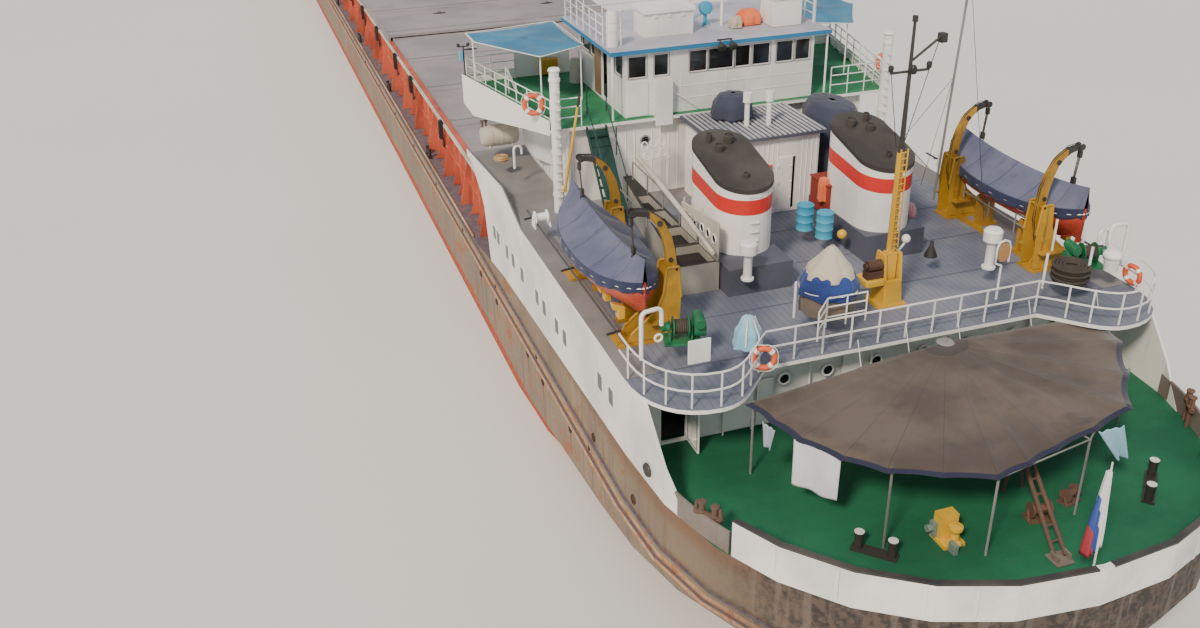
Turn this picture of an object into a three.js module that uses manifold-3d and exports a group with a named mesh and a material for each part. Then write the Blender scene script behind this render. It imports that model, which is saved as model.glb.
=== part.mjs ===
// Self-propelled river cargo ship with its house aft, as a 1:10 scale model in millimetres.
// +X runs towards the bow, +Y to port and +Z up. The origin lies amidships on the flat bottom.
// Inside the ship's group, x is measured forward of the stern.

import * as THREE from 'three';
import { mergeVertices } from 'three/addons/utils/BufferGeometryUtils.js';
import Module from 'manifold-3d';

const wasm = await Module();
wasm.setup();

// Driving dimensions of the model
const LENGTH = 13880;
const HALF_BEAM = 825;
const GAP = 0.3;
const WALL = 8;
const PLATE = 12;

// Heights of the decks and tops above the flat bottom
const CARGO_DECK = 550;
const AFT_DECK = 695;
const BULWARK_TOP = 805;
const POOP = 950;
const TRUNK_TOP = 1040;
const BRIDGE = 1250;
const AWNING = 1458;
const ROOF = 1500;
const COAMING_TOP = 775;
const FORECASTLE = 740;
const BOW_TOP = 860;

// Hull form: one row for each waterline, from the flat bottom up
// height, stern end, length of the stern curve, bow end, length of the bow curve, half breadth
const WATERLINES = [
  { z: 0, aft: 1500, run: 1700, fore: 13080, entry: 1700, half: 762 },
  { z: 22, aft: 1400, run: 1600, fore: 13180, entry: 1650, half: 806 },
  { z: 60, aft: 1280, run: 1500, fore: 13290, entry: 1600, half: 825 },
  { z: 115, aft: 1120, run: 1400, fore: 13380, entry: 1500, half: 825 },
  { z: 240, aft: 800, run: 1250, fore: 13520, entry: 1350, half: 825 },
  { z: 300, aft: 420, run: 1150, fore: 13570, entry: 1280, half: 825 },
  { z: 360, aft: 180, run: 1050, fore: 13620, entry: 1200, half: 825 },
  { z: 440, aft: 60, run: 980, fore: 13680, entry: 1100, half: 825 },
  { z: 560, aft: 0, run: 950, fore: 13750, entry: 980, half: 825 },
  { z: BOW_TOP, aft: 0, run: 950, fore: LENGTH, entry: 860, half: 825 },
];
const STERN_POWER = 2.25;
const BOW_POWER = 1.9;
const CURVE_STEPS = 14;

// Top of the hull in profile, as x and z, from the stern to the bow
const SHEER = [[0, AFT_DECK], [950, AFT_DECK], [2400, 612], [2850, CARGO_DECK], [LENGTH, CARGO_DECK]];

// Colours, roughness and metalness of the finishes
const FINISHES = {
  hull: [0x7a4a35, 0.8, 0.2],
  white: [0xe9e8e4, 0.5, 0.1],
  primer: [0x9c4436, 0.8, 0.1],
  hatch: [0x8d8688, 0.8, 0.1],
  deckBlue: [0x6d7183, 0.8, 0.1],
  deckGreen: [0x1f5a3c, 0.7, 0.1],
  stairGreen: [0x153f35, 0.6, 0.1],
  ochre: [0xc79a2e, 0.5, 0.1],
  yellow: [0xdcb13a, 0.5, 0.1],
  orange: [0xd2553c, 0.6, 0],
  boatCover: [0x5b6178, 0.9, 0],
  awningBrown: [0x6a615c, 0.95, 0],
  awningBlue: [0x2f8aa8, 0.9, 0],
  black: [0x23211f, 0.6, 0.2],
  bronze: [0xb08a4a, 0.35, 0.9],
  steel: [0x77797b, 0.5, 0.7],
  cream: [0xc9c2b2, 0.7, 0.1],
  trunk: [0x3b3f4d, 0.7, 0.1],
};

// Solids from three.js shapes, cut and joined as closed meshes

function solid(geometry) {
  const bare = geometry.index ? geometry.toNonIndexed() : geometry;
  bare.deleteAttribute('normal');
  bare.deleteAttribute('uv');
  const merged = mergeVertices(bare, 1e-4);
  const mesh = new wasm.Mesh({
    numProp: 3,
    vertProperties: new Float32Array(merged.attributes.position.array),
    triVerts: new Uint32Array(merged.index.array),
  });
  return new wasm.Manifold(mesh);
}

function geometryOf(body) {
  const mesh = body.getMesh();
  const geometry = new THREE.BufferGeometry();
  geometry.setAttribute('position', new THREE.BufferAttribute(new Float32Array(mesh.vertProperties), 3));
  geometry.setIndex(new THREE.BufferAttribute(new Uint32Array(mesh.triVerts), 1));
  const flat = geometry.toNonIndexed();
  flat.computeVertexNormals();
  return flat;
}

function join(...bodies) {
  return bodies.flat().reduce((sum, body) => sum.add(body));
}

// A box between two values on each axis
function box(x, y, z) {
  const geometry = new THREE.BoxGeometry(x[1] - x[0], y[1] - y[0], z[1] - z[0]);
  geometry.translate((x[0] + x[1]) / 2, (y[0] + y[1]) / 2, (z[0] + z[1]) / 2);
  return solid(geometry);
}

function outline(points) {
  return new THREE.Shape(points.map(([a, b]) => new THREE.Vector2(a, b)));
}

// A plan outline in x and y, raised between two heights
function slab(shape, z) {
  const settings = { depth: z[1] - z[0], bevelEnabled: false, curveSegments: 8 };
  const geometry = new THREE.ExtrudeGeometry(shape, settings);
  geometry.translate(0, 0, z[0]);
  return solid(geometry);
}

// A side outline in x and z, drawn out between two values of y
function sidePlate(points, y) {
  const geometry = new THREE.ExtrudeGeometry(outline(points), { depth: y[1] - y[0], bevelEnabled: false });
  geometry.rotateX(Math.PI / 2);
  geometry.translate(0, y[1], 0);
  return solid(geometry);
}

// A cross outline in y and z, drawn out between two values of x
function crossPlate(points, x) {
  const geometry = new THREE.ExtrudeGeometry(outline(points), { depth: x[1] - x[0], bevelEnabled: false });
  geometry.rotateX(Math.PI / 2);
  geometry.rotateZ(Math.PI / 2);
  geometry.translate(x[0], 0, 0);
  return solid(geometry);
}

// A round bar between two points
function bar(from, to, radius, sides = 8, endRadius = radius) {
  const start = new THREE.Vector3(...from);
  const end = new THREE.Vector3(...to);
  const geometry = new THREE.CylinderGeometry(endRadius, radius, start.distanceTo(end), sides);
  const turn = new THREE.Quaternion().setFromUnitVectors(
    new THREE.Vector3(0, 1, 0),
    end.clone().sub(start).normalize(),
  );
  geometry.applyQuaternion(turn);
  geometry.translate(...start.add(end).multiplyScalar(0.5).toArray());
  return solid(geometry);
}

// A ring of wall inside an upright box, open above and below
function wallRing(x, y, z, wall = WALL) {
  const inner = box([x[0] + wall, x[1] - wall], [y[0] + wall, y[1] - wall], [z[0] - 1, z[1] + 1]);
  return box(x, y, z).subtract(inner);
}

function mirrored(body) {
  return body.mirror([0, 1, 0]);
}

const ship = new THREE.Group();
ship.position.x = -LENGTH / 2;

function piece(name, body, finish, parent = ship) {
  const [color, roughness, metalness] = FINISHES[finish];
  const material = new THREE.MeshStandardMaterial({ color, roughness, metalness });
  const mesh = new THREE.Mesh(geometryOf(body), material);
  mesh.name = name;
  parent.add(mesh);
  return mesh;
}

// Hull form

function waterline({ aft, run, fore, entry, half }, inset) {
  const points = [];
  const curve = (end, length, power, sign) => {
    for (let step = 0; step <= CURVE_STEPS; step += 1) {
      const angle = sign * (Math.PI / 2 - Math.PI * step / CURVE_STEPS);
      const side = Math.sign(Math.sin(angle)) * Math.abs(Math.sin(angle)) ** (2 / power);
      const along = 1 - Math.abs(Math.cos(angle)) ** (2 / power);
      points.push([end + sign * (inset + (length - inset) * along), (half - inset) * side]);
    }
  };
  curve(aft, run, STERN_POWER, 1);
  curve(fore, entry, BOW_POWER, -1);
  return points;
}

function loft(rows, inset = 0) {
  const rings = rows.map((row) => waterline(row, inset).map(([x, y]) => [x, y, row.z]));
  const count = rings[0].length;
  const positions = rings.flat(2);
  const index = [];
  for (let ring = 0; ring < rings.length - 1; ring += 1) {
    for (let point = 0; point < count; point += 1) {
      const next = (point + 1) % count;
      const low = ring * count;
      const high = low + count;
      index.push(low + point, low + next, high + next, low + point, high + next, high + point);
    }
  }
  const cap = THREE.ShapeUtils.triangulateShape(rings[0].map(([x, y]) => new THREE.Vector2(x, y)), []);
  const top = (rings.length - 1) * count;
  cap.forEach(([a, b, c]) => index.push(c, b, a, top + a, top + b, top + c));
  const geometry = new THREE.BufferGeometry();
  geometry.setAttribute('position', new THREE.Float32BufferAttribute(positions, 3));
  geometry.setIndex(index);
  return solid(geometry);
}

const form = loft(WATERLINES);
const innerForm = loft(WATERLINES, WALL);
// The same side carried straight up past the poop deck
const TOP_SIDES = [WATERLINES.at(-2).z, POOP + PLATE].map((z) => ({ ...WATERLINES.at(-1), z }));

const aboveSheer = sidePlate([[-50, AFT_DECK], ...SHEER.slice(1), [LENGTH + 50, CARGO_DECK],
  [LENGTH + 50, BOW_TOP + 50], [-50, BOW_TOP + 50]], [-900, 900]);

// Holds and engine room, as x and y from and to, and the floor's height
const HOLDS = { halfWidth: 690, floor: 90, spans: [[3130, 8130], [8270, 12650]] };
const ENGINE_ROOM = { x: [1600, 2350], halfWidth: 450, floor: 120 };

// Steering gear and screws
const SHAFT_Z = 115;
const NOZZLE = { x: 650, y: 330, inner: 93, outer: 105, half: 60, sides: 24 };
const SCREW = { radius: 84, hub: 20, blades: 4 };
const RUDDER = { x: 590, fore: 30, aft: 110, low: 30, high: 235, half: 7 };
const TRUNK_FOOT = 262;

// Rubbing strakes that follow the side: how far they stand proud, their ends and their heights
const STRAKES = { proud: 10, x: [250, 13300], bands: [[520, 540], [462, 480]] };

function buildHull() {
  const proud = loft(WATERLINES, -STRAKES.proud);
  const strakes = STRAKES.bands.map((z) => proud.intersect(box(STRAKES.x, [-900, 900], z)));
  const shafts = [-1, 1].map((side) => {
    const y = side * NOZZLE.y;
    return join(
      bar([780, y, SHAFT_Z], [1700, y, SHAFT_Z], 16, 12),
      box([790, 840], [y - 5, y + 5], [SHAFT_Z, 320]),
      bar([NOZZLE.x, y, TRUNK_FOOT], [NOZZLE.x, y, 360], 24, 12),
    );
  });
  const rudderTrunk = bar([RUDDER.x, 0, TRUNK_FOOT], [RUDDER.x, 0, 360], 20, 12);
  const holds = HOLDS.spans.map((x) => box(x, [-HOLDS.halfWidth, HOLDS.halfWidth], [HOLDS.floor, 700]));
  const room = box(ENGINE_ROOM.x, [-ENGINE_ROOM.halfWidth, ENGINE_ROOM.halfWidth], [ENGINE_ROOM.floor, 720]);
  const plated = join(form, strakes).subtract(aboveSheer);
  const body = join(plated, shafts, rudderTrunk).subtract(join(holds, room));
  piece('hull', body, 'hull');
}

function buildEngines() {
  const floor = ENGINE_ROOM.floor + GAP;
  const bed = box([1650, 2200], [-290, 290], [floor, floor + 18]);
  const blocks = [-1, 1].map((side) => box([1680, 2160], [side * 220 - 60, side * 220 + 60], [floor, 300]));
  piece('main_engines', join(bed, blocks), 'steel');
}

// Hawse on the bow's side: a point on the plating, the plating's angle in plan there, and the bolster's reach
const HAWSE = { x: 13400, y: 613, angle: -41, out: 44, radius: 17, z: 596 };

function atHawse(body) {
  return body.rotate([0, 0, HAWSE.angle]).translate([HAWSE.x, HAWSE.y, 0]);
}

// The step of the folding foremast on the forecastle
const FOREMAST = { x: 12880, pivot: FORECASTLE + 130, top: 1400 };

function foremastStep() {
  const { x } = FOREMAST;
  return join(
    box([x - 30, x + 30], [-30, 30], [FORECASTLE - 1, FORECASTLE + 10]),
    box([x - 20, x + 20], [14, 20], [FORECASTLE + 8, FOREMAST.pivot + 20]),
    box([x - 20, x + 20], [-20, -14], [FORECASTLE + 8, FOREMAST.pivot + 20]),
  );
}

function buildForecastle() {
  const foot = 12760;
  const low = CARGO_DECK + GAP;
  const block = form.intersect(box([foot, LENGTH + 10], [-900, 900], [low, FORECASTLE]));
  const rail = form.subtract(innerForm).intersect(
    box([12950, LENGTH + 10], [-900, 900], [FORECASTLE - 1, BOW_TOP]),
  );
  const bolster = atHawse(bar([0, -30, HAWSE.z], [0, HAWSE.out, HAWSE.z], HAWSE.radius, 12));
  const bolsters = join(bolster, mirrored(bolster)).subtract(box([0, LENGTH], [-900, 900], [0, low]));
  piece('forecastle', join(block, rail, foremastStep(), bolsters), 'primer');
}

// Forward ends of the bulwark round the stern
const BULWARK_END = 450;

function buildSternBulwark() {
  const ring = form.subtract(innerForm).intersect(
    box([-10, BULWARK_END], [-900, 900], [AFT_DECK + GAP, BULWARK_TOP]),
  );
  const capRail = form.subtract(loft(WATERLINES, 16)).intersect(
    box([-10, BULWARK_END], [-900, 900], [BULWARK_TOP - 5, BULWARK_TOP]),
  );
  const staffStep = box([4, 48], [-8, 8], [AFT_DECK + GAP, AFT_DECK + 60]);
  const staff = bar([40, 0, AFT_DECK + 40], [56, 0, 1060], 3, 8, 2);
  piece('stern_bulwark', join(ring, capRail, staffStep, staff), 'white');
}

// Cargo hatch

const COAMING = { x: [2860, 12740], y: 740, wall: 12 };
const COVER = { half: 715, thick: 14, lift: 22 };
const STAY_SPACING = 396;
// The raised sill between the holds, which closes the ends of the two high covers
const SILL = [8144, 8256];

function buildCoaming() {
  const base = CARGO_DECK + GAP;
  const inside = COAMING.y - COAMING.wall;
  const outer = box(COAMING.x, [-COAMING.y, COAMING.y], [base, COAMING_TOP]);
  const ends = [[COAMING.x[0] + COAMING.wall, 3118], [8142, 8258], [12662, COAMING.x[1] - COAMING.wall]];
  const openings = HOLDS.spans.map((x) => box(x, [-inside + 28, inside - 28], [0, 900]));
  const underLedge = HOLDS.spans.map((x) => box(x, [-inside, inside], [0, COAMING_TOP - 10]));
  const voids = ends.map((x) => box(x, [-inside, inside], [0, COAMING_TOP - 10]));
  const sillTop = COAMING_TOP + COVER.lift;
  const sill = box(SILL, [-inside, inside], [COAMING_TOP - 1, sillTop]);
  const stayTop = COAMING_TOP - 12;
  const stays = [];
  for (let x = COAMING.x[0] + 60; x < COAMING.x[1]; x += STAY_SPACING) {
    stays.push(crossPlate(
      [[COAMING.y - 6, base], [COAMING.y + 58, base], [COAMING.y + 10, stayTop], [COAMING.y - 6, stayTop]],
      [x, x + 6],
    ));
  }
  const body = join(outer, sill, stays, stays.map(mirrored)).subtract(join(openings, underLedge, voids));
  piece('hatch_coaming', body, 'primer');
}

// Hatch covers: name, x from and to, and whether the cover rides high over its neighbour
const COVERS = [
  { name: 'hatch_cover_1', x: [3112, 5640], high: false },
  { name: 'hatch_cover_2', x: [5600, 8180], high: true },
  { name: 'hatch_cover_3', x: [8220, 10500], high: true },
  { name: 'hatch_cover_4', x: [10460, 12670], high: false },
];

function buildCovers() {
  const seat = COAMING_TOP + GAP;
  COVERS.forEach(({ name, x, high }) => {
    if (!high) {
      piece(name, box(x, [-COVER.half, COVER.half], [seat, seat + COVER.thick]), 'hatch');
      return;
    }
    const top = seat + COVER.lift + COVER.thick;
    const edge = COAMING.y + 2;
    const plate = box(x, [-edge, edge], [top - COVER.thick, top]);
    const skirt = box(x, [edge - 13, edge], [seat, top]);
    piece(name, join(plate, skirt, mirrored(skirt)), 'hatch');
  });
}

// House on the quarter deck, and the poop deck over it

// Hinge line of the house's after door, which stands open
const DOOR = { x: 954, y: 638 };

function buildQuarterHouse() {
  const top = POOP - PLATE - GAP;
  const side = [[600, AFT_DECK + GAP], [950, AFT_DECK + GAP], [2400, 612 + GAP], [2590, 586 + GAP],
    [2650, 800], [2700, 850], [2900, POOP], [835, POOP]];
  const plating = loft(TOP_SIDES).subtract(loft(TOP_SIDES, WALL)).intersect(sidePlate(side, [-900, 900]));
  const inside = HALF_BEAM - 4;
  const wall = (x, low) => box([x, x + WALL], [-inside, inside], [low, POOP]);
  const aftWall = wall(960, AFT_DECK + GAP);
  const foreWall = wall(2420, 612 + GAP);
  const doorway = box([950, 975], [640, 715], [AFT_DECK + 10, AFT_DECK + 200]);
  const entrance = box([950, 975], [-700, -625], [AFT_DECK + 10, AFT_DECK + 200]);
  const lugs = [20, 165].map((lift) => box(
    [DOOR.x + GAP, 961], [DOOR.y - 3, DOOR.y + 3], [AFT_DECK + lift, AFT_DECK + lift + 10],
  ));
  const underDeck = box([0, LENGTH], [-900, 900], [0, top]);
  const walls = join(plating, aftWall, foreWall).intersect(underDeck).subtract(join(doorway, entrance));
  piece('quarter_house', join(walls, lugs), 'white');
  const leaf = box([DOOR.x - 78, DOOR.x], [DOOR.y - 5, DOOR.y], [AFT_DECK + 6, AFT_DECK + 204]);
  piece('house_door', leaf, 'white');
}

// Plan of the poop deck: straight sides, a rounded platform at each after corner and a recess between them
const POOP_PLAN = { fore: 2900, side: 830, platform: 715, recess: 870, recessHalf: 440 };

function poopOutline() {
  const { fore, side, platform, recess, recessHalf } = POOP_PLAN;
  const shape = new THREE.Shape();
  shape.moveTo(fore, -side);
  shape.lineTo(fore, side);
  shape.lineTo(940, side);
  shape.bezierCurveTo(800, side, platform, 760, platform, 640);
  shape.bezierCurveTo(platform, 560, 790, 520, recess, recessHalf);
  shape.lineTo(recess, -recessHalf);
  shape.bezierCurveTo(790, -520, platform, -560, platform, -640);
  shape.bezierCurveTo(platform, -760, 800, -side, 940, -side);
  return shape.getPoints(8).slice(0, -1);
}

// Points of a closed outline moved inwards, each square to the line between its neighbours
function insetOutline(points, inset) {
  return points.map((point, place) => {
    const before = points[(place + points.length - 1) % points.length];
    const after = points[(place + 1) % points.length];
    const along = after.clone().sub(before).normalize();
    return new THREE.Vector2(point.x - along.y * inset, point.y + along.x * inset);
  });
}

// The low plate that rises from each side of the deck forward of the boats, in profile
const SIDE_SHEET = [[2030, POOP - 2], [2290, POOP + 66], [2900, POOP + 16], [2900, POOP - 2]];
const SHEET_THICK = 6;

function buildPoopDeck() {
  const { side } = POOP_PLAN;
  const sheet = sidePlate(SIDE_SHEET, [side - SHEET_THICK, side]);
  const deck = slab(new THREE.Shape(poopOutline()), [POOP - PLATE, POOP]);
  piece('poop_deck', join(deck, sheet, mirrored(sheet)), 'deckBlue');
}

// A rail of posts and flat bars round the after edge of the poop deck
const RAIL = { height: 105, inset: 8, depth: 4, post: 2, bars: [50, 101], spacing: 95 };

function buildPoopRail() {
  const { inset, depth } = RAIL;
  const plan = poopOutline();
  const rows = RAIL.bars.map((height) => {
    const z = [POOP + height, POOP + height + depth];
    const outer = new THREE.Shape(insetOutline(plan, inset));
    const inner = new THREE.Shape(insetOutline(plan, inset + depth));
    return slab(outer, z).subtract(slab(inner, [z[0] - 1, z[1] + 1]));
  });
  const corners = insetOutline(plan, inset + depth / 2);
  const feet = [];
  corners.slice(1).forEach((corner, place) => {
    const steps = Math.ceil(corner.distanceTo(corners[place]) / RAIL.spacing);
    for (let step = 1; step <= steps; step += 1) {
      const foot = corners[place].clone().lerp(corner, step / steps);
      const last = feet[feet.length - 1];
      if (foot.x < 1000 && (!last || foot.distanceTo(last) > RAIL.spacing * 0.6)) feet.push(foot);
    }
  });
  const posts = feet.map(({ x, y }) => box(
    [x - RAIL.post, x + RAIL.post], [y - RAIL.post, y + RAIL.post], [POOP + GAP, POOP + RAIL.height],
  ));
  const aft = box([0, 1010], [-900, 900], [POOP, POOP + 200]);
  piece('poop_rail', join(join(rows).intersect(aft), posts), 'white');
}

// Upper house, bridge deck and wheelhouse

function buildUpperHouse() {
  const top = BRIDGE - PLATE - GAP;
  const walls = wallRing([2200, 2820], [-590, 590], [POOP + GAP, top]);
  const door = box([2320, 2390], [570, 610], [POOP + 12, POOP + 200]);
  piece('upper_house', walls.subtract(join(door, mirrored(door))), 'white');
}

const WING_AWNING = [[2820, 815], [2885, 440], [2470, 440], [2370, 640], [2680, 815]];
const WING_POSTS = [[2780, 797], [2862, 452], [2478, 452], [2405, 630]];

// Deep plate under each wing's edge, as x and z: it tapers aft and stands a little above the deck
const FASCIA = [[2170, 1288], [2170, 1232], [2348, 1207], [2523, 1178], [2790, 1136], [2880, 1168], [2880, 1288]];

function buildBridgeDeck() {
  const plan = [[2170, -675], [2880, -830], [2880, 830], [2170, 675]];
  const deck = slab(outline(plan), [BRIDGE - PLATE, BRIDGE]);
  const outer = slab(outline(plan), [1130, BRIDGE + 105]);
  const shrunk = [[2160, -667], [2873, -822.5], [2873, 822.5], [2160, 667]];
  const inner = slab(outline(shrunk), [1100, BRIDGE + 200]);
  const side = sidePlate(FASCIA, [600, 900]);
  const dodger = box([2800, 2890], [380, 610], [BRIDGE - PLATE, BRIDGE + 105]);
  const keep = join(side, mirrored(side), dodger, mirrored(dodger));
  const bulwarks = outer.subtract(inner).intersect(keep);
  const posts = WING_POSTS.map(([x, y]) => bar([x, y, BRIDGE - 6], [x, y, AWNING - GAP], 3, 6));
  const pillar = bar([2192, 425, BRIDGE - 6], [2192, 425, ROOF - 15 - GAP], 4, 6);
  piece('bridge_deck', join(deck, bulwarks, posts, posts.map(mirrored), pillar, mirrored(pillar)), 'deckGreen');
  const cloth = slab(outline(WING_AWNING), [AWNING, AWNING + 4]);
  piece('wing_awning_port', cloth, 'awningBlue');
  piece('wing_awning_starboard', mirrored(cloth), 'awningBlue');
}

// Windows of the after wall of the wheelhouse, as y from and to
const AFT_WINDOWS = [[295, 360], [210, 262], [60, 125], [-45, 50], [-112, -56], [-192, -126], [-286, -222],
  [-356, -300]];
const SIDE_WINDOWS = [[2232, 2305], [2500, 2590], [2610, 2700]];
const WINDOW_Z = [1396, 1470];

function buildWheelhouse() {
  const walls = wallRing([2200, 2760], [-375, 375], [BRIDGE + GAP, ROOF - 15 - GAP]);
  const aft = AFT_WINDOWS.map((y) => box([2190, 2215], y, WINDOW_Z));
  const fore = [];
  for (let y = -358; y < 300; y += 92) {
    fore.push(box([2745, 2770], [y, y + 72], WINDOW_Z));
  }
  const sides = SIDE_WINDOWS.map((x) => box(x, [-400, 400], WINDOW_Z));
  const doors = box([2400, 2465], [-400, 400], [BRIDGE + 12, BRIDGE + 200]);
  piece('wheelhouse', walls.subtract(join(aft, fore, sides, doors)), 'white');
  const slabTop = box([2180, 2785], [-436, 436], [ROOF - 15, ROOF]);
  const locker = box([2330, 2450], [60, 250], [ROOF - 1, ROOF + 85]);
  const radarMast = bar([2520, 0, ROOF - 1], [2520, 0, 1735], 10, 8, 6);
  const radarFoot = box([2500, 2540], [-20, 20], [1734, 1742]);
  piece('wheelhouse_roof', join(slabTop, locker, radarMast, radarFoot), 'white');
  const spindle = bar([2520, 0, 1742 + GAP], [2520, 0, 1755], 7, 8);
  piece('radar_scanner', join(box([2512, 2528], [-100, 100], [1752, 1766]), spindle), 'white');
}

// The heel of the derrick boom, and its head as y and z
const BOOM = { x: 2108, y: 640, z: 1044, top: [574, 1392] };

function buildKingposts() {
  const post = bar([2140, 655, POOP + GAP], [2140, 655, 1470], 18, 12);
  const { x, y, z, top } = BOOM;
  const bracket = box([x + 8, 2140], [y - 10, y + 10], [z - 10, z + 10]);
  piece('kingpost_port', join(post, bracket), 'white');
  piece('kingpost_starboard', mirrored(post), 'white');
  const heel = bar([x - 6, y, z], [x + 8 - GAP, y, z], 7, 10);
  piece('derrick_boom', join(heel, bar([x, y, z], [x, ...top], 5.5, 8, 4.5)), 'yellow');
}

function buildStairs() {
  const foot = 1915;
  const head = 2164;
  const y = [462, 538];
  const rise = BRIDGE - POOP;
  const stringer = [[foot, POOP + GAP], [foot + 18, POOP + GAP], [head, BRIDGE - 20], [head, BRIDGE],
    [head - 12, BRIDGE]];
  const cheeks = [sidePlate(stringer, [y[0], y[0] + 4]), sidePlate(stringer, [y[1] - 4, y[1]])];
  const treads = [];
  for (let tread = 1; tread <= 9; tread += 1) {
    const share = tread / 10;
    const x = foot + 8 + (head - foot - 8) * share;
    treads.push(box([x - 9, x + 9], y, [POOP + rise * share - 3, POOP + rise * share]));
  }
  piece('stairs_port', join(cheeks, treads), 'stairGreen');
}

// Casing, trunks, funnels and skylight

function buildCasing() {
  const top = BRIDGE - 5;
  const walls = wallRing([1850, 2164], [-228, 153], [POOP + GAP, top - 10 - GAP], 6);
  const doorway = box([1840, 1865], [-140, -75], [POOP + 10, POOP + 205]);
  piece('engine_casing', walls.subtract(doorway), 'white');
  const roof = box([1830, 2170 - GAP], [-250, 175], [top - 10, top]);
  const vents = [[1970, 0], [1955, -78]].map(([x, y]) => join(
    bar([x, y, top - 1], [x, y, top + 100], 9, 10),
    bar([x, y, top + 88], [x, y, top + 122], 16, 10),
  ));
  piece('casing_roof', join(roof, vents), 'hatch');
}

const FUNNEL = { x: [1370, 1720], y: [155, 345], foreTop: 1335, aftTop: 1258 };

function buildFunnels() {
  const radius = (FUNNEL.y[1] - FUNNEL.y[0]) / 2;
  const middle = (FUNNEL.y[0] + FUNNEL.y[1]) / 2;
  const plan = new THREE.Shape();
  plan.absarc(FUNNEL.x[1] - radius, middle, radius, -Math.PI / 2, Math.PI / 2, false);
  plan.absarc(FUNNEL.x[0] + radius, middle, radius, Math.PI / 2, Math.PI * 1.5, false);
  const slope = [[1300, FUNNEL.aftTop - 18], [1800, FUNNEL.foreTop + 20], [1800, 1500], [1300, 1500]];
  const above = sidePlate(slope, [0, 500]);
  const funnel = slab(plan, [TRUNK_TOP + GAP, 1400]).subtract(above);
  piece('funnel_port', funnel, 'white');
  piece('funnel_starboard', mirrored(funnel), 'white');
  const base = [POOP + GAP, TRUNK_TOP];
  piece('trunk_port', box([1290, 1760], [150, 366], base), 'trunk');
  piece('trunk_starboard', box([1365, 1760], [-366, -150], base), 'trunk');
}

// Skylight over the engine room: its outer edge runs in towards the bow. The after cells are open, and the
// lids of two of them stand upright on the inner edge
const SKYLIGHT = { x: [1350, 2150], inner: 372, outer: [510, 405], top: 1048, cells: 4, pitch: 150, rim: 10 };
const LID = { thick: 5, gap: 4 };

function skylightEdge(x) {
  const [from, to] = SKYLIGHT.x;
  return SKYLIGHT.outer[0] + (SKYLIGHT.outer[1] - SKYLIGHT.outer[0]) * (x - from) / (to - from);
}

function buildSkylight() {
  const { x, inner, outer, top, cells, pitch, rim } = SKYLIGHT;
  const plan = outline([[x[0], inner], [x[1], inner], [x[1], outer[1]], [x[0], outer[0]]]);
  const openings = [];
  for (let cell = 0; cell < cells; cell += 1) {
    const from = x[0] + pitch * cell + rim;
    const to = from + pitch - 2 * rim;
    const mouth = outline([[from, inner + rim], [to, inner + rim], [to, skylightEdge(to) - rim],
      [from, skylightEdge(from) - rim]]);
    openings.push(slab(mouth, [POOP + 20, top + 10]));
  }
  piece('skylight', slab(plan, [POOP + GAP, top]).subtract(join(openings)), 'cream');
  const hinge = inner + 7;
  const foot = top + GAP;
  for (let lid = 0; lid < 2; lid += 1) {
    const from = x[0] + pitch * lid + LID.gap;
    const to = from + pitch - 2 * LID.gap;
    const height = (along) => foot + skylightEdge(along) - hinge - LID.gap;
    const leaf = [[from, foot], [to, foot], [to, height(to)], [from, height(from)]];
    piece(`skylight_lid_${lid + 1}`, sidePlate(leaf, [hinge - LID.thick, hinge]), 'cream');
  }
}

// Folding mast on the centreline

const MAST = { x: 1090, y: -62, pivot: 1100, top: 1815 };

function buildMast() {
  const { x, y, pivot, top } = MAST;
  const base = box([x - 45, x + 45], [y - 45, y + 45], [POOP + GAP, POOP + 12]);
  const cheek = (side) => sidePlate(
    [[x - 40, POOP + 10], [x + 40, POOP + 10], [x + 24, pivot + 20], [x - 18, pivot + 20]],
    side > 0 ? [y + 22, y + 30] : [y - 30, y - 22],
  );
  const web = box([x - 38, x - 26], [y - 23, y + 23], [POOP + 10, pivot - 60]);
  piece('mast_tabernacle', join(base, cheek(1), cheek(-1), web), 'yellow');
  const heel = box([x - 14, x + 14], [y - 16, y + 16], [pivot - 90, pivot + 20]);
  const boss = bar([x, y - 22 + GAP, pivot], [x, y + 22 - GAP, pivot], 9, 10);
  const lower = bar([x, y, pivot + 10], [x, y, 1450], 13, 8, 11);
  const upper = bar([x, y, 1440], [x, y, top - 12], 8, 8, 4);
  const lamp = bar([x, y, top - 16], [x, y, top], 8, 8);
  const arm = bar([x, y, 1690], [x, y - 90, 1752], 4, 6);
  const yard = box([x - 3, x + 3], [y - 60, y + 60], [1660, 1666]);
  piece('mast', join(heel, boss, lower, upper, lamp, arm, yard), 'yellow');
}

// Boats in their davits. The rows give the davits along the ship
const DAVITS = { aft: 1140, fore: 1610 };
const DAVIT_PIVOT = { y: 675, z: 990 };
// The bent arm, as y, z and half depth along its middle line
const DAVIT_ARM = [[675, 990, 11], [641, 1040, 14], [620, 1120, 15], [622, 1215, 14], [650, 1300, 11],
  [692, 1336, 8], [736, 1343, 6]];
const DAVIT_STEPS = 12;
const BOAT = { x: [1058, 1740], y: 725, keel: 1035, gunwale: 1132, half: 106, bilge: 0.62, bilgeRise: 34 };
// Inner and outer ends of the inboard chocks, and their places along the ship
const CHOCK = { y: [655, 722], x: [1260, 1490] };

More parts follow.
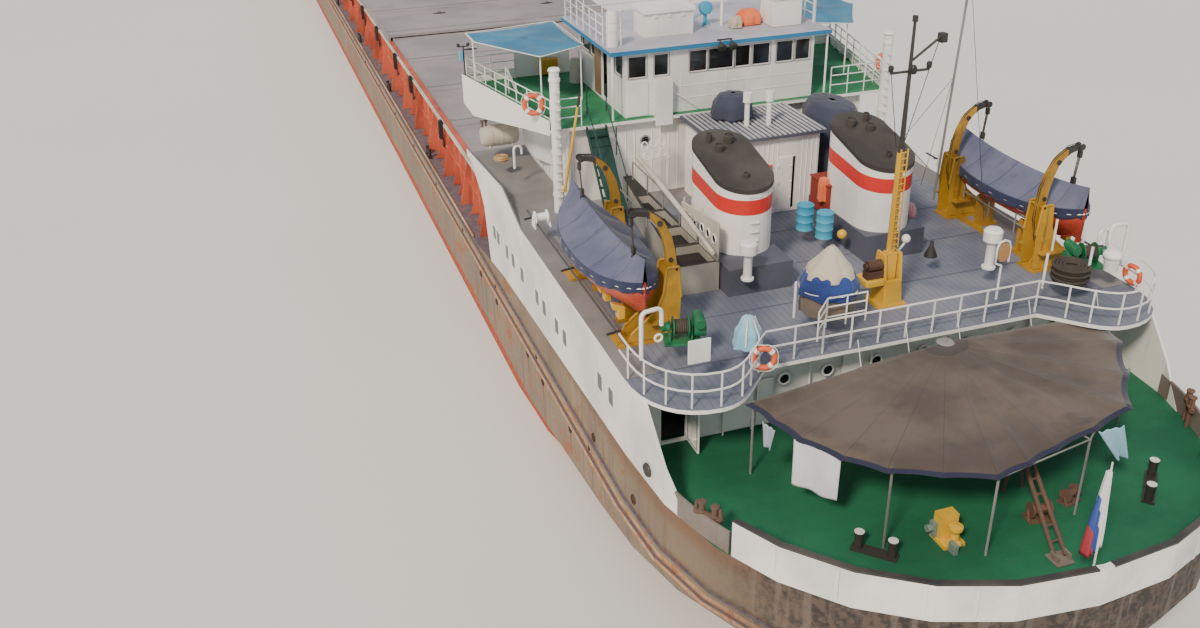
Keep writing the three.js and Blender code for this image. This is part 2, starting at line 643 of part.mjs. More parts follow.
// Boat sections: share of the length, share of the breadth, rise of the keel, sheer of the gunwale
const BOAT_SECTIONS = [
  { along: 0, breadth: 0.06, keel: 58, sheer: 30 },
  { along: 0.12, breadth: 0.62, keel: 12, sheer: 16 },
  { along: 0.3, breadth: 0.94, keel: 0, sheer: 4 },
  { along: 0.5, breadth: 1, keel: 0, sheer: 0 },
  { along: 0.7, breadth: 0.94, keel: 0, sheer: 4 },
  { along: 0.88, breadth: 0.62, keel: 12, sheer: 16 },
  { along: 1, breadth: 0.06, keel: 58, sheer: 30 },
];

// A body between rings of points, one ring at each section
function sectionLoft(rings) {
  const count = rings[0].length;
  const index = [];
  for (let ring = 0; ring < rings.length - 1; ring += 1) {
    for (let point = 0; point < count; point += 1) {
      const next = (point + 1) % count;
      const low = ring * count;
      const high = low + count;
      index.push(low + point, low + next, high + next, low + point, high + next, high + point);
    }
  }
  const last = (rings.length - 1) * count;
  for (let point = 1; point < count - 1; point += 1) {
    index.push(0, point + 1, point, last, last + point, last + point + 1);
  }
  const geometry = new THREE.BufferGeometry();
  geometry.setAttribute('position', new THREE.Float32BufferAttribute(rings.flat(2), 3));
  geometry.setIndex(index);
  return solid(geometry);
}

function boatRings(width, section) {
  return BOAT_SECTIONS.map((row) => {
    const x = BOAT.x[0] + (BOAT.x[1] - BOAT.x[0]) * row.along;
    const half = width * row.breadth;
    return section(row, half).map(([y, z]) => [x, BOAT.y + y, z]);
  });
}

function buildBoats() {
  const rim = ({ sheer }) => BOAT.gunwale + sheer;
  const shell = sectionLoft(boatRings(BOAT.half, (row, half) => [
    [0, BOAT.keel + row.keel], [half * BOAT.bilge, BOAT.keel + row.keel + BOAT.bilgeRise],
    [half * 0.94, BOAT.keel + row.keel + 62], [half, rim(row)], [-half, rim(row)],
    [-half * 0.94, BOAT.keel + row.keel + 62], [-half * BOAT.bilge, BOAT.keel + row.keel + BOAT.bilgeRise],
  ]));
  const cover = sectionLoft(boatRings(BOAT.half + 2, (row, half) => [
    [half, rim(row) + GAP], [half, rim(row) + 8], [half * 0.45, rim(row) + 52], [0, rim(row) + 76],
    [-half * 0.45, rim(row) + 52], [-half, rim(row) + 8], [-half, rim(row) + GAP],
  ]));
  const sides = [['port', (body) => body], ['starboard', mirrored]];
  sides.forEach(([side, place]) => {
    piece(`boat_${side}`, place(shell), 'orange');
    piece(`boat_cover_${side}`, place(cover), 'boatCover');
    Object.entries(DAVITS).forEach(([end, x]) => {
      const { y, z } = DAVIT_PIVOT;
      const boss = bar([x - 15 + GAP, y, z], [x + 15 - GAP, y, z], 8, 10);
      const arm = crossPlate(davitOutline(), [x - 9, x + 9]);
      piece(`davit_arm_${side}_${end}`, place(join(arm, boss)), 'ochre');
    });
    piece(`davit_bed_${side}`, place(davitBed()), 'ochre');
  });
}

// Both edges of the arm, set off square to a smooth curve through its middle line
function davitOutline() {
  const curve = new THREE.CatmullRomCurve3(DAVIT_ARM.map(([y, z, half]) => new THREE.Vector3(y, z, half)));
  const left = [];
  const right = [];
  for (let step = 0; step <= DAVIT_STEPS; step += 1) {
    const middle = curve.getPoint(step / DAVIT_STEPS);
    const along = curve.getTangent(step / DAVIT_STEPS).setZ(0).normalize();
    left.push([middle.x - along.y * middle.z, middle.y + along.x * middle.z]);
    right.push([middle.x + along.y * middle.z, middle.y - along.x * middle.z]);
  }
  return [...left, ...right.reverse()];
}

function davitBed() {
  const top = POOP + 12;
  const beam = box([DAVITS.aft - 45, DAVITS.fore + 45], [640, 656], [POOP + GAP, top]);
  const feet = Object.values(DAVITS).map((x) => {
    const pad = box([x - 40, x + 40], [600, 790], [POOP + GAP, POOP + 8]);
    const cheeks = [-1, 1].map((side) => crossPlate(
      [[630, POOP + 6], [720, POOP + 6], [692, DAVIT_PIVOT.z + 14], [658, DAVIT_PIVOT.z + 14]],
      side > 0 ? [x + 15, x + 22] : [x - 22, x - 15],
    ));
    return join(pad, cheeks);
  });
  const underside = (y) => BOAT.keel - GAP + (BOAT.y - y) * BOAT.bilgeRise / (BOAT.half * BOAT.bilge);
  const chocks = CHOCK.x.map((x) => join(
    box([x - 14, x + 14], [640, 740], [POOP + GAP, POOP + 10]),
    crossPlate([[CHOCK.y[0], POOP + 8], [CHOCK.y[1], POOP + 8], [CHOCK.y[1], underside(CHOCK.y[1])],
      [CHOCK.y[0] + 8, underside(CHOCK.y[0] + 8)], [CHOCK.y[0], underside(CHOCK.y[0] + 16)]], [x - 8, x + 8]),
  ));
  return join(beam, feet, chocks);
}

// Aft deck

// Corners of the after awning, as x and y, and the posts that carry it
const AFT_AWNING = [[735, 570], [535, 520], [425, 460], [340, 385], [225, 150], [280, -60], [370, -360],
  [665, -580], [825, -630], [840, -160], [800, 185]];
const AWNING_POSTS = [[748, 535], [350, 360], [240, 140], [300, -170], [545, -500]];

// Where the ribs of the awning meet the poop deck's edge
const RIB_END = 820;

function buildAftAwning() {
  piece('aft_awning', slab(outline(AFT_AWNING), [930, 934]), 'awningBrown');
  const top = 930 - GAP;
  const posts = AWNING_POSTS.map(([x, y]) => bar([x, y, AFT_DECK + GAP], [x, y, top - 1], 3.5, 6));
  const edges = AWNING_POSTS.slice(1).map(([x, y], place) => bar(
    [AWNING_POSTS[place][0], AWNING_POSTS[place][1], top - 3], [x, y, top - 3], 2.4, 6,
  ));
  const ribs = AWNING_POSTS.slice(1, 4).map(([x, y]) => bar(
    [x, y, top - 3], [RIB_END, y * 0.2, top - 3], 2.4, 6,
  ));
  piece('awning_frame', join(posts, edges, ribs), 'cream');
}

function buildMooring() {
  const capstan = { x: 315, y: 195 };
  const base = join(
    box([capstan.x - 26, capstan.x + 40], [capstan.y - 30, capstan.y + 30], [AFT_DECK + GAP, AFT_DECK + 10]),
    box([capstan.x + 4, capstan.x + 36], [capstan.y - 24, capstan.y + 26], [AFT_DECK + 8, AFT_DECK + 78]),
  );
  piece('capstan_base', base, 'yellow');
  const drumZ = AFT_DECK + 10 + GAP;
  const profile = [[0, 0], [20, 0], [20, 6], [12, 14], [11, 34], [18, 46], [18, 54], [0, 58]];
  const drum = new THREE.LatheGeometry(profile.map(([r, z]) => new THREE.Vector2(r, z)), 16);
  drum.rotateX(Math.PI / 2);
  drum.translate(capstan.x - 20, capstan.y, drumZ);
  piece('capstan_drum', solid(drum), 'yellow');
  const bollards = (spread) => join(
    box([-spread - 16, spread + 16], [-16, 16], [AFT_DECK + GAP, AFT_DECK + 6]),
    [-spread, spread].map((shift) => join(
      bar([shift, 0, AFT_DECK + 4], [shift, 0, AFT_DECK + 52], 11, 12),
      bar([shift, 0, AFT_DECK + 46], [shift, 0, AFT_DECK + 54], 13, 12),
    )),
  );
  piece('bollards_port', bollards(42).rotate([0, 0, 45]).translate([340, 390, 0]), 'black');
  piece('bollards_starboard', bollards(60).rotate([0, 0, -45]).translate([325, -430, 0]), 'black');
}

// Bow gear

function buildBow() {
  const deck = FORECASTLE + GAP;
  const bed = box([13050, 13200], [-230, 230], [deck, deck + 12]);
  const cheeks = [-180, -60, 60, 180].map((y) => sidePlate(
    [[13070, deck + 10], [13180, deck + 10], [13150, deck + 66], [13100, deck + 66]], [y - 8, y + 8],
  ));
  const shaft = bar([13125, -220, deck + 48], [13125, 220, deck + 48], 8, 8);
  const drums = [-120, 120].map((y) => bar([13125, y - 40, deck + 48], [13125, y + 40, deck + 48], 26, 12));
  piece('windlass', join(bed, cheeks, shaft, drums), 'black');
  const anchor = join(
    box([-8, 8], [HAWSE.out + GAP, HAWSE.out + 9], [500, 615]),
    box([-42, 42], [HAWSE.out + GAP, HAWSE.out + 18], [486, 508]),
    box([-42, -30], [HAWSE.out + 3, HAWSE.out + 15], [500, 560]),
    box([30, 42], [HAWSE.out + 3, HAWSE.out + 15], [500, 560]),
  );
  const placed = atHawse(anchor);
  piece('anchor_port', placed, 'black');
  piece('anchor_starboard', mirrored(placed), 'black');
  const { x, top } = FOREMAST;
  const pole = join(
    box([x - 8, x + 8], [-8, 8], [FOREMAST.pivot - 90, FOREMAST.pivot + 20]),
    bar([x, -14 + GAP, FOREMAST.pivot], [x, 14 - GAP, FOREMAST.pivot], 7, 10),
    bar([x, 0, FOREMAST.pivot + 10], [x, 0, top], 7, 8, 4),
    box([x - 3, x + 3], [-50, 50], [1250, 1256]),
  );
  piece('foremast', pole, 'white');
}

// Screws, nozzles and rudder

function buildPropulsion() {
  [['port', 1], ['starboard', -1]].forEach(([side, hand]) => {
    const y = hand * NOZZLE.y;
    const hub = join(
      bar([NOZZLE.x - 22, y, SHAFT_Z], [NOZZLE.x + 16, y, SHAFT_Z], SCREW.hub, 12, SCREW.hub - 2),
      bar([NOZZLE.x - 40, y, SHAFT_Z], [NOZZLE.x - 20, y, SHAFT_Z], 6, 12, SCREW.hub),
      bar([NOZZLE.x, y, SHAFT_Z], [780 - GAP, y, SHAFT_Z], 9, 12),
    );
    const blade = box([-3, 3], [-20, 20], [10, SCREW.radius]).rotate([0, 0, hand * 58]);
    const blades = [];
    for (let turn = 0; turn < SCREW.blades; turn += 1) {
      blades.push(blade.rotate([turn * 360 / SCREW.blades, 0, 0]).translate([NOZZLE.x - 3, y, SHAFT_Z]));
    }
    const disc = bar([NOZZLE.x - 40, y, SHAFT_Z], [NOZZLE.x + 40, y, SHAFT_Z], SCREW.radius, 32);
    piece(`screw_${side}`, join(hub, join(blades).intersect(disc)), 'bronze');

    const barrel = (radius, reach) => bar(
      [NOZZLE.x - reach, y, SHAFT_Z], [NOZZLE.x + reach, y, SHAFT_Z], radius, NOZZLE.sides,
    );
    const ring = barrel(NOZZLE.outer, NOZZLE.half).subtract(barrel(NOZZLE.inner, NOZZLE.half + 1));
    const stock = bar([NOZZLE.x, y, SHAFT_Z + 96], [NOZZLE.x, y, TRUNK_FOOT - GAP], 13, 10);
    piece(`nozzle_${side}`, join(ring, stock), 'hull');
  });
  const { x, fore, aft, low, high, half } = RUDDER;
  const section = outline([[x + fore, 0], [x + fore - 10, half], [x, half], [x - aft, 1], [x - aft, -1],
    [x, -half], [x + fore - 10, -half]]);
  const blade = slab(section, [low, high]);
  piece('rudder', join(blade, bar([x, 0, high - 5], [x, 0, TRUNK_FOOT - GAP], 9, 10)), 'hull');
}

buildHull();
buildEngines();
buildForecastle();
buildSternBulwark();
buildCoaming();
buildCovers();
buildQuarterHouse();
buildPoopDeck();
buildPoopRail();
buildUpperHouse();
buildBridgeDeck();
buildWheelhouse();
buildKingposts();
buildStairs();
buildCasing();
buildFunnels();
buildSkylight();
buildMast();
buildBoats();
buildAftAwning();
buildMooring();
buildBow();
buildPropulsion();

const part = new THREE.Group();
part.add(ship);

export default part;
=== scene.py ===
# %% [markdown]
# A river cargo ship, seen from above its port quarter
#
# The ship is a 1:10 model, 13.88 m long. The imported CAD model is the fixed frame: the hull, decks, houses,
# covers and everything that moves. This script gives those pieces their finish and adds what is too fine for
# CAD, such as rails, windows, canvas, winches and lamps. Each step says what the real thing is and why it is
# made this way.

# %% The frame
import math
import random
from dataclasses import dataclass

import bmesh
import bpy
from mathutils import Matrix, Vector
from mathutils.interpolate import poly_3d_calc


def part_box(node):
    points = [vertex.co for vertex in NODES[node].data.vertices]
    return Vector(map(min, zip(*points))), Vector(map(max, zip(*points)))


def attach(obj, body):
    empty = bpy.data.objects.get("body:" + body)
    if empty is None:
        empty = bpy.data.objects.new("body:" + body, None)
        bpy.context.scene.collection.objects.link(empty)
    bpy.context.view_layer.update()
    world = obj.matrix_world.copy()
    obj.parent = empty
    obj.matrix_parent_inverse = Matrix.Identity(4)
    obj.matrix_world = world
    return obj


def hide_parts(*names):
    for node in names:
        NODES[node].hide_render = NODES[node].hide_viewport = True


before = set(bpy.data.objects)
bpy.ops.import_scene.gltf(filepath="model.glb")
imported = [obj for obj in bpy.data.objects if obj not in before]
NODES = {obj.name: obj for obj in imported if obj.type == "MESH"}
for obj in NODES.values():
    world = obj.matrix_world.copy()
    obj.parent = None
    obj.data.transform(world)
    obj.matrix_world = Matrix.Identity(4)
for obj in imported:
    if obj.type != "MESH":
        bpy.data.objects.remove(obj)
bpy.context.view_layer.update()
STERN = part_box("stern_bulwark")[0].x

# %% [markdown]
# Places on a ship are given from the stern forward, from the centreline to port and from the bottom up. The
# frame's origin lies amidships, so one small function turns ship places into frame points. The poop deck's
# height is read from the frame once, so a changed poop deck carries its fittings with it; the other heights
# that many pieces share are given as numbers.

# %% Places and heights


def at(x, y, z):
    """A point x forward of the stern, y to port of the centreline and z above the flat bottom."""
    return Vector((STERN + x, y, z))


def top_of(node):
    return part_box(node)[1].z


POOP = top_of("poop_deck")
CARGO_DECK = 0.55
AFT_DECK = 0.695
BRIDGE = 1.250
ROOF = 1.5
WATERLINE = 0.193
CLEAR = 0.0006  # Fittings stand this far clear of the deck
UP = Vector((0, 0, 1))
SIDES = (("port", 1), ("starboard", -1))


def over(height):
    """The step straight up by a height."""
    return Vector((0, 0, height))


print("poop deck at", round(POOP, 3), "waterline at", WATERLINE)

# %% [markdown]
# The camera comes first. The photograph was taken from a height of about 25 m, some 15 m behind the ship and
# off its port side, looking forward and down. Straight deck edges, window rows and masts in the picture fix
# the direction and the focal length, so the camera is written as a place and three angles.

# %% Camera
IMAGE_WIDTH = 1200
FOCAL_PIXELS = 1133.5
SENSOR = 36.0
CAMERA_PLACE = at(-1.5522, 1.6989, 2.5340)
CAMERA_YAW = math.radians(-17.869)
CAMERA_DOWN = math.radians(27.650)
CAMERA_ROLL = math.radians(-1.324)


def make_camera():
    data = bpy.data.cameras.new("camera")
    data.sensor_width = SENSOR
    data.lens = FOCAL_PIXELS * SENSOR / IMAGE_WIDTH
    data.clip_end = 200
    camera = bpy.data.objects.new("camera", data)
    bpy.context.scene.collection.objects.link(camera)
    heading = Matrix.Rotation(CAMERA_YAW - math.pi / 2, 4, "Z")
    tilt = Matrix.Rotation(math.pi / 2 - CAMERA_DOWN, 4, "X")
    roll = Matrix.Rotation(CAMERA_ROLL, 4, "Z")
    camera.matrix_world = Matrix.Translation(CAMERA_PLACE) @ heading @ tilt @ roll
    bpy.context.scene.camera = camera
    return camera


camera = make_camera()
print("lens", round(camera.data.lens, 2), "mm")

# %% [markdown]
# Two small tools come before the first mesh. One turns a finished bmesh into an object, always at the origin,
# so that a pattern on object coordinates stays where it is. The other follows cut edges round until they
# close into loops.

# %% Tools for meshes


def object_from(bm, name):
    """A new object at the origin that holds the mesh."""
    mesh = bpy.data.meshes.new(name)
    bm.to_mesh(mesh)
    bm.free()
    made = bpy.data.objects.new(name, mesh)
    bpy.context.scene.collection.objects.link(made)
    return made


def loops_of(edges):
    """The closed loops that some edges make, each as a list of vertices."""
    left = set(edges)
    loops = []
    while left:
        edge = left.pop()
        loop = [edge.verts[0], edge.verts[1]]
        while True:
            following = [e for e in loop[-1].link_edges if e in left]
            if not following:
                break
            left.remove(following[0])
            loop.append(following[0].other_vert(loop[-1]))
        loops.append(loop[:-1])
    return loops


def length_of(loop):
    return sum((a.co - b.co).length for a, b in zip(loop, loop[1:]))


print("mesh tools ready")


# %% [markdown]
# The ship floats, so the studio floor is at its waterline. The floor has a hole along the hull, because with
# the hatches open one looks down into holds that are deeper than the water outside. A copy of the hull, cut
# at the waterline, gives the hole its outline, and the longest loop of the cut is the outer one.

# %% Floor
FLOOR_REACH = 60
HOLE_INSET = 0.004


def waterline_points():
    bm = bmesh.new()
    bm.from_mesh(NODES["hull"].data)
    bmesh.ops.remove_doubles(bm, verts=bm.verts, dist=1e-5)
    cut = bmesh.ops.bisect_plane(
        bm, geom=[*bm.verts, *bm.edges, *bm.faces], plane_co=(0, 0, WATERLINE), plane_no=UP
    )
    edges = [item for item in cut["geom_cut"] if isinstance(item, bmesh.types.BMEdge)]
    outer = max(loops_of(edges), key=length_of)
    points = [vert.co.copy() for vert in outer]
    bm.free()
    return points


def make_floor():
    bm = bmesh.new()
    bmesh.ops.create_grid(bm, x_segments=1, y_segments=1, size=FLOOR_REACH)
    bmesh.ops.delete(bm, geom=list(bm.faces), context="FACES_ONLY")
    points = waterline_points()
    half_length = max(abs(point.x) for point in points)
    shrink = 1 - HOLE_INSET / half_length
    ring = [bm.verts.new((point.x * shrink, point.y * shrink, 0)) for point in points]
    for one, other in zip(ring, ring[1:] + ring[:1]):
        bm.edges.new((one, other))
    bmesh.ops.triangle_fill(bm, use_beauty=True, edges=list(bm.edges), normal=UP)
    bmesh.ops.translate(bm, verts=bm.verts, vec=(0, 0, WATERLINE))
    floor = object_from(bm, "studio_floor")
    return floor


studio_floor = make_floor()
print("floor with", len(studio_floor.data.polygons), "faces")

# %% [markdown]
# Shader nodes are easier to read as sums. A Patch wraps one output socket and overloads the operators, so
# that `1 - mask * 0.5` adds the Math nodes it needs. A Finish is a material under construction: it holds the
# Principled shader and has one method, node, for every other kind of node.

# %% Shader tools


class Patch:
    """One output socket, used as a number that varies over the surface."""

    def __init__(self, finish, socket):
        self.finish = finish
        self.socket = socket

    def __add__(self, other):
        return self.finish.math("ADD", self, other)

    def __sub__(self, other):
        return self.finish.math("SUBTRACT", self, other)

    def __rsub__(self, other):
        return self.finish.math("SUBTRACT", other, self)

    def __mul__(self, other):
        return self.finish.math("MULTIPLY", self, other)

    def __gt__(self, other):
        return self.finish.math("GREATER_THAN", self, other)

    def __lt__(self, other):
        return self.finish.math("LESS_THAN", self, other)

    def __abs__(self):
        return self.finish.math("ABSOLUTE", self)

    __radd__ = __add__
    __rmul__ = __mul__

    def between(self, low, high):
        """1 where the number lies between two values, and 0 elsewhere."""
        return (self > low) * (self < high)

    def fade(self, low, high):
        """0 at the low value and 1 at the high one, with a smooth step between them."""
        settings = {"interpolation_type": "SMOOTHSTEP", "clamp": True}
        node = self.finish.node("ShaderNodeMapRange", settings, {0: self, 1: low, 2: high, 3: 0.0, 4: 1.0})
        return Patch(self.finish, node.outputs[0])


def colour(code):
    """A linear colour from a six-digit code such as e9e8e4."""
    parts = [int(code[place:place + 2], 16) / 255 for place in (0, 2, 4)]
    linear = [part / 12.92 if part <= 0.04045 else ((part + 0.055) / 1.055) ** 2.4 for part in parts]
    return (*linear, 1.0)


class Finish:
    """A material and the nodes that feed its Principled shader."""

    def __init__(self, name, **constants):
        self.material = bpy.data.materials.new(name)
        self.material.use_nodes = True
        self.tree = self.material.node_tree
        self.shader = self.tree.nodes["Principled BSDF"]
        for key, value in constants.items():
            self.shader.inputs[key.replace("_", " ")].default_value = value
        self.place = Patch(self, self.node("ShaderNodeTexCoord").outputs["Object"])
        split = self.node("ShaderNodeSeparateXYZ", {}, {0: self.place})
        self.x, self.y, self.z = (Patch(self, output) for output in split.outputs)

    def node(self, kind, settings=None, inputs=None):
        made = self.tree.nodes.new(kind)
        for key, value in (settings or {}).items():
            setattr(made, key, value)
        for key, value in (inputs or {}).items():
            self.feed(made.inputs[key], value)
        return made

    def feed(self, socket, value):
        if isinstance(value, Patch):
            self.tree.links.new(value.socket, socket)
        else:
            socket.default_value = value

    def math(self, operation, *values):
        node = self.node("ShaderNodeMath", {"operation": operation}, dict(enumerate(values)))
        return Patch(self, node.outputs[0])

    def noise(self, scale, detail=4.0, stretch=(1, 1, 1), roughness=0.55):
        """A cloudy number around 0.5. The stretch makes the clouds finer along an axis."""
        mapped = self.node("ShaderNodeMapping", {}, {0: self.place, 3: stretch})
        inputs = {"Vector": Patch(self, mapped.outputs[0]), "Scale": scale, "Detail": detail,
                  "Roughness": roughness}
        return Patch(self, self.node("ShaderNodeTexNoise", {}, inputs).outputs[0])

    def attribute(self, key):
        """A number that the mesh carries on its vertices."""
        return Patch(self, self.node("ShaderNodeAttribute", {"attribute_name": key}).outputs["Fac"])

    def every(self, number, period):
        """How far a number is from the nearest whole multiple of a period, as a share of half the period."""
        wave = self.math("PINGPONG", number, period / 2)
        return wave * (2 / period)

    def normal(self):
        """The three parts of the direction that the surface faces."""
        direction = Patch(self, self.node("ShaderNodeNewGeometry").outputs["Normal"])
        split = self.node("ShaderNodeSeparateXYZ", {}, {0: direction})
        return [Patch(self, output) for output in split.outputs]

    def level(self):
        """1 on surfaces that face up, and 0 on upright ones."""
        return self.normal()[2].fade(0.7, 0.9)

    def mix(self, mask, low, high):
        """Two tones, blended by a mask. A tone is a colour's code or a patch of colours."""
        low, high = (colour(tone) if isinstance(tone, str) else tone for tone in (low, high))
        node = self.node("ShaderNodeMix", {"data_type": "RGBA"}, {0: mask, 6: low, 7: high})
        return Patch(self, node.outputs[2])

    def paint(self, patch):
        self.feed(self.shader.inputs["Base Color"], patch)

    def rough(self, patch):
        self.feed(self.shader.inputs["Roughness"], patch)

    def bump(self, height, strength=0.4, distance=0.002):
        node = self.node("ShaderNodeBump", {}, {"Strength": strength, "Distance": distance, "Height": height})
        self.tree.links.new(node.outputs[0], self.shader.inputs["Normal"])


def wear(node_or_piece, material):
    """Gives a CAD node, by name, or a new piece its one material."""
    target = NODES[node_or_piece] if isinstance(node_or_piece, str) else node_or_piece
    target.data.materials.clear()
    target.data.materials.append(material)


print("shader tools ready")

# %% [markdown]
# Painted steel makes up most of a ship. Its paint is never even: broad clouds of fading and dirt, fine grain,
# dark runs below anything that drips, and rust where the film has broken. A Coat says how much of each one
# paint shows, and where it lies. One function lays coats over each other, so one CAD piece can have a red
# band or a black cap without being cut up. The runs are a noise stretched along z, so they only show on
# upright surfaces.

# %% Painted steel
RUST = "7a3f26"
RUST_LIGHT = "a9623a"


@dataclass
class Coat:
    """One paint: its colour and faded colour, its rust and runs from 0 to 1, and a mask for where it lies."""

    base: str
    faded: str
    rust: float = 0.1
    runs: float = 0.2
    run_colour: str = "5c5148"
    where: object = None


def painted(name, *coats, roughness=0.5, grain=0.3, dents=0.0):
    """Paint in coats, each over the one before it where its mask says. Dents are hollows in the plate."""
    finish = Finish(name)
    clouds = finish.noise(4.0, 5)
    grain_noise = finish.noise(90.0, 3)
    streaks = finish.noise(1.0, 4, stretch=(38, 38, 2.2))
    spots = finish.noise(34.0, 7, roughness=0.7)
    rusty = finish.mix(grain_noise, RUST, RUST_LIGHT)
    tone = None
    for coat in coats:
        layer = finish.mix(clouds.fade(0.38, 0.66), coat.base, coat.faded)
        run = streaks.fade(0.66 - 0.14 * coat.runs, 0.8) * (0.75 * coat.runs)
        layer = finish.mix(run, layer, coat.run_colour)
        spot = spots.fade(0.74 - 0.16 * coat.rust, 0.78) * min(1.0, 0.4 + coat.rust) * clouds.fade(0.35, 0.6)
        layer = finish.mix(spot, layer, rusty)
        tone = layer if tone is None else finish.mix(coat.where(finish), tone, layer)
    finish.paint(tone)
    finish.rough(roughness + (grain_noise - 0.5) * 0.2)
    hollows = finish.noise(13.0, 3) * dents if dents else 0.0
    finish.bump(grain_noise * grain + clouds * 0.5 + hollows, 0.35, 0.0015)
    return finish.material


WHITE_COAT = Coat("f4f1ea", "dcdad6", rust=0.12, runs=0.35, run_colour="8d7f72")
WHITE = painted("white_paint", WHITE_COAT, roughness=0.42)
WHITE_TRIM = painted("white_trim", Coat("f6f3ee", "e2e0dc", rust=0.1, runs=0.1), roughness=0.4)
CREAM = painted("cream_paint", Coat("cfc8b8", "b5ad9c", rust=0.35, runs=0.3), roughness=0.6)
TRUNK = painted("trunk_paint", Coat("5a5c69", "494b58", rust=0.2, runs=0.3), roughness=0.6)
YELLOW_COAT = Coat("e3b53a", "c9992c", rust=0.3, runs=0.3, run_colour="5e4a20")
YELLOW = painted("mast_yellow", YELLOW_COAT, roughness=0.45)
OCHRE_COAT = Coat("bf8f2a", "8f6b20", rust=0.55, runs=0.8, run_colour="3f3216")
OCHRE = painted("davit_ochre", OCHRE_COAT, roughness=0.5)
BLACK_COAT = Coat("26241f", "3a3733", rust=0.25, runs=0.1)
BLACK = painted("black_paint", BLACK_COAT, roughness=0.5)
STAIR_GREEN = painted("stair_green", Coat("0c3029", "134238", rust=0.1, runs=0.1), roughness=0.5)
WINCH_GREEN = painted("winch_green", Coat("17603c", "247c50", rust=0.2, runs=0.2), roughness=0.45)
LIGHT_BLUE = painted("drum_blue", Coat("2f95bd", "58b3cf", rust=0.1, runs=0.2), roughness=0.5)
RED_LEAD = painted("locker_red", Coat("8e3222", "6d281d", rust=0.4, runs=0.3), roughness=0.65)
RESCUE = painted("rescue_orange", Coat("dd5a34", "e8703f", rust=0.0, runs=0.1), roughness=0.55)
GALVANISED = painted("weathered_steel", Coat("8b8a88", "6f6c69", rust=0.3, runs=0.2), roughness=0.45)
RUSTED = painted("rusted_steel", Coat("5a4a40", "6f5040", rust=0.8, runs=0.3), roughness=0.8)
SALMON = painted("coaming_side", Coat("c9664b", "a44a36", rust=0.35, runs=0.6, run_colour="4d2a20"),
                 roughness=0.65)
ENGINE = painted("engine_enamel", Coat("5f6b66", "4e5955", rust=0.05, runs=0.05), roughness=0.4)
print(len(bpy.data.materials), "materials")

# %% [markdown]
# Some CAD pieces carry more than one paint. The funnels have a red band that follows their sloping tops, the
# mast is dark above its yellow column, the davits' outer arms are black, and the bulwark has a dark rail on
# top and green paint inside. The masks below are sums of heights, places and facings, in the ship's own
# metres.

# %% Pieces in several paints
BULWARK_TOP = 0.805
BULWARK_RAIL = 0.0055
BAND_FOOT = 1.199
BAND_SLOPE = 0.10
BAND_HALF = 0.024
FUNNEL_AFT = 1.37
MAST_DARK_FROM = 1.43
ARM_DARK_FROM = 0.682
ROOF_EDGE = 0.0155
MASK_EDGE = 0.0004
ARM_MASK_Z = (1.2, 1.25)


def red_band(finish):
    middle = BAND_FOOT + (finish.x - (STERN + FUNNEL_AFT)) * BAND_SLOPE
    return 1 - abs(finish.z - middle).fade(BAND_HALF, BAND_HALF + 0.0015)


def inside_bulwark(finish):
    facing_x, facing_y, _ = finish.normal()
    outward = facing_x * (finish.x - (STERN + 0.45)) + facing_y * finish.y
    return (outward < 0) * (abs(finish.y) > 0.02)


def above(height):
    """A mask that covers everything over a height."""
    return lambda finish: finish.z.fade(height - MASK_EDGE, height + MASK_EDGE)


FUNNEL = painted(
    "funnel_paint", WHITE_COAT,
    Coat("d8342c", "c22f2a", rust=0.05, runs=0.15, where=red_band),
    Coat("6b6158", "4f4842", rust=0.2, runs=0.0, where=Finish.level),
    roughness=0.42,
)
MAST_PAINT = painted(
    "mast_paint", YELLOW_COAT, Coat("35312c", "4a443c", rust=0.4, runs=0.2, where=above(MAST_DARK_FROM)),
)
ARM_PAINT = painted(
    "davit_arm_paint", OCHRE_COAT,
    Coat("2b2723", "3d3833", rust=0.3, where=lambda f: abs(f.y).fade(ARM_DARK_FROM, ARM_DARK_FROM + 0.004)
         * f.z.fade(*ARM_MASK_Z)),
)
BOOM_PAINT = painted("boom_paint", YELLOW_COAT, Coat("2b2723", "3d3833", where=above(1.345)))
BULWARK = painted(
    "bulwark_paint", WHITE_COAT,
    Coat("17603f", "1f5138", rust=0.2, runs=0.3, where=inside_bulwark),
    Coat("2c2a27", "4a443d", rust=0.3,
         where=lambda f: f.z.between(BULWARK_TOP - BULWARK_RAIL, BULWARK_TOP + 0.001)
         * (abs(f.y) > 0.02)),
    roughness=0.42, dents=14.0,
)
BOLLARD = painted("bollard_paint", BLACK_COAT, Coat("f2efe8", "d8d4cc", where=above(AFT_DECK + 0.0525)))
ROOF_PAINT = painted(
    "wheelhouse_roof_paint", WHITE_COAT,
    Coat("b9b8c2", "a5a3ad", rust=0.2, runs=0.0, where=lambda f: (f.z < ROOF + 0.001) * f.level()),
    Coat("2f7fae", "2a74a2", rust=0.05, runs=0.2,
         where=lambda f: f.z.between(ROOF - 2 * ROOF_EDGE, ROOF + 0.0005) * (1 - f.level())),
)
# The skylight is pale grey; its low level surfaces are painted near black as painted shade in its open cells
SKYLIGHT = painted(
    "skylight_paint", Coat("aaa69b", "8c887e", rust=0.35, runs=0.4),
    Coat("2a2724", "3a332c", where=lambda f: (f.z < POOP + 0.04) * f.level()),
    roughness=0.6,
)
print(len(bpy.data.materials), "materials")

# %% [markdown]
# Decks are matt, trodden and dusty, so they get their own finish: paint worn thin along the paths, with pale
# scuffs and darker damp patches. The boat deck is laid in sheets with seams across it, which show as fine
# dark lines.

# %% Deck paint


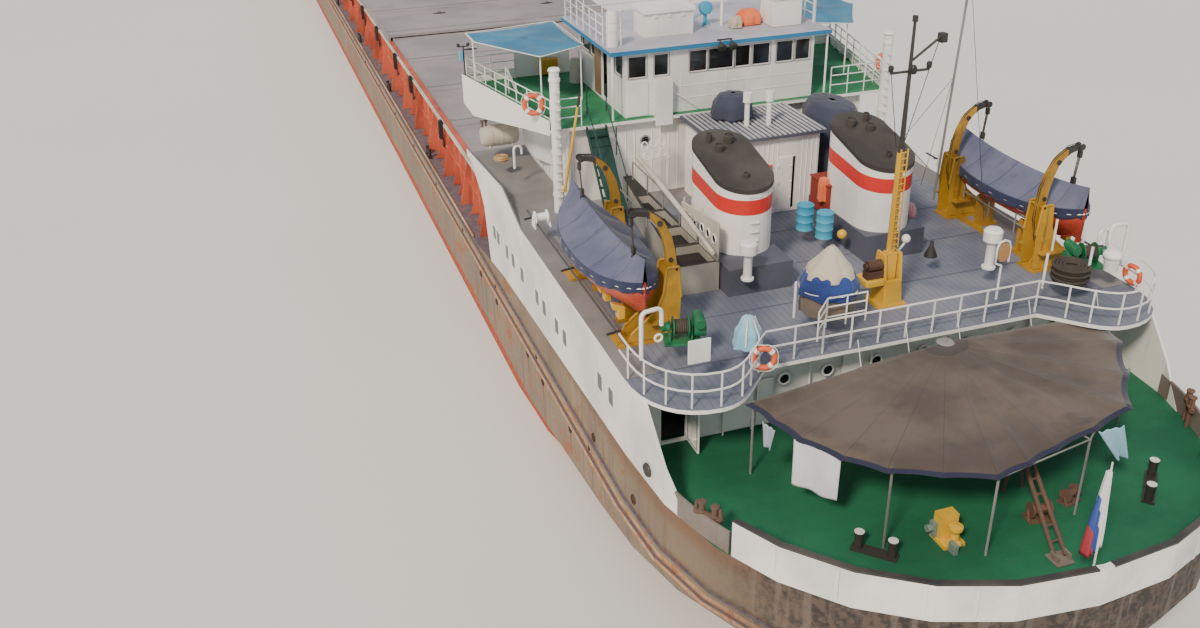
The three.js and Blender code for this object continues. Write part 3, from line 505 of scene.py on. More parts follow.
def deck_paint(name, base, worn, bare, seam=0.0, wear_amount=0.5, sides=None, pitch=0.0, white_from=None,
               strip_from=None):
    """Deck paint that wears to a paler tone. Its upright edges, or all above a height, may differ."""
    finish = Finish(name)
    clouds = finish.noise(3.2, 6)
    scuffs = finish.noise(26.0, 6, stretch=(1.4, 0.7, 1))
    grit = finish.noise(160.0, 2)
    tone = finish.mix(clouds.fade(0.36, 0.64), base, worn)
    bare_mask = scuffs.fade(0.66 - 0.1 * wear_amount, 0.8) * wear_amount
    tone = finish.mix(bare_mask, tone, bare)
    height = grit * 0.5 + bare_mask * -0.4
    if seam:
        line = 1 - finish.every(finish.x, seam).fade(0.0, 0.05)
        tone = finish.mix(line * 0.55, tone, "2b2c33")
        height = height - line * 0.8
    if pitch:
        plank = 1 - finish.every(finish.y, pitch).fade(0.0, 0.3)
        tone = finish.mix(plank * 0.3, tone, "3a3d4b")
        height = height - plank * 0.5
    if strip_from:
        strip = finish.mix(clouds.fade(0.4, 0.6), "8a8685", "7b7776")
        outer = abs(finish.y).fade(strip_from, strip_from + 0.002) * (finish.x > STERN + 0.94)
        outer = finish.math("MAXIMUM", outer, finish.x.fade(STERN + 1.98, STERN + 2.15))
        tone = finish.mix(outer, tone, strip)
    if sides:
        tone = finish.mix(finish.level(), sides, tone)
    if white_from:
        tone = finish.mix(finish.z > white_from, tone, "efece6")
    finish.paint(tone)
    finish.rough(0.72 + grit * 0.15)
    finish.bump(height, 0.4, 0.001)
    return finish.material


BOAT_DECK = deck_paint("boat_deck_paint", "646979", "80838e", "9d9b95", seam=0.25, sides="f0ede6",
                       pitch=0.022, strip_from=0.735)
BRIDGE_DECK = deck_paint("bridge_deck_paint", "1d6b43", "2f8255", "6f8f78", wear_amount=0.8, sides="f2efe8")
HATCH = deck_paint("hatch_cover_paint", "8d8588", "9c9394", "7d6f68", seam=0.62, wear_amount=0.35)
CASING_ROOF = deck_paint("casing_roof_paint", "464957", "5c5f6b", "a9a6a2", wear_amount=0.7,
                         white_from=1.2453)
print("deck finishes ready")

# %% [markdown]
# The hull is one CAD solid with several finishes: tan and rusty strakes under the deck edge, plating with the
# marks of the frames behind it, black paint round the stern, red lead below the load line, green paint on the
# after deck and grey on the side decks. Each zone is a mask on height and place, multiplied with the facing
# of the surface, so one material can dress the whole hull.

# %% Hull
HOLD_REACH = 0.745
HOLD_ENDS = (2.85, 12.75)
FRAME_PITCH = 0.062


def hull_finish():
    finish = Finish("hull_plating")
    clouds = finish.noise(2.6, 6)
    fine = finish.noise(48.0, 6, roughness=0.65)
    grain = finish.noise(170.0, 2)
    runs = finish.noise(1.0, 5, stretch=(30, 30, 1.6))
    level = finish.level()
    height = finish.z + (clouds - 0.5) * 0.03

    plating = finish.mix(clouds.fade(0.3, 0.7), "958069", "7d7264")
    frames = (1 - finish.every(finish.x, FRAME_PITCH).fade(0.0, 0.4)) * clouds.fade(0.3, 0.6)
    plating = finish.mix(frames * 0.14, plating, "b5a591")
    plating = finish.mix(runs.fade(0.5, 0.72) * 0.45, plating, "5a4638")
    plating = finish.mix(fine.fade(0.54, 0.66) * 0.45, plating, "8d5a3c")

    strake = finish.mix(fine.fade(0.35, 0.65), "c7a27c", "ad7a50")
    strake = finish.mix(runs.fade(0.55, 0.7) * 0.6, strake, "8f4626")
    patches = finish.noise(5.5, 8, stretch=(1, 1, 1.6), roughness=0.72)
    edge = finish.mix(clouds.fade(0.3, 0.7), "94826a", "7d6e5b")
    edge = finish.mix(fine.fade(0.5, 0.7) * 0.5, edge, "86603f")
    edge = finish.mix(runs.fade(0.5, 0.7) * 0.5, edge, "63483a")
    edge = finish.mix(finish.z.fade(0.62, 0.68) * 0.75, edge, "765238")
    edge = finish.mix(patches.fade(0.55, 0.62) * 0.75, edge, "9a5a32")
    plating = finish.mix(patches.fade(0.54, 0.61) * 0.8, plating, "a35c33")
    side = finish.mix(finish.z.fade(0.456, 0.466), plating, strake)
    side = finish.mix(finish.z.fade(0.515, 0.53), side, edge)

    stern_black = finish.mix(fine.fade(0.4, 0.6), "34302d", "5b4d44")
    stern_black = finish.mix(runs.fade(0.5, 0.62) * 0.45, stern_black, "7c7067")
    after = 1 - (finish.x + clouds * 0.3).fade(STERN + 0.35, STERN + 0.85)
    side = finish.mix(after * (0.65 + finish.z.fade(0.5, 0.54) * 0.35), side, stern_black)
    red_lead = finish.mix(fine.fade(0.4, 0.6), "9a3f28", "b5552f")
    side = finish.mix(1 - height.fade(0.236, 0.25), side, red_lead)

    side_deck = finish.mix(fine.fade(0.4, 0.6), "5d5762", "6f6668")
    side_deck = finish.mix(runs.fade(0.5, 0.7) * 0.5, side_deck, "8a4f3b")
    green = finish.mix(clouds.fade(0.35, 0.6), "0f5a3c", "1a6b48")
    green = finish.mix(fine.fade(0.62, 0.7) * 0.6, green, "3c4a3e")
    after_deck = (finish.z > AFT_DECK - 0.003) * (1 - finish.x.fade(STERN + 2.4, STERN + 2.5))
    decks = finish.mix(after_deck, side_deck, green)
    hold = finish.mix(clouds.fade(0.35, 0.6), "8a4232", "74372b")
    hold = finish.mix(runs.fade(0.52, 0.7) * 0.5, hold, "4f2c22")
    hold = finish.mix(level * 0.55, hold, "5c4a44")
    inside = (abs(finish.y) < HOLD_REACH) * finish.z.between(0.1, CARGO_DECK + 0.2)
    inside = inside * finish.x.between(STERN + HOLD_ENDS[0], STERN + HOLD_ENDS[1])
    finish.paint(finish.mix(inside, finish.mix(level, side, decks), hold))
    finish.rough(0.62 + fine * 0.25)
    finish.bump(grain * 0.3 + fine * 0.4 + finish.every(finish.x, FRAME_PITCH) * 0.7, 0.45, 0.0022)
    return finish.material


HULL = hull_finish()
print("hull finish ready")

# %% [markdown]
# The light is a studio's: a bright pale world that fills every shade, and one broad, warm sun from astern and
# to port, as in the photograph. The sun's large angle gives soft-edged shadows, so the deck gear reads
# without a hard pattern across the decks.

# %% Light
SUN_FROM = Vector((-0.62, 0.66, 0.80))


def make_light():
    world = bpy.data.worlds.new("studio")
    world.use_nodes = True
    background = world.node_tree.nodes["Background"]
    background.inputs["Color"].default_value = colour("dfe6ee")
    background.inputs["Strength"].default_value = 0.85
    bpy.context.scene.world = world
    data = bpy.data.lights.new("sun", "SUN")
    data.energy = 3.4
    data.angle = math.radians(9)
    data.color = colour("fff0dc")[:3]
    sun = bpy.data.objects.new("sun", data)
    sun.rotation_euler = SUN_FROM.to_track_quat("Z", "Y").to_euler()
    bpy.context.scene.collection.objects.link(sun)
    return sun


make_light()
FLOOR_FINISH = Finish("studio_floor", Roughness=0.9)
FLOOR_FINISH.paint(FLOOR_FINISH.mix(FLOOR_FINISH.noise(0.4, 2), "dddbd6", "e4e2de"))
wear(studio_floor, FLOOR_FINISH.material)
print("sun and world ready")

# %% [markdown]
# Every CAD piece now gets its finish. A table of finishes with the names of their pieces is shorter than one
# line for each piece, and shows at a glance what shares a paint. The bow, the screws, their nozzles and the
# rudder come later.

# %% The CAD pieces' finishes
FINISHES = {
    HULL: "hull", ENGINE: "main_engines", BULWARK: "stern_bulwark", BOAT_DECK: "poop_deck",
    BRIDGE_DECK: "bridge_deck", ROOF_PAINT: "wheelhouse_roof", BOOM_PAINT: "derrick_boom",
    CASING_ROOF: "casing_roof", SKYLIGHT: "skylight", MAST_PAINT: "mast", GALVANISED: "awning_frame",
    STAIR_GREEN: "stairs_port", WINCH_GREEN: "windlass", SALMON: "hatch_coaming boat_port boat_starboard",
    HATCH: "hatch_cover_1 hatch_cover_2 hatch_cover_3 hatch_cover_4",
    WHITE: "quarter_house upper_house wheelhouse kingpost_port kingpost_starboard engine_casing",
    WHITE_TRIM: "house_door poop_rail radar_scanner", FUNNEL: "funnel_port funnel_starboard",
    TRUNK: "trunk_port trunk_starboard boat_cover_port boat_cover_starboard aft_awning",
    CREAM: "skylight_lid_1 skylight_lid_2", OCHRE: "davit_bed_port davit_bed_starboard",
    YELLOW: "mast_tabernacle capstan_base capstan_drum foremast",
    ARM_PAINT: "davit_arm_port_aft davit_arm_port_fore davit_arm_starboard_aft davit_arm_starboard_fore",
    LIGHT_BLUE: "wing_awning_port wing_awning_starboard", BOLLARD: "bollards_port bollards_starboard",
    BLACK: "anchor_port anchor_starboard",
}
for finish, nodes in FINISHES.items():
    for node in nodes.split():
        wear(node, finish)
print("CAD finishes", len(FINISHES), "for", len(NODES), "nodes")

# %% [markdown]
# The fine gear is modelled with a handful of small tools. Each adds one simple form to a bmesh: a block, a
# round bar, a flat outline with a thickness, a turned profile, or a window frame. Several forms in one bmesh
# make one piece, so a whole row of stays or cleats is a single object. A piece rides on the body that carries
# it and wears one finish.

# %% Tools for pieces
SHARP = math.radians(40)


def add_block(bm, corner, other):
    """A box between two opposite corners."""
    low, high = (Vector([pick(pair) for pair in zip(corner, other)]) for pick in (min, max))
    made = bmesh.ops.create_cube(bm, size=1)["verts"]
    bmesh.ops.scale(bm, verts=made, vec=high - low)
    bmesh.ops.translate(bm, verts=made, vec=(low + high) / 2)


def add_rod(bm, start, end, radius, end_radius=None, sides=12):
    """A round bar between two points, or a cone where the ends differ."""
    start, end = Vector(start), Vector(end)
    along = end - start
    place = Matrix.Translation((start + end) / 2) @ along.to_track_quat("Z", "Y").to_matrix().to_4x4()
    other = radius if end_radius is None else end_radius
    bmesh.ops.create_cone(
        bm, cap_ends=True, segments=sides, radius1=radius, radius2=other, depth=along.length, matrix=place
    )


def add_ball(bm, centre, radius, squash=1.0):
    place = Matrix.Translation(centre) @ Matrix.Diagonal((1, 1, squash, 1))
    bmesh.ops.create_uvsphere(bm, u_segments=16, v_segments=10, radius=radius, matrix=place)


def thicken(bm, faces, push):
    """Extrudes some faces along a vector."""
    made = bmesh.ops.extrude_face_region(bm, geom=faces)["geom"]
    moved = [item for item in made if isinstance(item, bmesh.types.BMVert)]
    bmesh.ops.translate(bm, verts=moved, vec=push)


def add_plate(bm, corners, push):
    """A flat outline given a thickness."""
    thicken(bm, [bm.faces.new([bm.verts.new(corner) for corner in corners])], push)


def add_form(bm, form, place):
    """Puts a small finished form in its place and joins it to a piece's mesh."""
    bmesh.ops.transform(form, matrix=place, verts=form.verts)
    mesh = bpy.data.meshes.new("form")
    form.to_mesh(mesh)
    form.free()
    bm.from_mesh(mesh)
    bpy.data.meshes.remove(mesh)


def add_turned(bm, foot, profile, axis=UP, sides=20, stretch=(1, 1, 1)):
    """A profile of radii and heights, turned about an axis through its foot."""
    form = bmesh.new()
    verts = [form.verts.new((radius, 0, height)) for radius, height in profile]
    edges = [form.edges.new(pair) for pair in zip(verts, verts[1:])]
    bmesh.ops.spin(
        form, geom=verts + edges, cent=(0, 0, 0), axis=UP, angle=math.tau, steps=sides, use_merge=True
    )
    bmesh.ops.remove_doubles(form, verts=form.verts, dist=1e-6)
    aim = Vector(axis).to_track_quat("Z", "Y").to_matrix().to_4x4()
    add_form(bm, form, Matrix.Translation(foot) @ aim @ Matrix.Diagonal((*stretch, 1)))


def add_ring(bm, centre, axis, radius, thick, sides=28, section=10):
    """A torus: a small circle spun about an axis through the centre."""
    turn = math.tau / section
    profile = [(radius + thick * math.cos(step * turn), thick * math.sin(step * turn))
               for step in range(section + 1)]
    add_turned(bm, centre, profile, axis, sides)


def add_band(bm, centre, inner, outer, half, axis=UP, sides=20):
    """A flat hoop round a pipe or a drum."""
    profile = [(inner, -half), (outer, -half), (outer, half), (inner, half)]
    add_turned(bm, centre, profile, axis, sides)


def upright(centre, across, up):
    """The place of a flat form whose own x runs across, whose y runs up and whose z stands out."""
    across, up = Vector(across).normalized(), Vector(up).normalized()
    turn = Matrix((across, up, across.cross(up))).transposed().to_4x4()
    return Matrix.Translation(centre) @ turn


def flat_form(size):
    """A new bmesh with one rectangle round its origin, and that face."""
    form = bmesh.new()
    corners = [(a * size[0] / 2, b * size[1] / 2, 0) for a, b in ((-1, -1), (1, -1), (1, 1), (-1, 1))]
    return form, form.faces.new([form.verts.new(corner) for corner in corners])


def add_pane(bm, centre, across, up, size, depth, corner=0.3):
    """A flat plate with rounded corners, standing out from a wall by its depth."""
    form, face = flat_form(size)
    if corner:
        bmesh.ops.bevel(
            form, geom=list(face.verts), offset=corner * min(size) / 2, offset_type="OFFSET",
            affect="VERTICES", segments=3, profile=0.5, material=-1,
        )
    thicken(form, list(form.faces), over(depth))
    add_form(bm, form, upright(centre, across, up))


def add_frame(bm, centre, across, up, size, band, depth):
    """An open rectangular frame: a plate's outline, inset, with its middle taken out."""
    form, face = flat_form(size)
    bmesh.ops.inset_region(form, faces=[face], thickness=band, use_boundary=True, use_even_offset=True)
    bmesh.ops.delete(form, geom=[face], context="FACES_ONLY")
    thicken(form, list(form.faces), over(depth))
    add_form(bm, form, upright(centre, across, up))


def settle(made, material, body):
    """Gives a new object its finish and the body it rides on."""
    wear(made, material)
    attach(made, body)
    return made


def piece(name, bm, material, body="ship", bevel=0.0):
    """The finished piece: outward faces, smooth rounds with sharp edges, a finish and a body."""
    bmesh.ops.recalc_face_normals(bm, faces=bm.faces)
    made = object_from(bm, name)
    made.data.shade_smooth()
    made.data.set_sharp_from_angle(angle=SHARP)
    if bevel:
        edges = made.modifiers.new("edges", "BEVEL")
        edges.width = bevel
        edges.segments = 2
        edges.limit_method = "ANGLE"
    return settle(made, material, body)


def pipes(name, routes, radius, material, body="ship"):
    """Round bars along routes of points, as one curve."""
    data = bpy.data.curves.new(name, "CURVE")
    data.dimensions = "3D"
    data.bevel_depth = radius
    data.bevel_resolution = 1
    data.use_fill_caps = True
    for route in routes:
        spline = data.splines.new("POLY")
        spline.points.add(len(route) - 1)
        for point, place in zip(spline.points, route):
            point.co = (*place, 1)
    made = bpy.data.objects.new(name, data)
    bpy.context.scene.collection.objects.link(made)
    return settle(made, material, body)


BEND_STEPS = 4


def bent(points, radius):
    """A route with its corners rounded off."""
    points = [Vector(point) for point in points]
    route = [points[0]]
    for before, corner, after in zip(points, points[1:], points[2:]):
        entry = corner + (before - corner).normalized() * radius
        leave = corner + (after - corner).normalized() * radius
        for step in range(BEND_STEPS + 1):
            share = step / BEND_STEPS
            route.append(entry.lerp(corner, share).lerp(corner.lerp(leave, share), share))
    return [*route, points[-1]]


def railing(foot_points, height, bars, spacing):
    """Routes of a rail: posts at even steps along the foot line, and bars at shares of the height."""
    points = [Vector(point) for point in foot_points]
    routes = [[point + over(height * share) for point in points] for share in bars]
    for start, end in zip(points, points[1:]):
        steps = max(1, round((end - start).length / spacing))
        for step in range(steps):
            foot = start.lerp(end, step / steps)
            routes.append([foot, foot + over(height)])
    routes.append([points[-1], points[-1] + over(height)])
    return routes


def both(function, name, *args, **settings):
    """Makes a piece for port and one for starboard. The function takes the sign of y."""
    return [function(f"{name}_{side}", sign, *args, **settings) for side, sign in SIDES]


print("piece tools ready")

# %% [markdown]
# The cargo deck's edge. The coaming's wall is stiffened by a stay every 1.3 m on the real ship, a flat bar
# half way up and a pale rounded rim, with black wheels that carry the covers when they are rolled. The CAD
# holds every third stay, because those carry load. The rest are thin brackets, made here by one loop for each
# side.

# %% Coaming
COAMING_X = (2.862, 12.738)
STAY_PITCH = 0.132
STAY_FIRST = 2.923
STAY_OUTLINE = [(0.7405, 0.552), (0.778, 0.552), (0.762, 0.60), (0.751, 0.755), (0.7405, 0.755)]
LEDGE_Y = (0.7408, 0.7535)
LEDGE_LENGTH = 0.122
WHEEL_RADIUS = 0.0125
WHEELS = [3.85, 4.70, 5.23, 5.96, 6.62, 7.28, 7.94, 8.60, 9.26, 9.92, 10.58, 11.24, 11.90]


def coaming_stays(name, side):
    bm = bmesh.new()
    count = int((COAMING_X[1] - STAY_FIRST) / STAY_PITCH)
    for number in range(count):
        x = STAY_FIRST + STAY_PITCH * number
        if number % 3:
            add_plate(bm, [at(x - 0.002, side * y, z) for y, z in STAY_OUTLINE], (0.004, 0, 0))
    near, far = (side * y for y in LEDGE_Y)
    for x in range(int(COAMING_X[0] * 100), int(COAMING_X[1] * 100) - 10, 13):
        start = x / 100
        add_block(bm, at(start, near, 0.662), at(min(start + LEDGE_LENGTH, COAMING_X[1]), far, 0.667))
    return piece(name, bm, SALMON)


def coaming_rim(name, side):
    bm = bmesh.new()
    add_block(bm, at(COAMING_X[0], side * 0.7405, 0.7645), at(COAMING_X[1], side * 0.757, 0.7748))
    return piece(name, bm, CREAM, bevel=0.003)


def coaming_wheels(name, side):
    bm = bmesh.new()
    for x in WHEELS:
        centre = at(x, side * 0.766, 0.784)
        add_rod(bm, centre - Vector((0.011, 0, 0)), centre + Vector((0.011, 0, 0)), WHEEL_RADIUS, sides=14)
        for along in (-0.016, 0.0125):
            add_block(bm, at(x + along, side * 0.7575, 0.70), at(x + along + 0.0035, side * 0.776, 0.79))
        add_block(bm, at(x - 0.016, side * 0.7575, 0.66), at(x + 0.016, side * 0.763, 0.70))
    return piece(name, bm, BLACK)


both(coaming_stays, "coaming_stays")
both(coaming_rim, "coaming_rim")
both(coaming_wheels, "coaming_wheels")
print("coaming with", 2 * len(WHEELS), "wheels")

# %% [markdown]
# The side deck outside the coaming is a narrow path. It has pairs of bollards at the ship's edge, an upstand
# along the edge that keeps water off the side, and round scuppers under it. A bollard is a turned profile
# with a wider cap.

# %% Side decks
BOLLARD_X = [4.04, 5.33, 6.62, 7.91, 9.20, 10.49, 11.78]
BOLLARD_PROFILE = [(0, 0), (0.0085, 0), (0.0085, 0.036), (0.0105, 0.038), (0.0105, 0.043), (0, 0.045)]
BOLLARD_Y = 0.808
SCUPPER_X = [1.3 + 0.62 * number for number in range(19)]
SCUPPER_PROFILE = [(0, 0.0015), (0.0075, 0.0015), (0.0085, 0.003), (0.0105, 0.003), (0.0105, 0)]


def side_bollards(name, side):
    bm = bmesh.new()
    for x in BOLLARD_X:
        y = side * BOLLARD_Y
        add_block(bm, at(x - 0.05, y - 0.011, 0.5502), at(x + 0.05, y + 0.011, 0.554))
        for shift in (-0.03, 0.03):
            add_turned(bm, at(x + shift, y, 0.554), BOLLARD_PROFILE, sides=12)
    return piece(name, bm, BLACK)


def deck_edge(name, side):
    bm = bmesh.new()
    add_block(bm, at(2.93, side * 0.8195, 0.5503), at(12.9, side * 0.8285, 0.5585))
    return piece(name, bm, GUNWALE, bevel=0.003)


def scuppers(name, side):
    bm = bmesh.new()
    for x in SCUPPER_X:
        add_turned(bm, at(x, side * 0.8245, 0.496), SCUPPER_PROFILE, axis=(0, side, 0), sides=14)
    return piece(name, bm, RUSTED_RIM_AND_HOLE_SHADE)


GUNWALE = painted("gunwale_paint", Coat("c3a584", "a57c5c", rust=0.6, runs=0.4, run_colour="8a4a30"),
                  roughness=0.7)
# Dark rusty steel for the rims of the holes in the side; over each hole's middle the same dark paint is
# painted shade for its depth
RUSTED_RIM_AND_HOLE_SHADE = painted("scupper_rust_and_hole_shade", Coat("33261f", "4c2f22", rust=0.8, runs=0.2), roughness=0.8)
both(side_bollards, "side_bollards")
both(deck_edge, "deck_edge")
both(scuppers, "scuppers")
print("side decks with", 2 * len(BOLLARD_X), "pairs of bollards")

# %% [markdown]
# The hatch covers. Each real cover is a stiffened steel lid with four sunken lifting points, dark with old
# grease, and cleats along its sides that hold it down. A lifting point is a shallow dark dish with a ring in
# it. These ride on the cover that they belong to, so they slide with it, and on the low covers the rings lie
# flat to pass under.

# %% Hatch covers
LOW_COVERS = ("hatch_cover_1", "hatch_cover_4")
HIGH_COVERS = ("hatch_cover_2", "hatch_cover_3")
EYE_Y = 0.375
EYE_PROFILE = [(0, 0.0006), (0.026, 0.0006), (0.03, 0.0022), (0.034, 0.0022), (0.036, 0)]
SEAM_PITCH = 0.62


def lifting_points(node):
    low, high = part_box(node)
    bm = bmesh.new()
    length = high.x - low.x
    for share in (0.19, 0.81):
        for y in (EYE_Y - 0.055, -EYE_Y - 0.055):
            x = low.x + length * share
            spot = Vector((x, y, high.z + 0.0003))
            add_turned(bm, spot, EYE_PROFILE, stretch=(0.55, 1.25, 1))
            lift, axis = (0.004, UP) if node in LOW_COVERS else (0.006, (1, 0, 0.3))
            add_ring(bm, spot + over(lift), axis, 0.009, 0.0016, sides=16, section=6)
    return piece(f"{node}_lifting_points", bm, GREASE, body=node)


def cover_battens(node):
    """Raised flat bars across the cover over its seams, and a bar round its edge."""
    low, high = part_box(node)
    bm = bmesh.new()
    seams = max(1, round((high.x - low.x) / SEAM_PITCH))
    for number in range(1, seams):
        x = low.x + (high.x - low.x) * number / seams
        add_block(bm, (x - 0.006, low.y + 0.006, high.z + 0.0002),
                  (x + 0.006, high.y - 0.006, high.z + 0.0022))
    for y in (low.y + 0.002, high.y - 0.010):
        add_block(bm, (low.x + 0.002, y, high.z + 0.0002), (high.x - 0.002, y + 0.008, high.z + 0.0034))
    return piece(f"{node}_battens", bm, HATCH, body=node)


GREASE = painted("lifting_point_grease", Coat("2f2725", "44352f", rust=0.5, runs=0.0), roughness=0.6)
for node in LOW_COVERS + HIGH_COVERS:
    lifting_points(node)
    cover_battens(node)
print("covers with", 4 * len(LOW_COVERS + HIGH_COVERS), "lifting points")

# %% [markdown]
# The white side plating. Its windows are small, with dark glass and a thin white frame, and stand in pairs.
# On a flat wall a window reads well as two plates: the frame, and the glass standing a little further out.
# The plating also carries the round fairlead near the stern, which is a turned ring round a black dish.

# %% Side windows
GLASS = Finish("dark_glass", Roughness=0.08, Metallic=0.0)
GLASS.paint(GLASS.mix(GLASS.noise(6.0, 2), "15191c", "2a3034"))
SIDE_Y = 0.8252
WINDOW_PLACES = [(2.48, 0.757), (2.42, 0.757), (2.28, 0.757), (2.19, 0.76), (2.06, 0.76), (1.86, 0.763),
                 (1.77, 0.765), (1.62, 0.77), (1.53, 0.772), (1.17, 0.812), (1.07, 0.818)]
FAIRLEAD = (0.80, 0.8165, 0.742)


def side_windows(name, side):
    frames, panes = bmesh.new(), bmesh.new()
    for x, z in WINDOW_PLACES:
        add_pane(frames, at(x, side * SIDE_Y, z), (-side, 0, 0), UP, (0.046, 0.062), 0.0018)
        add_pane(panes, at(x, side * (SIDE_Y + 0.0005), z), (-side, 0, 0), UP, (0.036, 0.052), 0.0022)
    piece(f"{name}_frames", frames, WHITE_TRIM)
    return piece(name, panes, GLASS.material)


def side_fairlead(name, side):
    bm = bmesh.new()
    x, y, z = FAIRLEAD
    profile = [(0, 0.0022), (0.013, 0.0022), (0.015, 0.005), (0.019, 0.005), (0.021, 0.0)]
    add_turned(bm, at(x, side * y, z), profile, axis=(-0.12, side, 0))
    return piece(name, bm, BLACK)


both(side_windows, "side_windows")
both(side_fairlead, "side_fairlead")
print("side windows", 2 * len(WINDOW_PLACES))

# %% [markdown]
# Cloth on a ship is canvas, laced to pipes and ropes. A finish for canvas needs cloudy fading, a fine grain,
# creases and sewn seams. The seams and the coloured hems follow the cloth and not the ship, so each sheet
# carries two numbers on its vertices: "reach", which is 1 at the outer edge, and "seam", which is 0 on a
# seam. The shader reads both.

# %% Canvas
CANVAS_THICK = 0.0012


def canvas(name, base, faded, dirt, hem=None, hem_from=0.965, seam_width=0.05):
    """Woven cloth with seams where the seam number is 0, and a hem where the reach number is near 1."""
    finish = Finish(name, Sheen_Weight=0.15)
    clouds = finish.noise(5.0, 5)
    grain = finish.noise(260.0, 2)
    creases = finish.noise(11.0, 5, stretch=(1.5, 0.7, 1.2), roughness=0.6)
    reach, seam = finish.attribute("reach"), finish.attribute("seam")
    stitched = 1 - seam.fade(0.0, seam_width)
    tone = finish.mix(clouds.fade(0.36, 0.64), base, faded)
    tone = finish.mix(creases.fade(0.55, 0.78) * 0.45, tone, dirt)
    tone = finish.mix(stitched * 0.5, tone, dirt)
    if hem:
        tone = finish.mix(reach.fade(hem_from, hem_from + 0.006), tone, hem)
    finish.paint(tone)
    finish.rough(0.78 + grain * 0.15)
    finish.bump(creases * 1.2 + grain * 0.2 - stitched * 0.5, 0.5, 0.003)
    return finish.material


AWNING_CLOTH = canvas("awning_canvas", "4c413a", "64564c", "2b2728", hem="20233c")
WING_CLOTH = canvas("wing_canvas", "226a90", "2f7fa2", "174d6c", hem="dfe9ec", hem_from=0.975,
                    seam_width=0.02)
SHEET_CLOTH = canvas("white_linen", "e9e9ec", "d6d8de", "a9abb6")
BLUE_CLOTH = canvas("light_blue_cloth", "7fb6cc", "a4ccd8", "54889f")
BLUE_TARP = canvas("blue_tarpaulin", "1c2f6b", "2a4688", "121b3c")
TAN_TARP = canvas("tan_tarpaulin", "b9a994", "cbbca8", "86765f")
DARK_TARP = canvas("dark_tarpaulin", "2d3040", "3b4053", "1b1c26")
print(len(bpy.data.materials), "materials")

# %% [markdown]
# A sheet is made in one of three ways: stretched as a fan of panels, hung from a line, or draped over
# something round. Each starts as a flat grid or a triangle that is cut finer and then moved by a formula. A
# Solidify modifier gives the cloth its thickness.

# %% Sheets of cloth


def sheet(name, bm, material, body="ship",
          replaced=None):
    """A sheet of cloth with a little thickness."""
    made = object_from(bm, name)
    made.data.shade_smooth()
    solid = made.modifiers.new("cloth", "SOLIDIFY")
    solid.thickness = CANVAS_THICK
    solid.offset = 0
    settle(made, material, body)
    if replaced:
        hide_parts(replaced)
    return made


def cloth_mesh():
    """A new mesh and the two numbers that its vertices carry for the canvas."""
    bm = bmesh.new()
    return bm, bm.verts.layers.float.new("reach"), bm.verts.layers.float.new("seam")


def close_up(bm):
    """Merges points that meet, and turns the faces outward."""
    bmesh.ops.remove_doubles(bm, verts=bm.verts, dist=1e-5)
    bmesh.ops.recalc_face_normals(bm, faces=bm.faces)


def fan(hub, rim, sag, pull=0.0, cuts=7):
    """Cloth panels between a hub and each side of a rim. Each sags between its ribs, its edge drawn in."""
    bm, reach, seam = cloth_mesh()
    for start, end in zip(rim, rim[1:] + rim[:1]):
        known = len(bm.verts)
        face = bm.faces.new([bm.verts.new(point) for point in (hub, start, end)])
        bmesh.ops.subdivide_edges(bm, edges=list(face.edges), cuts=cuts, use_grid_fill=True)
        bm.verts.ensure_lookup_table()
        for vert in bm.verts[known:]:
            share = poly_3d_calc((hub, start, end), vert.co)
            between = 4 * share[1] * share[2]
            out = 1 - share[0]
            vert[reach] = out
            vert[seam] = between / max(out * out, 1e-4)
            vert.co += (hub - vert.co) * (pull * between)
            vert.co.z -= sag * between * (4 * share[0] + 0.35)
    close_up(bm)
    return bm


def hanging(top_start, top_end, drop, ripple, folds, gather=0.0, steps=(26, 20), slant=0.0):
    """A cloth that hangs from a line between two points. Its folds grow towards the lower edge."""
    bm, reach, seam = cloth_mesh()
    bmesh.ops.create_grid(bm, x_segments=steps[0], y_segments=steps[1], size=0.5)
    line = top_end - top_start
    out = line.cross(UP).normalized()
    for vert in bm.verts:
        across, down = vert.co.x + 0.5, 0.5 - vert.co.y
        narrow = 1 - gather * down
        wave = math.sin(across * math.tau * folds + 0.8 * down) * (0.25 + 0.75 * down)
        shifted = 0.5 + (across - 0.5) * narrow + slant * down
        vert.co = top_start + line * shifted + out * (ripple * wave)
        vert.co.z -= drop * down + 0.004 * (1 - down) * (1 - math.cos(across * math.tau * 3)) / 2
        vert[reach] = down
        vert[seam] = 1.0
    return bm


print("canvas ready")

# %% [markdown]
# The after deck's awning is one big sheet. Its panels fan out from a ring at the boat deck's edge to the
# posts along the stern. A flat sheet would look like card, so each panel sags between its ribs. Starting from
# one triangle for each panel keeps the ribs straight, and subdividing gives it points enough to hang.

# %% Aft awning
AWNING_HUB = at(0.812, -0.09, 0.953)
AWNING_EDGE = 0.9335
AWNING_RIM = [
    (0.735, 0.570), (0.635, 0.546), (0.535, 0.520), (0.425, 0.460), (0.340, 0.385), (0.278, 0.268),
    (0.225, 0.150), (0.247, 0.045), (0.280, -0.060), (0.318, -0.210), (0.370, -0.360), (0.510, -0.468),
    (0.665, -0.580), (0.825, -0.630), (0.835, -0.400), (0.840, -0.160), (0.820, 0.020), (0.800, 0.185),
    (0.768, 0.370),
]
rim = [at(x, y, AWNING_EDGE) for x, y in AWNING_RIM]
sheet(
    "aft_awning_cloth", fan(AWNING_HUB, rim, sag=0.011, pull=0.018), AWNING_CLOTH,
    replaced="aft_awning",
)


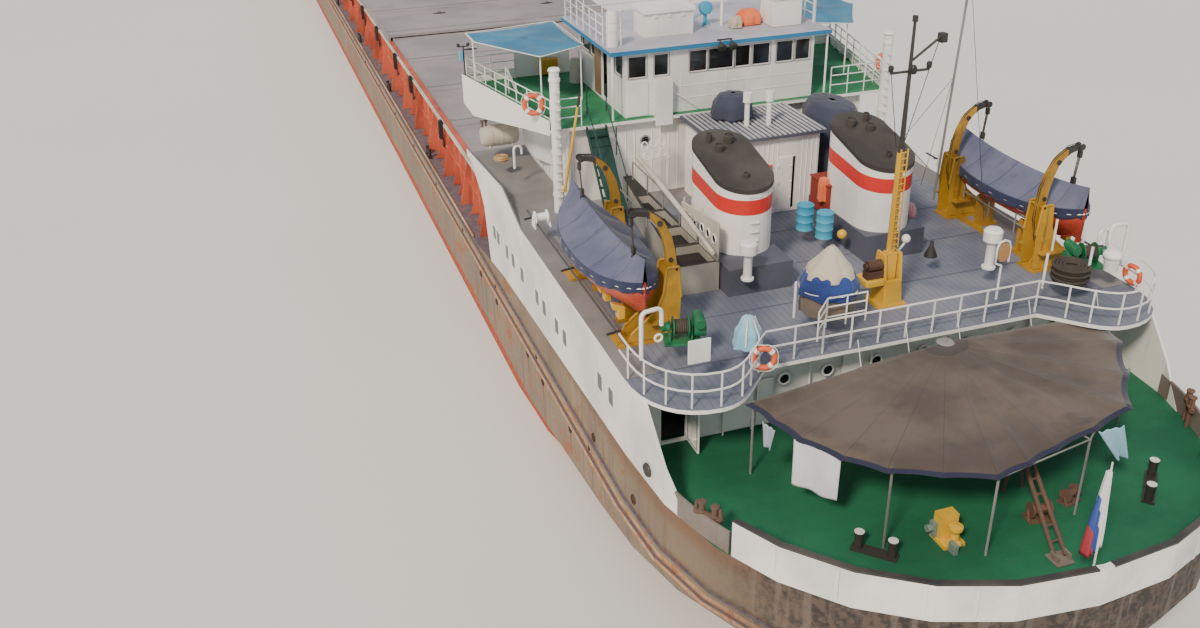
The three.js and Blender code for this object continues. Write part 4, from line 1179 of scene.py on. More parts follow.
def awning_hub():
    """The ring at the awning's fore edge, with its patch."""
    bm = bmesh.new()
    add_turned(bm, AWNING_HUB - over(0.001), [(0, 0.004), (0.018, 0.004), (0.024, 0.0025), (0.026, 0)])
    add_ring(bm, AWNING_HUB + over(0.008), (0.3, 1, 0), 0.007, 0.0016, sides=16, section=6)
    return piece("awning_ring", bm, GALVANISED)


awning_hub()
lace = [[at(x, y, AWNING_EDGE), at(x + 0.03, y, POOP - 0.012)] for x, y in
        ((0.8, 0.185), (0.82, 0.02), (0.84, -0.16), (0.835, -0.4), (0.825, -0.63))]
pipes("awning_lacing", lace, 0.0012, WHITE_TRIM)
print("awning of", len(AWNING_RIM), "panels")

# %% [markdown]
# The washing and rags that hang under the awning are cloth too. A grid of points hangs from a line between
# two corners, and a sine wave that grows downwards gives it its folds. The ship's flag hangs furled against
# its staff, which is the same cloth with deep folds and a narrow top.

# %% Hanging cloths
sheet(
    "hanging_sheet", hanging(at(0.558, 0.514, 0.924), at(0.446, 0.443, 0.924), 0.135, 0.004, 1.6,
                             gather=0.05),
    SHEET_CLOTH,
)
sheet(
    "blue_rag", hanging(at(0.318, -0.208, 0.930), at(0.322, -0.292, 0.927), 0.105, 0.007, 1.6, gather=0.45,
                        steps=(20, 16), slant=0.75),
    BLUE_CLOTH,
)
sheet(
    "grey_rag", hanging(at(0.66, 0.552, 0.924), at(0.61, 0.54, 0.924), 0.07, 0.004, 1.2, gather=0.5,
                        steps=(12, 10)),
    canvas("grey_rag_cloth", "9aa0b0", "aab0bd", "5c6274"),
)

FLAG_TOP = 1.035
FLAG_DROP = 0.205
STAFF_X = 0.046


def flag_finish():
    """Three bands, white, blue and red, that follow the cloth and not the folds."""
    finish = Finish("flag_cloth", Roughness=0.8)
    band = finish.attribute("reach")
    grain = finish.noise(180.0, 2)
    tone = finish.mix(band.fade(0.48, 0.49), "e8e9ef", "2c4fa0")
    tone = finish.mix(band.fade(0.74, 0.75), tone, "b52a32")
    finish.paint(finish.mix(grain * 0.25, tone, "7e7a88"))
    finish.bump(grain, 0.3, 0.001)
    return finish.material


def furled_flag():
    """Narrow where it is tied at the staff's top, and wider below, in four deep folds."""
    bm = bmesh.new()
    reach = bm.verts.layers.float.new("reach")
    bmesh.ops.create_grid(bm, x_segments=36, y_segments=22, size=0.5)
    for vert in bm.verts:
        across, down = vert.co.x + 0.5, 0.5 - vert.co.y
        half = 0.006 + 0.013 * math.sin(min(1.0, down * 1.1) * math.pi / 2)
        fold = math.sin(across * math.tau * 5 + 1.5 * down)
        depth = 0.005 + 0.009 * down
        place = at(STAFF_X + 0.012 + depth * fold, (across - 0.42) * 2 * half, FLAG_TOP - FLAG_DROP * down)
        place.z -= 0.03 * across * down
        vert.co = place
        vert[reach] = min(1.0, max(0.0, 0.30 * across + 0.62 * down * (0.35 + 0.8 * across)))
    return sheet("flag", bm, flag_finish())


furled_flag()
print("cloths hung")

# %% [markdown]
# The stern's plan is a smooth curve, blunt across the middle and straight where it meets the sides. The
# bulwark follows it, with a gap at each quarter where the ropes are led out over rollers. The same curve
# gives the places of the bulwark's stays inside, of the seam outside and of the low plates in the gaps.

# %% Stern curve
STERN_RUN = 0.950
STERN_HALF = 0.825
STERN_POWER = 2.25
QUARTER_GAP = (0.456, 0.70)
ROLLER_PROFILE = [(0, 0), (0.011, 0), (0.012, 0.004), (0.0085, 0.008), (0.0085, 0.026), (0.012, 0.030),
                  (0.011, 0.034), (0, 0.036)]
SEAM_TURNS = (19.0, 27.0, 41.0, 52.0)


def stern_at(turn, inward=0.0):
    """A point of the deck's edge, drawn inward. Turn is 0 at the centreline and 90 where the side begins."""
    angle = math.radians(turn)
    x = STERN_RUN * (1 - abs(math.cos(angle)) ** (2 / STERN_POWER))
    y = STERN_HALF * abs(math.sin(angle)) ** (2 / STERN_POWER)
    y = math.copysign(y, angle)
    middle = Vector((STERN_RUN, 0, 0))
    edge = Vector((x, y, 0))
    return edge + (middle - edge).normalized() * inward


def turn_for(x):
    """The turn at which the curve reaches a distance from the stern."""
    return math.degrees(math.acos((1 - x / STERN_RUN) ** (STERN_POWER / 2)))


def add_wall(bm, foot, height, push):
    """An upright strip on a line of foot points, given a thickness."""
    verts = [bm.verts.new(point) for point in foot]
    edges = [bm.edges.new(pair) for pair in zip(verts, verts[1:])]
    made = bmesh.ops.extrude_edge_only(bm, edges=edges)["geom"]
    top = [item for item in made if isinstance(item, bmesh.types.BMVert)]
    bmesh.ops.translate(bm, verts=top, vec=(0, 0, height))
    thicken(bm, [item for item in made if isinstance(item, bmesh.types.BMFace)], push)


def quarter_plate(name, side):
    """The low plate in the bulwark's gap. It leans a little and is rusty where the ropes rub it."""
    bm = bmesh.new()
    steps = 8
    low, high = (turn_for(x) for x in QUARTER_GAP)
    foot = []
    for step in range(steps + 1):
        spot = stern_at(low + (high - low) * step / steps, 0.004)
        foot.append(at(spot.x, side * spot.y, AFT_DECK + CLEAR))
    add_wall(bm, foot, 0.066, (0.004, -side * 0.007, 0))
    return piece(name, bm, RUSTED_PLATE, bevel=0.001)


def roller_fairlead(name, side):
    """Two upright rollers between a sill and a head, with side horns."""
    bm = bmesh.new()
    place = stern_at(turn_for(0.535), 0.018)
    middle = at(place.x, side * place.y, AFT_DECK + 0.066)
    along = Vector((0.62, side * 0.42, 0)).normalized()
    for shift in (-0.019, 0.019):
        foot = middle + along * shift
        add_turned(bm, foot, ROLLER_PROFILE, sides=14)
    add_rod(bm, middle - along * 0.040 + over(-0.002), middle + along * 0.040 + over(-0.002),
            0.0085, sides=8)
    for shift in (-0.038, 0.038):
        add_rod(bm, middle + along * shift, middle + along * shift * 0.9 + over(0.030), 0.007, 0.004, sides=8)
    for shift in (-0.02, 0.02):
        add_rod(bm, middle + along * shift - over(0.0655), middle + along * shift, 0.006, sides=8)
    return piece(name, bm, RUSTED)


def bulwark_stays(name, side):
    bm = bmesh.new()
    for turn in range(4, int(turn_for(0.43)), 5):
        rim_point, foot_point = stern_at(turn, 0.009), stern_at(turn, 0.048)
        foot_rim = stern_at(turn, 0.012)
        across = Vector((-(rim_point.y * side), rim_point.x - STERN_RUN, 0)).normalized() * 0.003
        outline = [(foot_rim, AFT_DECK + 0.0005), (foot_point, AFT_DECK + 0.0005),
                   (foot_point, AFT_DECK + 0.012), (rim_point, 0.7985)]
        corners = [at(spot.x, side * spot.y, z) for spot, z in outline]
        add_plate(bm, corners, across)
    return piece(name, bm, DEEP_GREEN)


def seam_strips(name, side):
    """The flat bars over the bulwark's plate joints, outside."""
    bm = bmesh.new()
    for turn in SEAM_TURNS:
        start, end = stern_at(turn, -0.0008), stern_at(turn + 0.7, -0.0008)
        foot = [at(start.x, side * start.y, 0.708), at(end.x, side * end.y, 0.708)]
        add_wall(bm, foot, 0.088, stern_at(turn, -0.0018) - start)
    return piece(name, bm, WHITE_TRIM)


RUSTED_PLATE = painted("quarter_plate_paint",
                       Coat("857b72", "6f645c", rust=0.8, runs=0.8, run_colour="6b4331"), roughness=0.7)
DEEP_GREEN = painted("bulwark_green", Coat("17603f", "1f5138", rust=0.2, runs=0.3), roughness=0.55)
for maker, name in ((quarter_plate, "quarter_plate"), (roller_fairlead, "roller_fairlead"),
                    (bulwark_stays, "bulwark_stays"), (seam_strips, "bulwark_seams")):
    both(maker, name)
print("stern curve pieces ready")

# %% [markdown]
# On the after deck stand the capstan's gearbox, a stowed stern derrick that leans on its winch, and small
# gear. The derrick is two rusty bars with rungs between them, and its winch is a drum between two flanges on
# a bed. Turned profiles make the drums, because a drum is round whatever else it is.

# %% After deck gear


def add_drum(bm, centre, axis, length, radius, flange):
    """A winch drum with a flange at each end."""
    half = length / 2
    profile = [(0, -half), (flange, -half), (flange, -half + 0.004), (radius, -half + 0.004),
               (radius, half - 0.004), (flange, half - 0.004), (flange, half), (0, half)]
    add_turned(bm, centre, profile, axis=axis, sides=18)


def capstan_gear():
    bm = bmesh.new()
    add_block(bm, at(0.330, 0.205, AFT_DECK + 0.0115), at(0.352, 0.232, AFT_DECK + 0.052))
    add_rod(bm, at(0.341, 0.232, AFT_DECK + 0.036), at(0.341, 0.246, AFT_DECK + 0.036), 0.010)
    for step in range(5):
        add_block(bm, at(0.3295, 0.208, AFT_DECK + 0.016 + 0.007 * step),
                  at(0.3300, 0.229, AFT_DECK + 0.019 + 0.007 * step))
    piece("capstan_gearbox", bm, GREY_GREEN, bevel=0.002)
    plate = bmesh.new()
    add_block(plate, at(0.262, 0.203, AFT_DECK + 0.0004), at(0.2885, 0.216, AFT_DECK + 0.030))
    return piece("capstan_shoe", plate, GREY_GREEN, bevel=0.001)


def stern_derrick():
    """A boom stowed on the deck, its heel near the bulwark and its head on a low trestle."""
    bm = bmesh.new()
    head, heel = at(0.455, -0.088, 0.862), at(0.165, -0.020, 0.704)
    for shift in (-0.016, 0.016):
        side = Vector((0, shift, 0))
        add_rod(bm, head + side * 0.6, heel + side, 0.0062, sides=8)
    for step in range(1, 8):
        middle = head.lerp(heel, step / 8)
        add_rod(bm, middle + Vector((0, -0.014, 0)), middle + Vector((0, 0.014, 0)), 0.003, sides=6)
    for y in (-0.118, -0.058):
        add_rod(bm, at(0.445, y, AFT_DECK + 0.0005), head + Vector((-0.004, 0, -0.002)), 0.005, sides=8)
    add_ball(bm, head + Vector((0.006, 0, 0)), 0.012)
    piece("stern_derrick", bm, RUSTED)
    foot = bmesh.new()
    add_block(foot, at(0.140, -0.045, AFT_DECK + 0.0003), at(0.190, 0.006, AFT_DECK + 0.005))
    for y in (-0.041, -0.004):
        add_block(foot, at(0.150, y, AFT_DECK + 0.005), at(0.180, y + 0.004, AFT_DECK + 0.022))
    return piece("stern_derrick_foot", foot, RUSTED_PLATE, bevel=0.001)


def deck_winch(name, x, y, turn=0.0, size=1.0):
    bm = bmesh.new()
    axis = Vector((math.sin(turn), math.cos(turn), 0))
    ahead = Vector((axis.y, -axis.x, 0))
    centre = at(x, y, AFT_DECK + 0.030 * size)
    add_drum(bm, centre, axis, 0.052 * size, 0.013 * size, 0.022 * size)
    for shift in (-0.031, 0.031):
        spot = centre + axis * shift * size
        foot = spot - over(0.0296 * size)
        add_rod(bm, foot + ahead * 0.012 * size, spot, 0.004 * size, sides=8)
        add_rod(bm, foot - ahead * 0.012 * size, spot, 0.004 * size, sides=8)
    bed = [(-0.034, -0.022), (0.034, -0.022), (0.034, 0.022), (-0.034, 0.022)]
    corners = [centre + (axis * a + ahead * b) * size - over(0.0296 * size) for a, b in bed]
    add_plate(bm, corners, (0, 0, 0.004))
    return piece(name, bm, RUSTED)


GREY_GREEN = painted("gearbox_grey_green", Coat("77897f", "5f7269", rust=0.2, runs=0.3), roughness=0.5)
capstan_gear()
stern_derrick()
deck_winch("stern_winch", 0.318, -0.073, turn=0.2)
deck_winch("stern_reel", 0.352, -0.195, turn=-0.3, size=0.85)
print("after deck gear ready")

# %% [markdown]
# The two lifeboats are double-ended and planked, under canvas covers on a ridge pole. A boat is a grid of
# points that is bent into shape: one direction runs from stem to stern and the other from gunwale to gunwale
# round the keel. The breadth, the keel's rise and the sheer are each a power of the distance from amidships,
# so three formulas replace a table of frames. Both pieces ride on the boat's own body, because the boat stays
# level while its davits swing.

# %% Boats
BOAT_X = (1.058, 1.740)
BOAT_Y = 0.725
BOAT_KEEL = 1.035
BOAT_RIM = 1.132
BOAT_HALF = 0.106
BOAT_RISE = 0.058
BOAT_SHEER = 0.030
# Shares of the half breadth and of the depth, from the keel to the rim
BOAT_SECTION = [(0, 0), (0.32, 0.18), (0.62, 0.352), (0.84, 0.50), (0.94, 0.64), (0.985, 0.82), (1, 1)]


def boat_breadth(along):
    return BOAT_HALF * max(0.0, 1 - abs(along) ** 2.4) ** 0.65


def boat_rim(along):
    return BOAT_RIM + BOAT_SHEER * abs(along) ** 2.3


def boat_point(along, around, side, out=0.0):
    """A point of the shell. Along runs from -1 aft to 1 fore, and around from -1 to 1 by way of the keel."""
    steps = len(BOAT_SECTION) - 1
    place = min(abs(around) * steps, steps - 1e-6)
    low, high = BOAT_SECTION[int(place)], BOAT_SECTION[int(place) + 1]
    share_y, share_z = (a + (b - a) * (place % 1) for a, b in zip(low, high))
    keel = BOAT_KEEL + BOAT_RISE * abs(along) ** 5.7
    x = (BOAT_X[0] + BOAT_X[1]) / 2 + along * (BOAT_X[1] - BOAT_X[0] - 0.004) / 2
    y = (boat_breadth(along) * share_y + out) * (1 if around >= 0 else -1)
    return at(x, side * BOAT_Y + y, keel + (boat_rim(along) - keel) * share_z)


def boat_hull_finish():
    """Orange paint on overlapping planks. The reach number counts them, from keel to rim."""
    finish = Finish("boat_hull_paint", Roughness=0.5)
    reach = finish.attribute("reach")
    clouds, grain = finish.noise(14.0, 5), finish.noise(120.0, 3)
    plank = finish.math("FRACT", reach * 7)
    tone = finish.mix(clouds.fade(0.35, 0.65), "cf553c", "b5442f")
    tone = finish.mix((1 - plank.fade(0.0, 0.12)) * 0.55, tone, "5a2018")
    tone = finish.mix(grain.fade(0.62, 0.72) * 0.6, tone, "e0907a")
    finish.paint(tone)
    finish.bump(plank * 1.4 + grain * 0.25, 0.6, 0.002)
    return finish.material


BOAT_HULL = boat_hull_finish()


def boat_hull(name, side):
    bm = bmesh.new()
    reach = bm.verts.layers.float.new("reach")
    bmesh.ops.create_grid(bm, x_segments=44, y_segments=36, size=1)
    for vert in bm.verts:
        along, around = math.sin(vert.co.x * math.pi / 2), vert.co.y
        vert[reach] = abs(around)
        vert.co = boat_point(along, around, side)
    close_up(bm)
    bmesh.ops.solidify(bm, geom=list(bm.faces), thickness=0.0022)
    made = piece(name, bm, BOAT_HULL, body=name.removesuffix("_hull"))
    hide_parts(name.removesuffix("_hull"))
    return made


def boat_trim(name, side):
    """Keel, stem and stern posts, rudder and a small screw."""
    body = name.removesuffix("_trim")
    bm = bmesh.new()
    shares = [step / 18 - 1 for step in range(37)]
    keel = [boat_point(math.sin(share * math.pi / 2), 0, side) for share in shares]
    for start, end in zip(keel, keel[1:]):
        add_rod(bm, start, end, 0.0032, sides=6)
    for along in (-1, 1):
        add_rod(bm, boat_point(along, 0, side), boat_point(along, 1, side) + over(0.006), 0.0036, sides=6)
    aft = BOAT_X[0]
    y = side * BOAT_Y
    rudder = ((-0.001, 1.056), (0.026, 1.044), (0.020, 1.085), (0.001, 1.130))
    add_plate(bm, [at(aft + run, y - 0.0015, height) for run, height in rudder], (0, 0.003, 0))
    piece(name, bm, BOAT_HULL, body=body)
    routes = []
    for around in (-1, 1):
        rim = [boat_point(math.sin(share * math.pi / 2), around * 0.985, side, out=0.0016)
               for share in shares]
        routes.append([point - over(0.010) for point in rim])
    pipes(f"{body}_rubbing_band", routes, 0.0028, WHITE_TRIM, body=body)
    loops = []
    for around in (-1, 1):
        for number in range(7):
            start, end = -0.84 + number * 0.24, -0.84 + (number + 1) * 0.24
            loop = []
            for step in range(9):
                share = step / 8
                along = start + (end - start) * share
                point = boat_point(along, around * 0.97, side, out=0.0022)
                loop.append(point - over(0.012 + 0.014 * 4 * share * (1 - share)))
            loops.append(loop)
    return pipes(f"{body}_lifelines", loops, 0.0009, GALVANISED, body=body)


for side_name, side in SIDES:
    boat_hull(f"boat_{side_name}_hull", side)
    boat_trim(f"boat_{side_name}_trim", side)
print("boats ready")

# %% [markdown]
# A boat's cover lies on a ridge pole and is laced under the rim. Between the hoops it sinks a little, and its
# skirt hangs in scallops. The port slope of each cover is painted paler, as painted sunlight on canvas that
# the sun has also faded, and the starboard slope darker, as painted shade. The shader takes this from the
# side of the ridge that a point is on.

# %% Boat covers
COVER_RIDGE = 0.076
COVER_FOOT = 0.008
COVER_SKIRT = 0.036
COVER_HOOPS = 7


def cover_finish():
    finish = Finish("boat_cover_canvas", Sheen_Weight=0.1)
    seam, reach = finish.attribute("seam"), finish.attribute("reach")
    clouds, grain = finish.noise(8.0, 5), finish.noise(240.0, 2)
    creases = finish.noise(16.0, 4, stretch=(1.6, 0.8, 0.8))
    # Painted light and shade: 1 on each cover's port slope, painted paler as sunlit, and 0 on its starboard
    # slope, painted darker as shaded
    sunlit_slope = (finish.y > BOAT_Y) + (finish.y < 0) * (finish.y > -BOAT_Y)
    light = finish.mix(clouds.fade(0.35, 0.65), "676a80", "575b75")
    dark = finish.mix(clouds.fade(0.35, 0.65), "232945", "2f3656")
    tone = finish.mix(sunlit_slope * (1 - reach.fade(0.99, 1.02)), dark, light)
    tone = finish.mix(creases.fade(0.55, 0.75) * 0.35, tone, "232842")
    tone = finish.mix((1 - seam.fade(0.0, 0.12)) * 0.75, tone, "1d213a")
    finish.paint(tone)
    finish.rough(0.8 + grain * 0.1)
    finish.bump(creases * 1.2 + grain * 0.2 + seam * 0.3, 0.5, 0.003)
    return finish.material


COVER_CANVAS = cover_finish()


def boat_cover(name, side):
    bm, reach, seam = cloth_mesh()
    bmesh.ops.create_grid(bm, x_segments=84, y_segments=40, size=1)
    for vert in bm.verts:
        run, across = vert.co.x, vert.co.y * 1.35
        along = math.sin(run * math.pi / 2) * 0.999
        share = min(1.0, abs(across))
        hoops = abs(math.sin(run * math.pi * COVER_HOOPS / 2))
        end = 1 - abs(along) ** 8
        centre = boat_point(along, 0, side)
        half = boat_breadth(along) + 0.0045
        rim = boat_rim(along)
        height = COVER_FOOT + (COVER_RIDGE - COVER_FOOT) * (1 - share) ** 1.08
        height -= 0.008 * (1 - hoops) * math.sin(share * math.pi) * end
        height += 0.0012 * math.sin(run * 31 + across * 7) * math.sin(share * math.pi)
        y = share * half
        if abs(across) > 1:
            skirt = (abs(across) - 1) / 0.35
            height = COVER_FOOT - COVER_SKIRT * skirt * (0.82 + 0.18 * hoops)
            y = half + 0.0025 * math.sin(run * 44) * skirt
        vert.co = Vector((centre.x, side * BOAT_Y + math.copysign(y, across), rim + height))
        vert[reach] = abs(across)
        vert[seam] = min(hoops * 2, abs(run + 0.52) * 26, abs(run + 0.40) * 26, 1.0)
    close_up(bm)
    return sheet(
        f"{name}_canvas", bm, COVER_CANVAS,
        body=name.replace("cover_", ""),
        replaced=name,
    )


both(boat_cover, "boat_cover")
print("boat covers ready")

# %% [markdown]
# Each davit arm turns between two plate frames. The frames are cut from flat plate with stiffening edges, and
# stand just clear of the arm. The falls hang from the arm's head as a block and ropes. They ride on the boat,
# because they stay upright between the head and the boat while the arm swings out.

# %% Davits
DAVIT_X = (1.140, 1.610)
FRAME_GAP = (0.0285, 0.0320)
# The frame's outline, as half distance from the centreline and height
DAVIT_FRAME = [(0.605, 0.960), (0.765, 0.960), (0.748, 0.985), (0.705, 1.020), (0.668, 1.055), (0.650, 1.10),
               (0.642, 1.175), (0.606, 1.175), (0.598, 1.08)]
DAVIT_HEAD = (0.736, 1.343)
# Each sheave's place across and up, its radius and its number of sides
SHEAVES = ((DAVIT_HEAD[0] - 0.004, DAVIT_HEAD[1] + 0.001, 0.011, 14), (0.655, 1.305, 0.008, 12),
           (0.622, 1.19, 0.007, 12))


def davit_frames(name, side):
    bm = bmesh.new()
    for x in DAVIT_X:
        for direction in (-1, 1):
            near, far = (x + direction * gap for gap in FRAME_GAP)
            add_plate(bm, [at(near, side * y, z) for y, z in DAVIT_FRAME], (far - near, 0, 0))
            for start, end in zip(DAVIT_FRAME[2:], DAVIT_FRAME[3:]):
                middle = (near + far) / 2
                add_rod(bm, at(middle, side * start[0], start[1]), at(middle, side * end[0], end[1]), 0.0042,
                        sides=8)
            for y, z in ((0.63, 1.0), (0.625, 1.06), (0.622, 1.12)):
                outer = far + direction * 0.002
                add_rod(bm, at(far, side * y, z), at(outer, side * y, z), 0.009, sides=12)
            add_block(bm, at(far, side * 0.61, POOP + 0.0005),
                      at(far + direction * 0.026, side * 0.70, POOP + 0.006))
            add_plate(bm, [at(far, side * 0.640, POOP + 0.006),
                           at(far + direction * 0.024, side * 0.640, POOP + 0.006),
                           at(far, side * 0.640, 1.03)], (0, side * 0.003, 0))
        low, high = x - FRAME_GAP[1], x + FRAME_GAP[1]
        add_rod(bm, at(low, side * 0.612, 1.168), at(high, side * 0.612, 1.168), 0.0045, sides=8)
    return piece(name, bm, OCHRE_GRIMED)


def davit_gear(name, side):
    """The rope's lead along the arm and the sheaves at its head, which swing with it."""
    bm = bmesh.new()
    for x in DAVIT_X:
        for direction in (-1, 1):
            near = x + direction * 0.0094
            far = near + direction * 0.003
            for across, height, radius, sides in SHEAVES:
                add_rod(bm, at(near, side * across, height), at(far, side * across, height), radius,
                        sides=sides)
    piece(name, bm, BLACK, body=name.removesuffix("_gear"))
    arm = [(0.730, 1.356), (0.690, 1.350), (0.645, 1.316), (0.606, 1.225), (0.602, 1.12), (0.622, 1.045)]
    leads = [[at(x + shift, side * a, b) for a, b in arm] for x in DAVIT_X for shift in (-0.004, 0.004)]
    return pipes(f"{name}_ropes", leads, 0.0013, BLACK, body=name.removesuffix("_gear"))


def boat_falls(name, side):
    """Blocks and ropes between a davit's head and the boat's lifting hook."""
    body = name.removesuffix("_falls")
    bm = bmesh.new()
    ropes = []
    y, z = DAVIT_HEAD
    foot = BOAT_RIM + 0.086
    hook = side * (BOAT_Y + 0.004)
    for x in DAVIT_X:
        for shift in (-0.005, 0.0, 0.005):
            ropes.append([at(x + shift, side * y, z - 0.018), at(x + shift * 0.8, hook, foot + 0.022)])
        add_block(bm, at(x - 0.0075, side * y - 0.005, z - 0.036),
                  at(x + 0.0075, side * y + 0.005, z - 0.014))
        add_block(bm, at(x - 0.0085, side * (BOAT_Y - 0.001), foot + 0.002),
                  at(x + 0.0085, side * (BOAT_Y + 0.009), foot + 0.026))
        add_ring(bm, at(x, hook, foot - 0.003), (1, 0, 0), 0.006, 0.002, sides=14, section=6)
        add_rod(bm, at(x, hook, foot - 0.020), at(x, hook, foot - 0.007), 0.003)
    piece(name, bm, BLACK, body=body, bevel=0.0012)
    return pipes(f"{body}_fall_ropes", ropes, 0.0014, ROPE, body=body)


CHOCK_OUTLINE = [(0.745, 0.030), (0.785, 0.030), (0.790, 0.052), (0.755, 0.040)]


def boat_chocks(name, side):
    """Yellow outboard chocks on short legs under the boat's bilge."""
    bm = bmesh.new()
    for x in (1.165, 1.285, 1.63):
        add_block(bm, at(x - 0.014, side * 0.752, POOP + CLEAR), at(x + 0.014, side * 0.772, POOP + 0.030))
        add_plate(bm, [at(x - 0.010, side * y, POOP + rise) for y, rise in CHOCK_OUTLINE], (0.020, 0, 0))
    return piece(name, bm, YELLOW, bevel=0.0015)


ROPE = painted("tarred_rope", Coat("3b342c", "544b40"), roughness=0.85)
OCHRE_GRIMED = painted("davit_frame_paint", Coat("c4952c", "8c6c24", rust=0.7, runs=1.0, run_colour="2f2a18"),
                       roughness=0.55)
for side_name, side in SIDES:
    davit_frames(f"davit_frames_{side_name}", side)
    davit_gear(f"davits_{side_name}_gear", side)
    boat_falls(f"boat_{side_name}_falls", side)
    boat_chocks(f"boat_chocks_{side_name}", side)
print("davits ready")

# %% [markdown]
# The boat deck is crowded with small gear, and each kind is one function that takes a place. Round things are
# turned profiles, bent pipes are curves with rounded corners, and soft things are canvas on a formula. The
# deck's own height is read from the frame, so everything stands on it.

# %% Vents and rings
VENT_PROFILE = [(0, 0.0), (0.020, 0.0), (0.020, 0.006), (0.0135, 0.008), (0.0135, 0.075), (0.017, 0.082),
                (0.027, 0.088), (0.0275, 0.118), (0.022, 0.124), (0, 0.126)]


def vent(name, x, y, size=1.0, foot=POOP):
    """A mushroom vent: a pipe with a wide round head."""
    bm = bmesh.new()
    profile = [(radius * size, height * size) for radius, height in VENT_PROFILE]
    add_turned(bm, at(x, y, foot + CLEAR), profile, sides=24)
    return piece(name, bm, WHITE_TRIM)


def life_ring(name, centre, axis, size=1.0):
    """An orange ring with four white bands and a grab rope."""
    bm = bmesh.new()
    add_ring(bm, centre, axis, 0.028 * size, 0.0082 * size, sides=36, section=12)
    piece(name, bm, RESCUE)
    bands = bmesh.new()
    turn = Vector(axis).to_track_quat("Z", "Y").to_matrix()
    for quarter in range(4):
        angle = math.tau * (quarter + 0.5) / 4
        spot = turn @ Vector((math.cos(angle), math.sin(angle), 0)) * 0.028 * size
        along = turn @ Vector((-math.sin(angle), math.cos(angle), 0)) * 0.005 * size
        add_rod(bands, centre + spot - along, centre + spot + along, 0.0090 * size, sides=14)
    piece(f"{name}_bands", bands, WHITE_TRIM)
    loop = []
    for step in range(33):
        angle = math.tau * step / 32
        reach = (0.0375 + 0.004 * abs(math.sin(2 * angle))) * size
        loop.append(centre + turn @ Vector((math.cos(angle), math.sin(angle), 0)) * reach)
    return pipes(f"{name}_rope", [loop], 0.0011, WHITE_TRIM)


vent("deck_vent_port", 1.262, 0.318)
vent("deck_vent_starboard", 1.073, -0.406, size=1.05)
life_ring("life_ring_port", at(0.822, 0.474, 1.008), (-0.8, 0.35, 0.1))
life_ring("life_ring_starboard", at(0.905, -0.806, 1.0), (0.1, -1, 0.1))
print("vents and rings ready")

# %% [markdown]
# Air pipes end in a bend that points down, so that no spray runs in. Each is a bent route with rounded
# corners.

# %% Air pipes and rails


def goose_neck(name, feet, reach, height, radius=0.0052):
    routes = []
    for x, y in feet:
        along = Vector((reach[0], reach[1], 0))
        foot = at(x, y, POOP + CLEAR)
        top = foot + over(height)
        routes.append(bent([foot, top, top + along, top + along - over(height * 0.38)], 0.018))
    return pipes(name, routes, radius, WHITE_TRIM)


goose_neck("air_pipe_port_aft", [(0.916, 0.790)], (0.012, -0.062), 0.140, radius=0.0062)
goose_neck("air_pipe_port_fore", [(2.46, 0.735)], (0.0, -0.03), 0.09)
goose_neck("air_pipe_starboard", [(0.955, -0.802)], (0.004, 0.060), 0.135, radius=0.0062)
goose_neck("air_pipe_stern", [(1.005, -0.780)], (0.0, 0.035), 0.10)
ring = bmesh.new()
add_ring(ring, at(0.914, 0.742, 1.075), (1, 0, 0), 0.010, 0.0035, sides=18, section=8)
piece("air_pipe_flap", ring, WHITE_TRIM)

BARS = (0.35, 0.7, 1.0)
side_rail = railing([at(1.125, -0.638, POOP), at(1.565, -0.652, POOP)], 0.105, BARS, 0.145)
pipes("davit_rail_starboard", side_rail, 0.0026, GALVANISED)
inner_rail = railing([at(0.842, 0.305, POOP), at(0.905, 0.245, POOP), at(0.905, 0.120, POOP)], 0.09, BARS,
                     0.07)
pipes("tarpaulin_rail", inner_rail, 0.0024, WHITE_TRIM)
posts = [[at(x, y, POOP), at(x, y, POOP + 0.112)] for x, y in
         ((1.10, -0.66), (1.02, -0.70), (0.99, 0.30), (0.90, -0.47), (0.89, -0.62))]
pipes("boat_deck_posts", posts, 0.0042, WHITE_TRIM)
print("pipes and rails ready")

# %% [markdown]
# The mooring winches are green castings: a drum between two flanges, a gearbox, a motor across it and a
# warping end. One function builds a winch around its own corner, and the place and the side turn it.

# %% Mooring winches


def mooring_winch(name, x, y, side):
    centre = at(x, y, POOP + CLEAR)
    axis = Vector((0.25, 1.0, 0)).normalized()
    ahead = Vector((1.0, -0.25, 0)).normalized()

    def spot(along, across, up):
        return centre + (ahead * along + axis * across * side + over(up))

    bm = bmesh.new()
    corners = [spot(a, b, 0) for a, b in ((-0.036, -0.052), (0.036, -0.052), (0.036, 0.052), (-0.036, 0.052))]
    add_plate(bm, corners, (0, 0, 0.006))
    add_drum(bm, spot(0.0, 0.004, 0.044), axis, 0.046, 0.015, 0.030)
    add_rod(bm, spot(0.0, -0.058, 0.044), spot(0.0, 0.060, 0.044), 0.005)
    warping = [(0, 0), (0.016, 0), (0.011, 0.010), (0.017, 0.024), (0, 0.024)]
    add_turned(bm, spot(0.0, 0.034, 0.044), warping, axis=axis * side)
    for across in (-0.028, 0.033):
        cheek = ((-0.022, 0.005), (0.022, 0.005), (0.010, 0.058), (-0.010, 0.058))
        add_plate(bm, [spot(along, across, up) for along, up in cheek], axis * 0.005)
    add_rod(bm, spot(0.004, -0.032, 0.030), spot(0.004, -0.066, 0.030), 0.021, sides=18)
    add_rod(bm, spot(-0.030, -0.046, 0.060), spot(0.036, -0.046, 0.060), 0.015, sides=16)
    for number in range(5):
        start = spot(-0.022 + 0.010 * number, -0.046, 0.060)
        add_rod(bm, start, start + ahead * 0.003, 0.0168, sides=16)
    piece(name, bm, WINCH_GREEN, bevel=0.0012)
    rope = bmesh.new()
    for number in range(7):
        add_ring(rope, spot(0.0, -0.014 + 0.006 * number, 0.044), axis, 0.018, 0.0035, sides=20, section=6)
    return piece(f"{name}_rope", rope, ROPE)


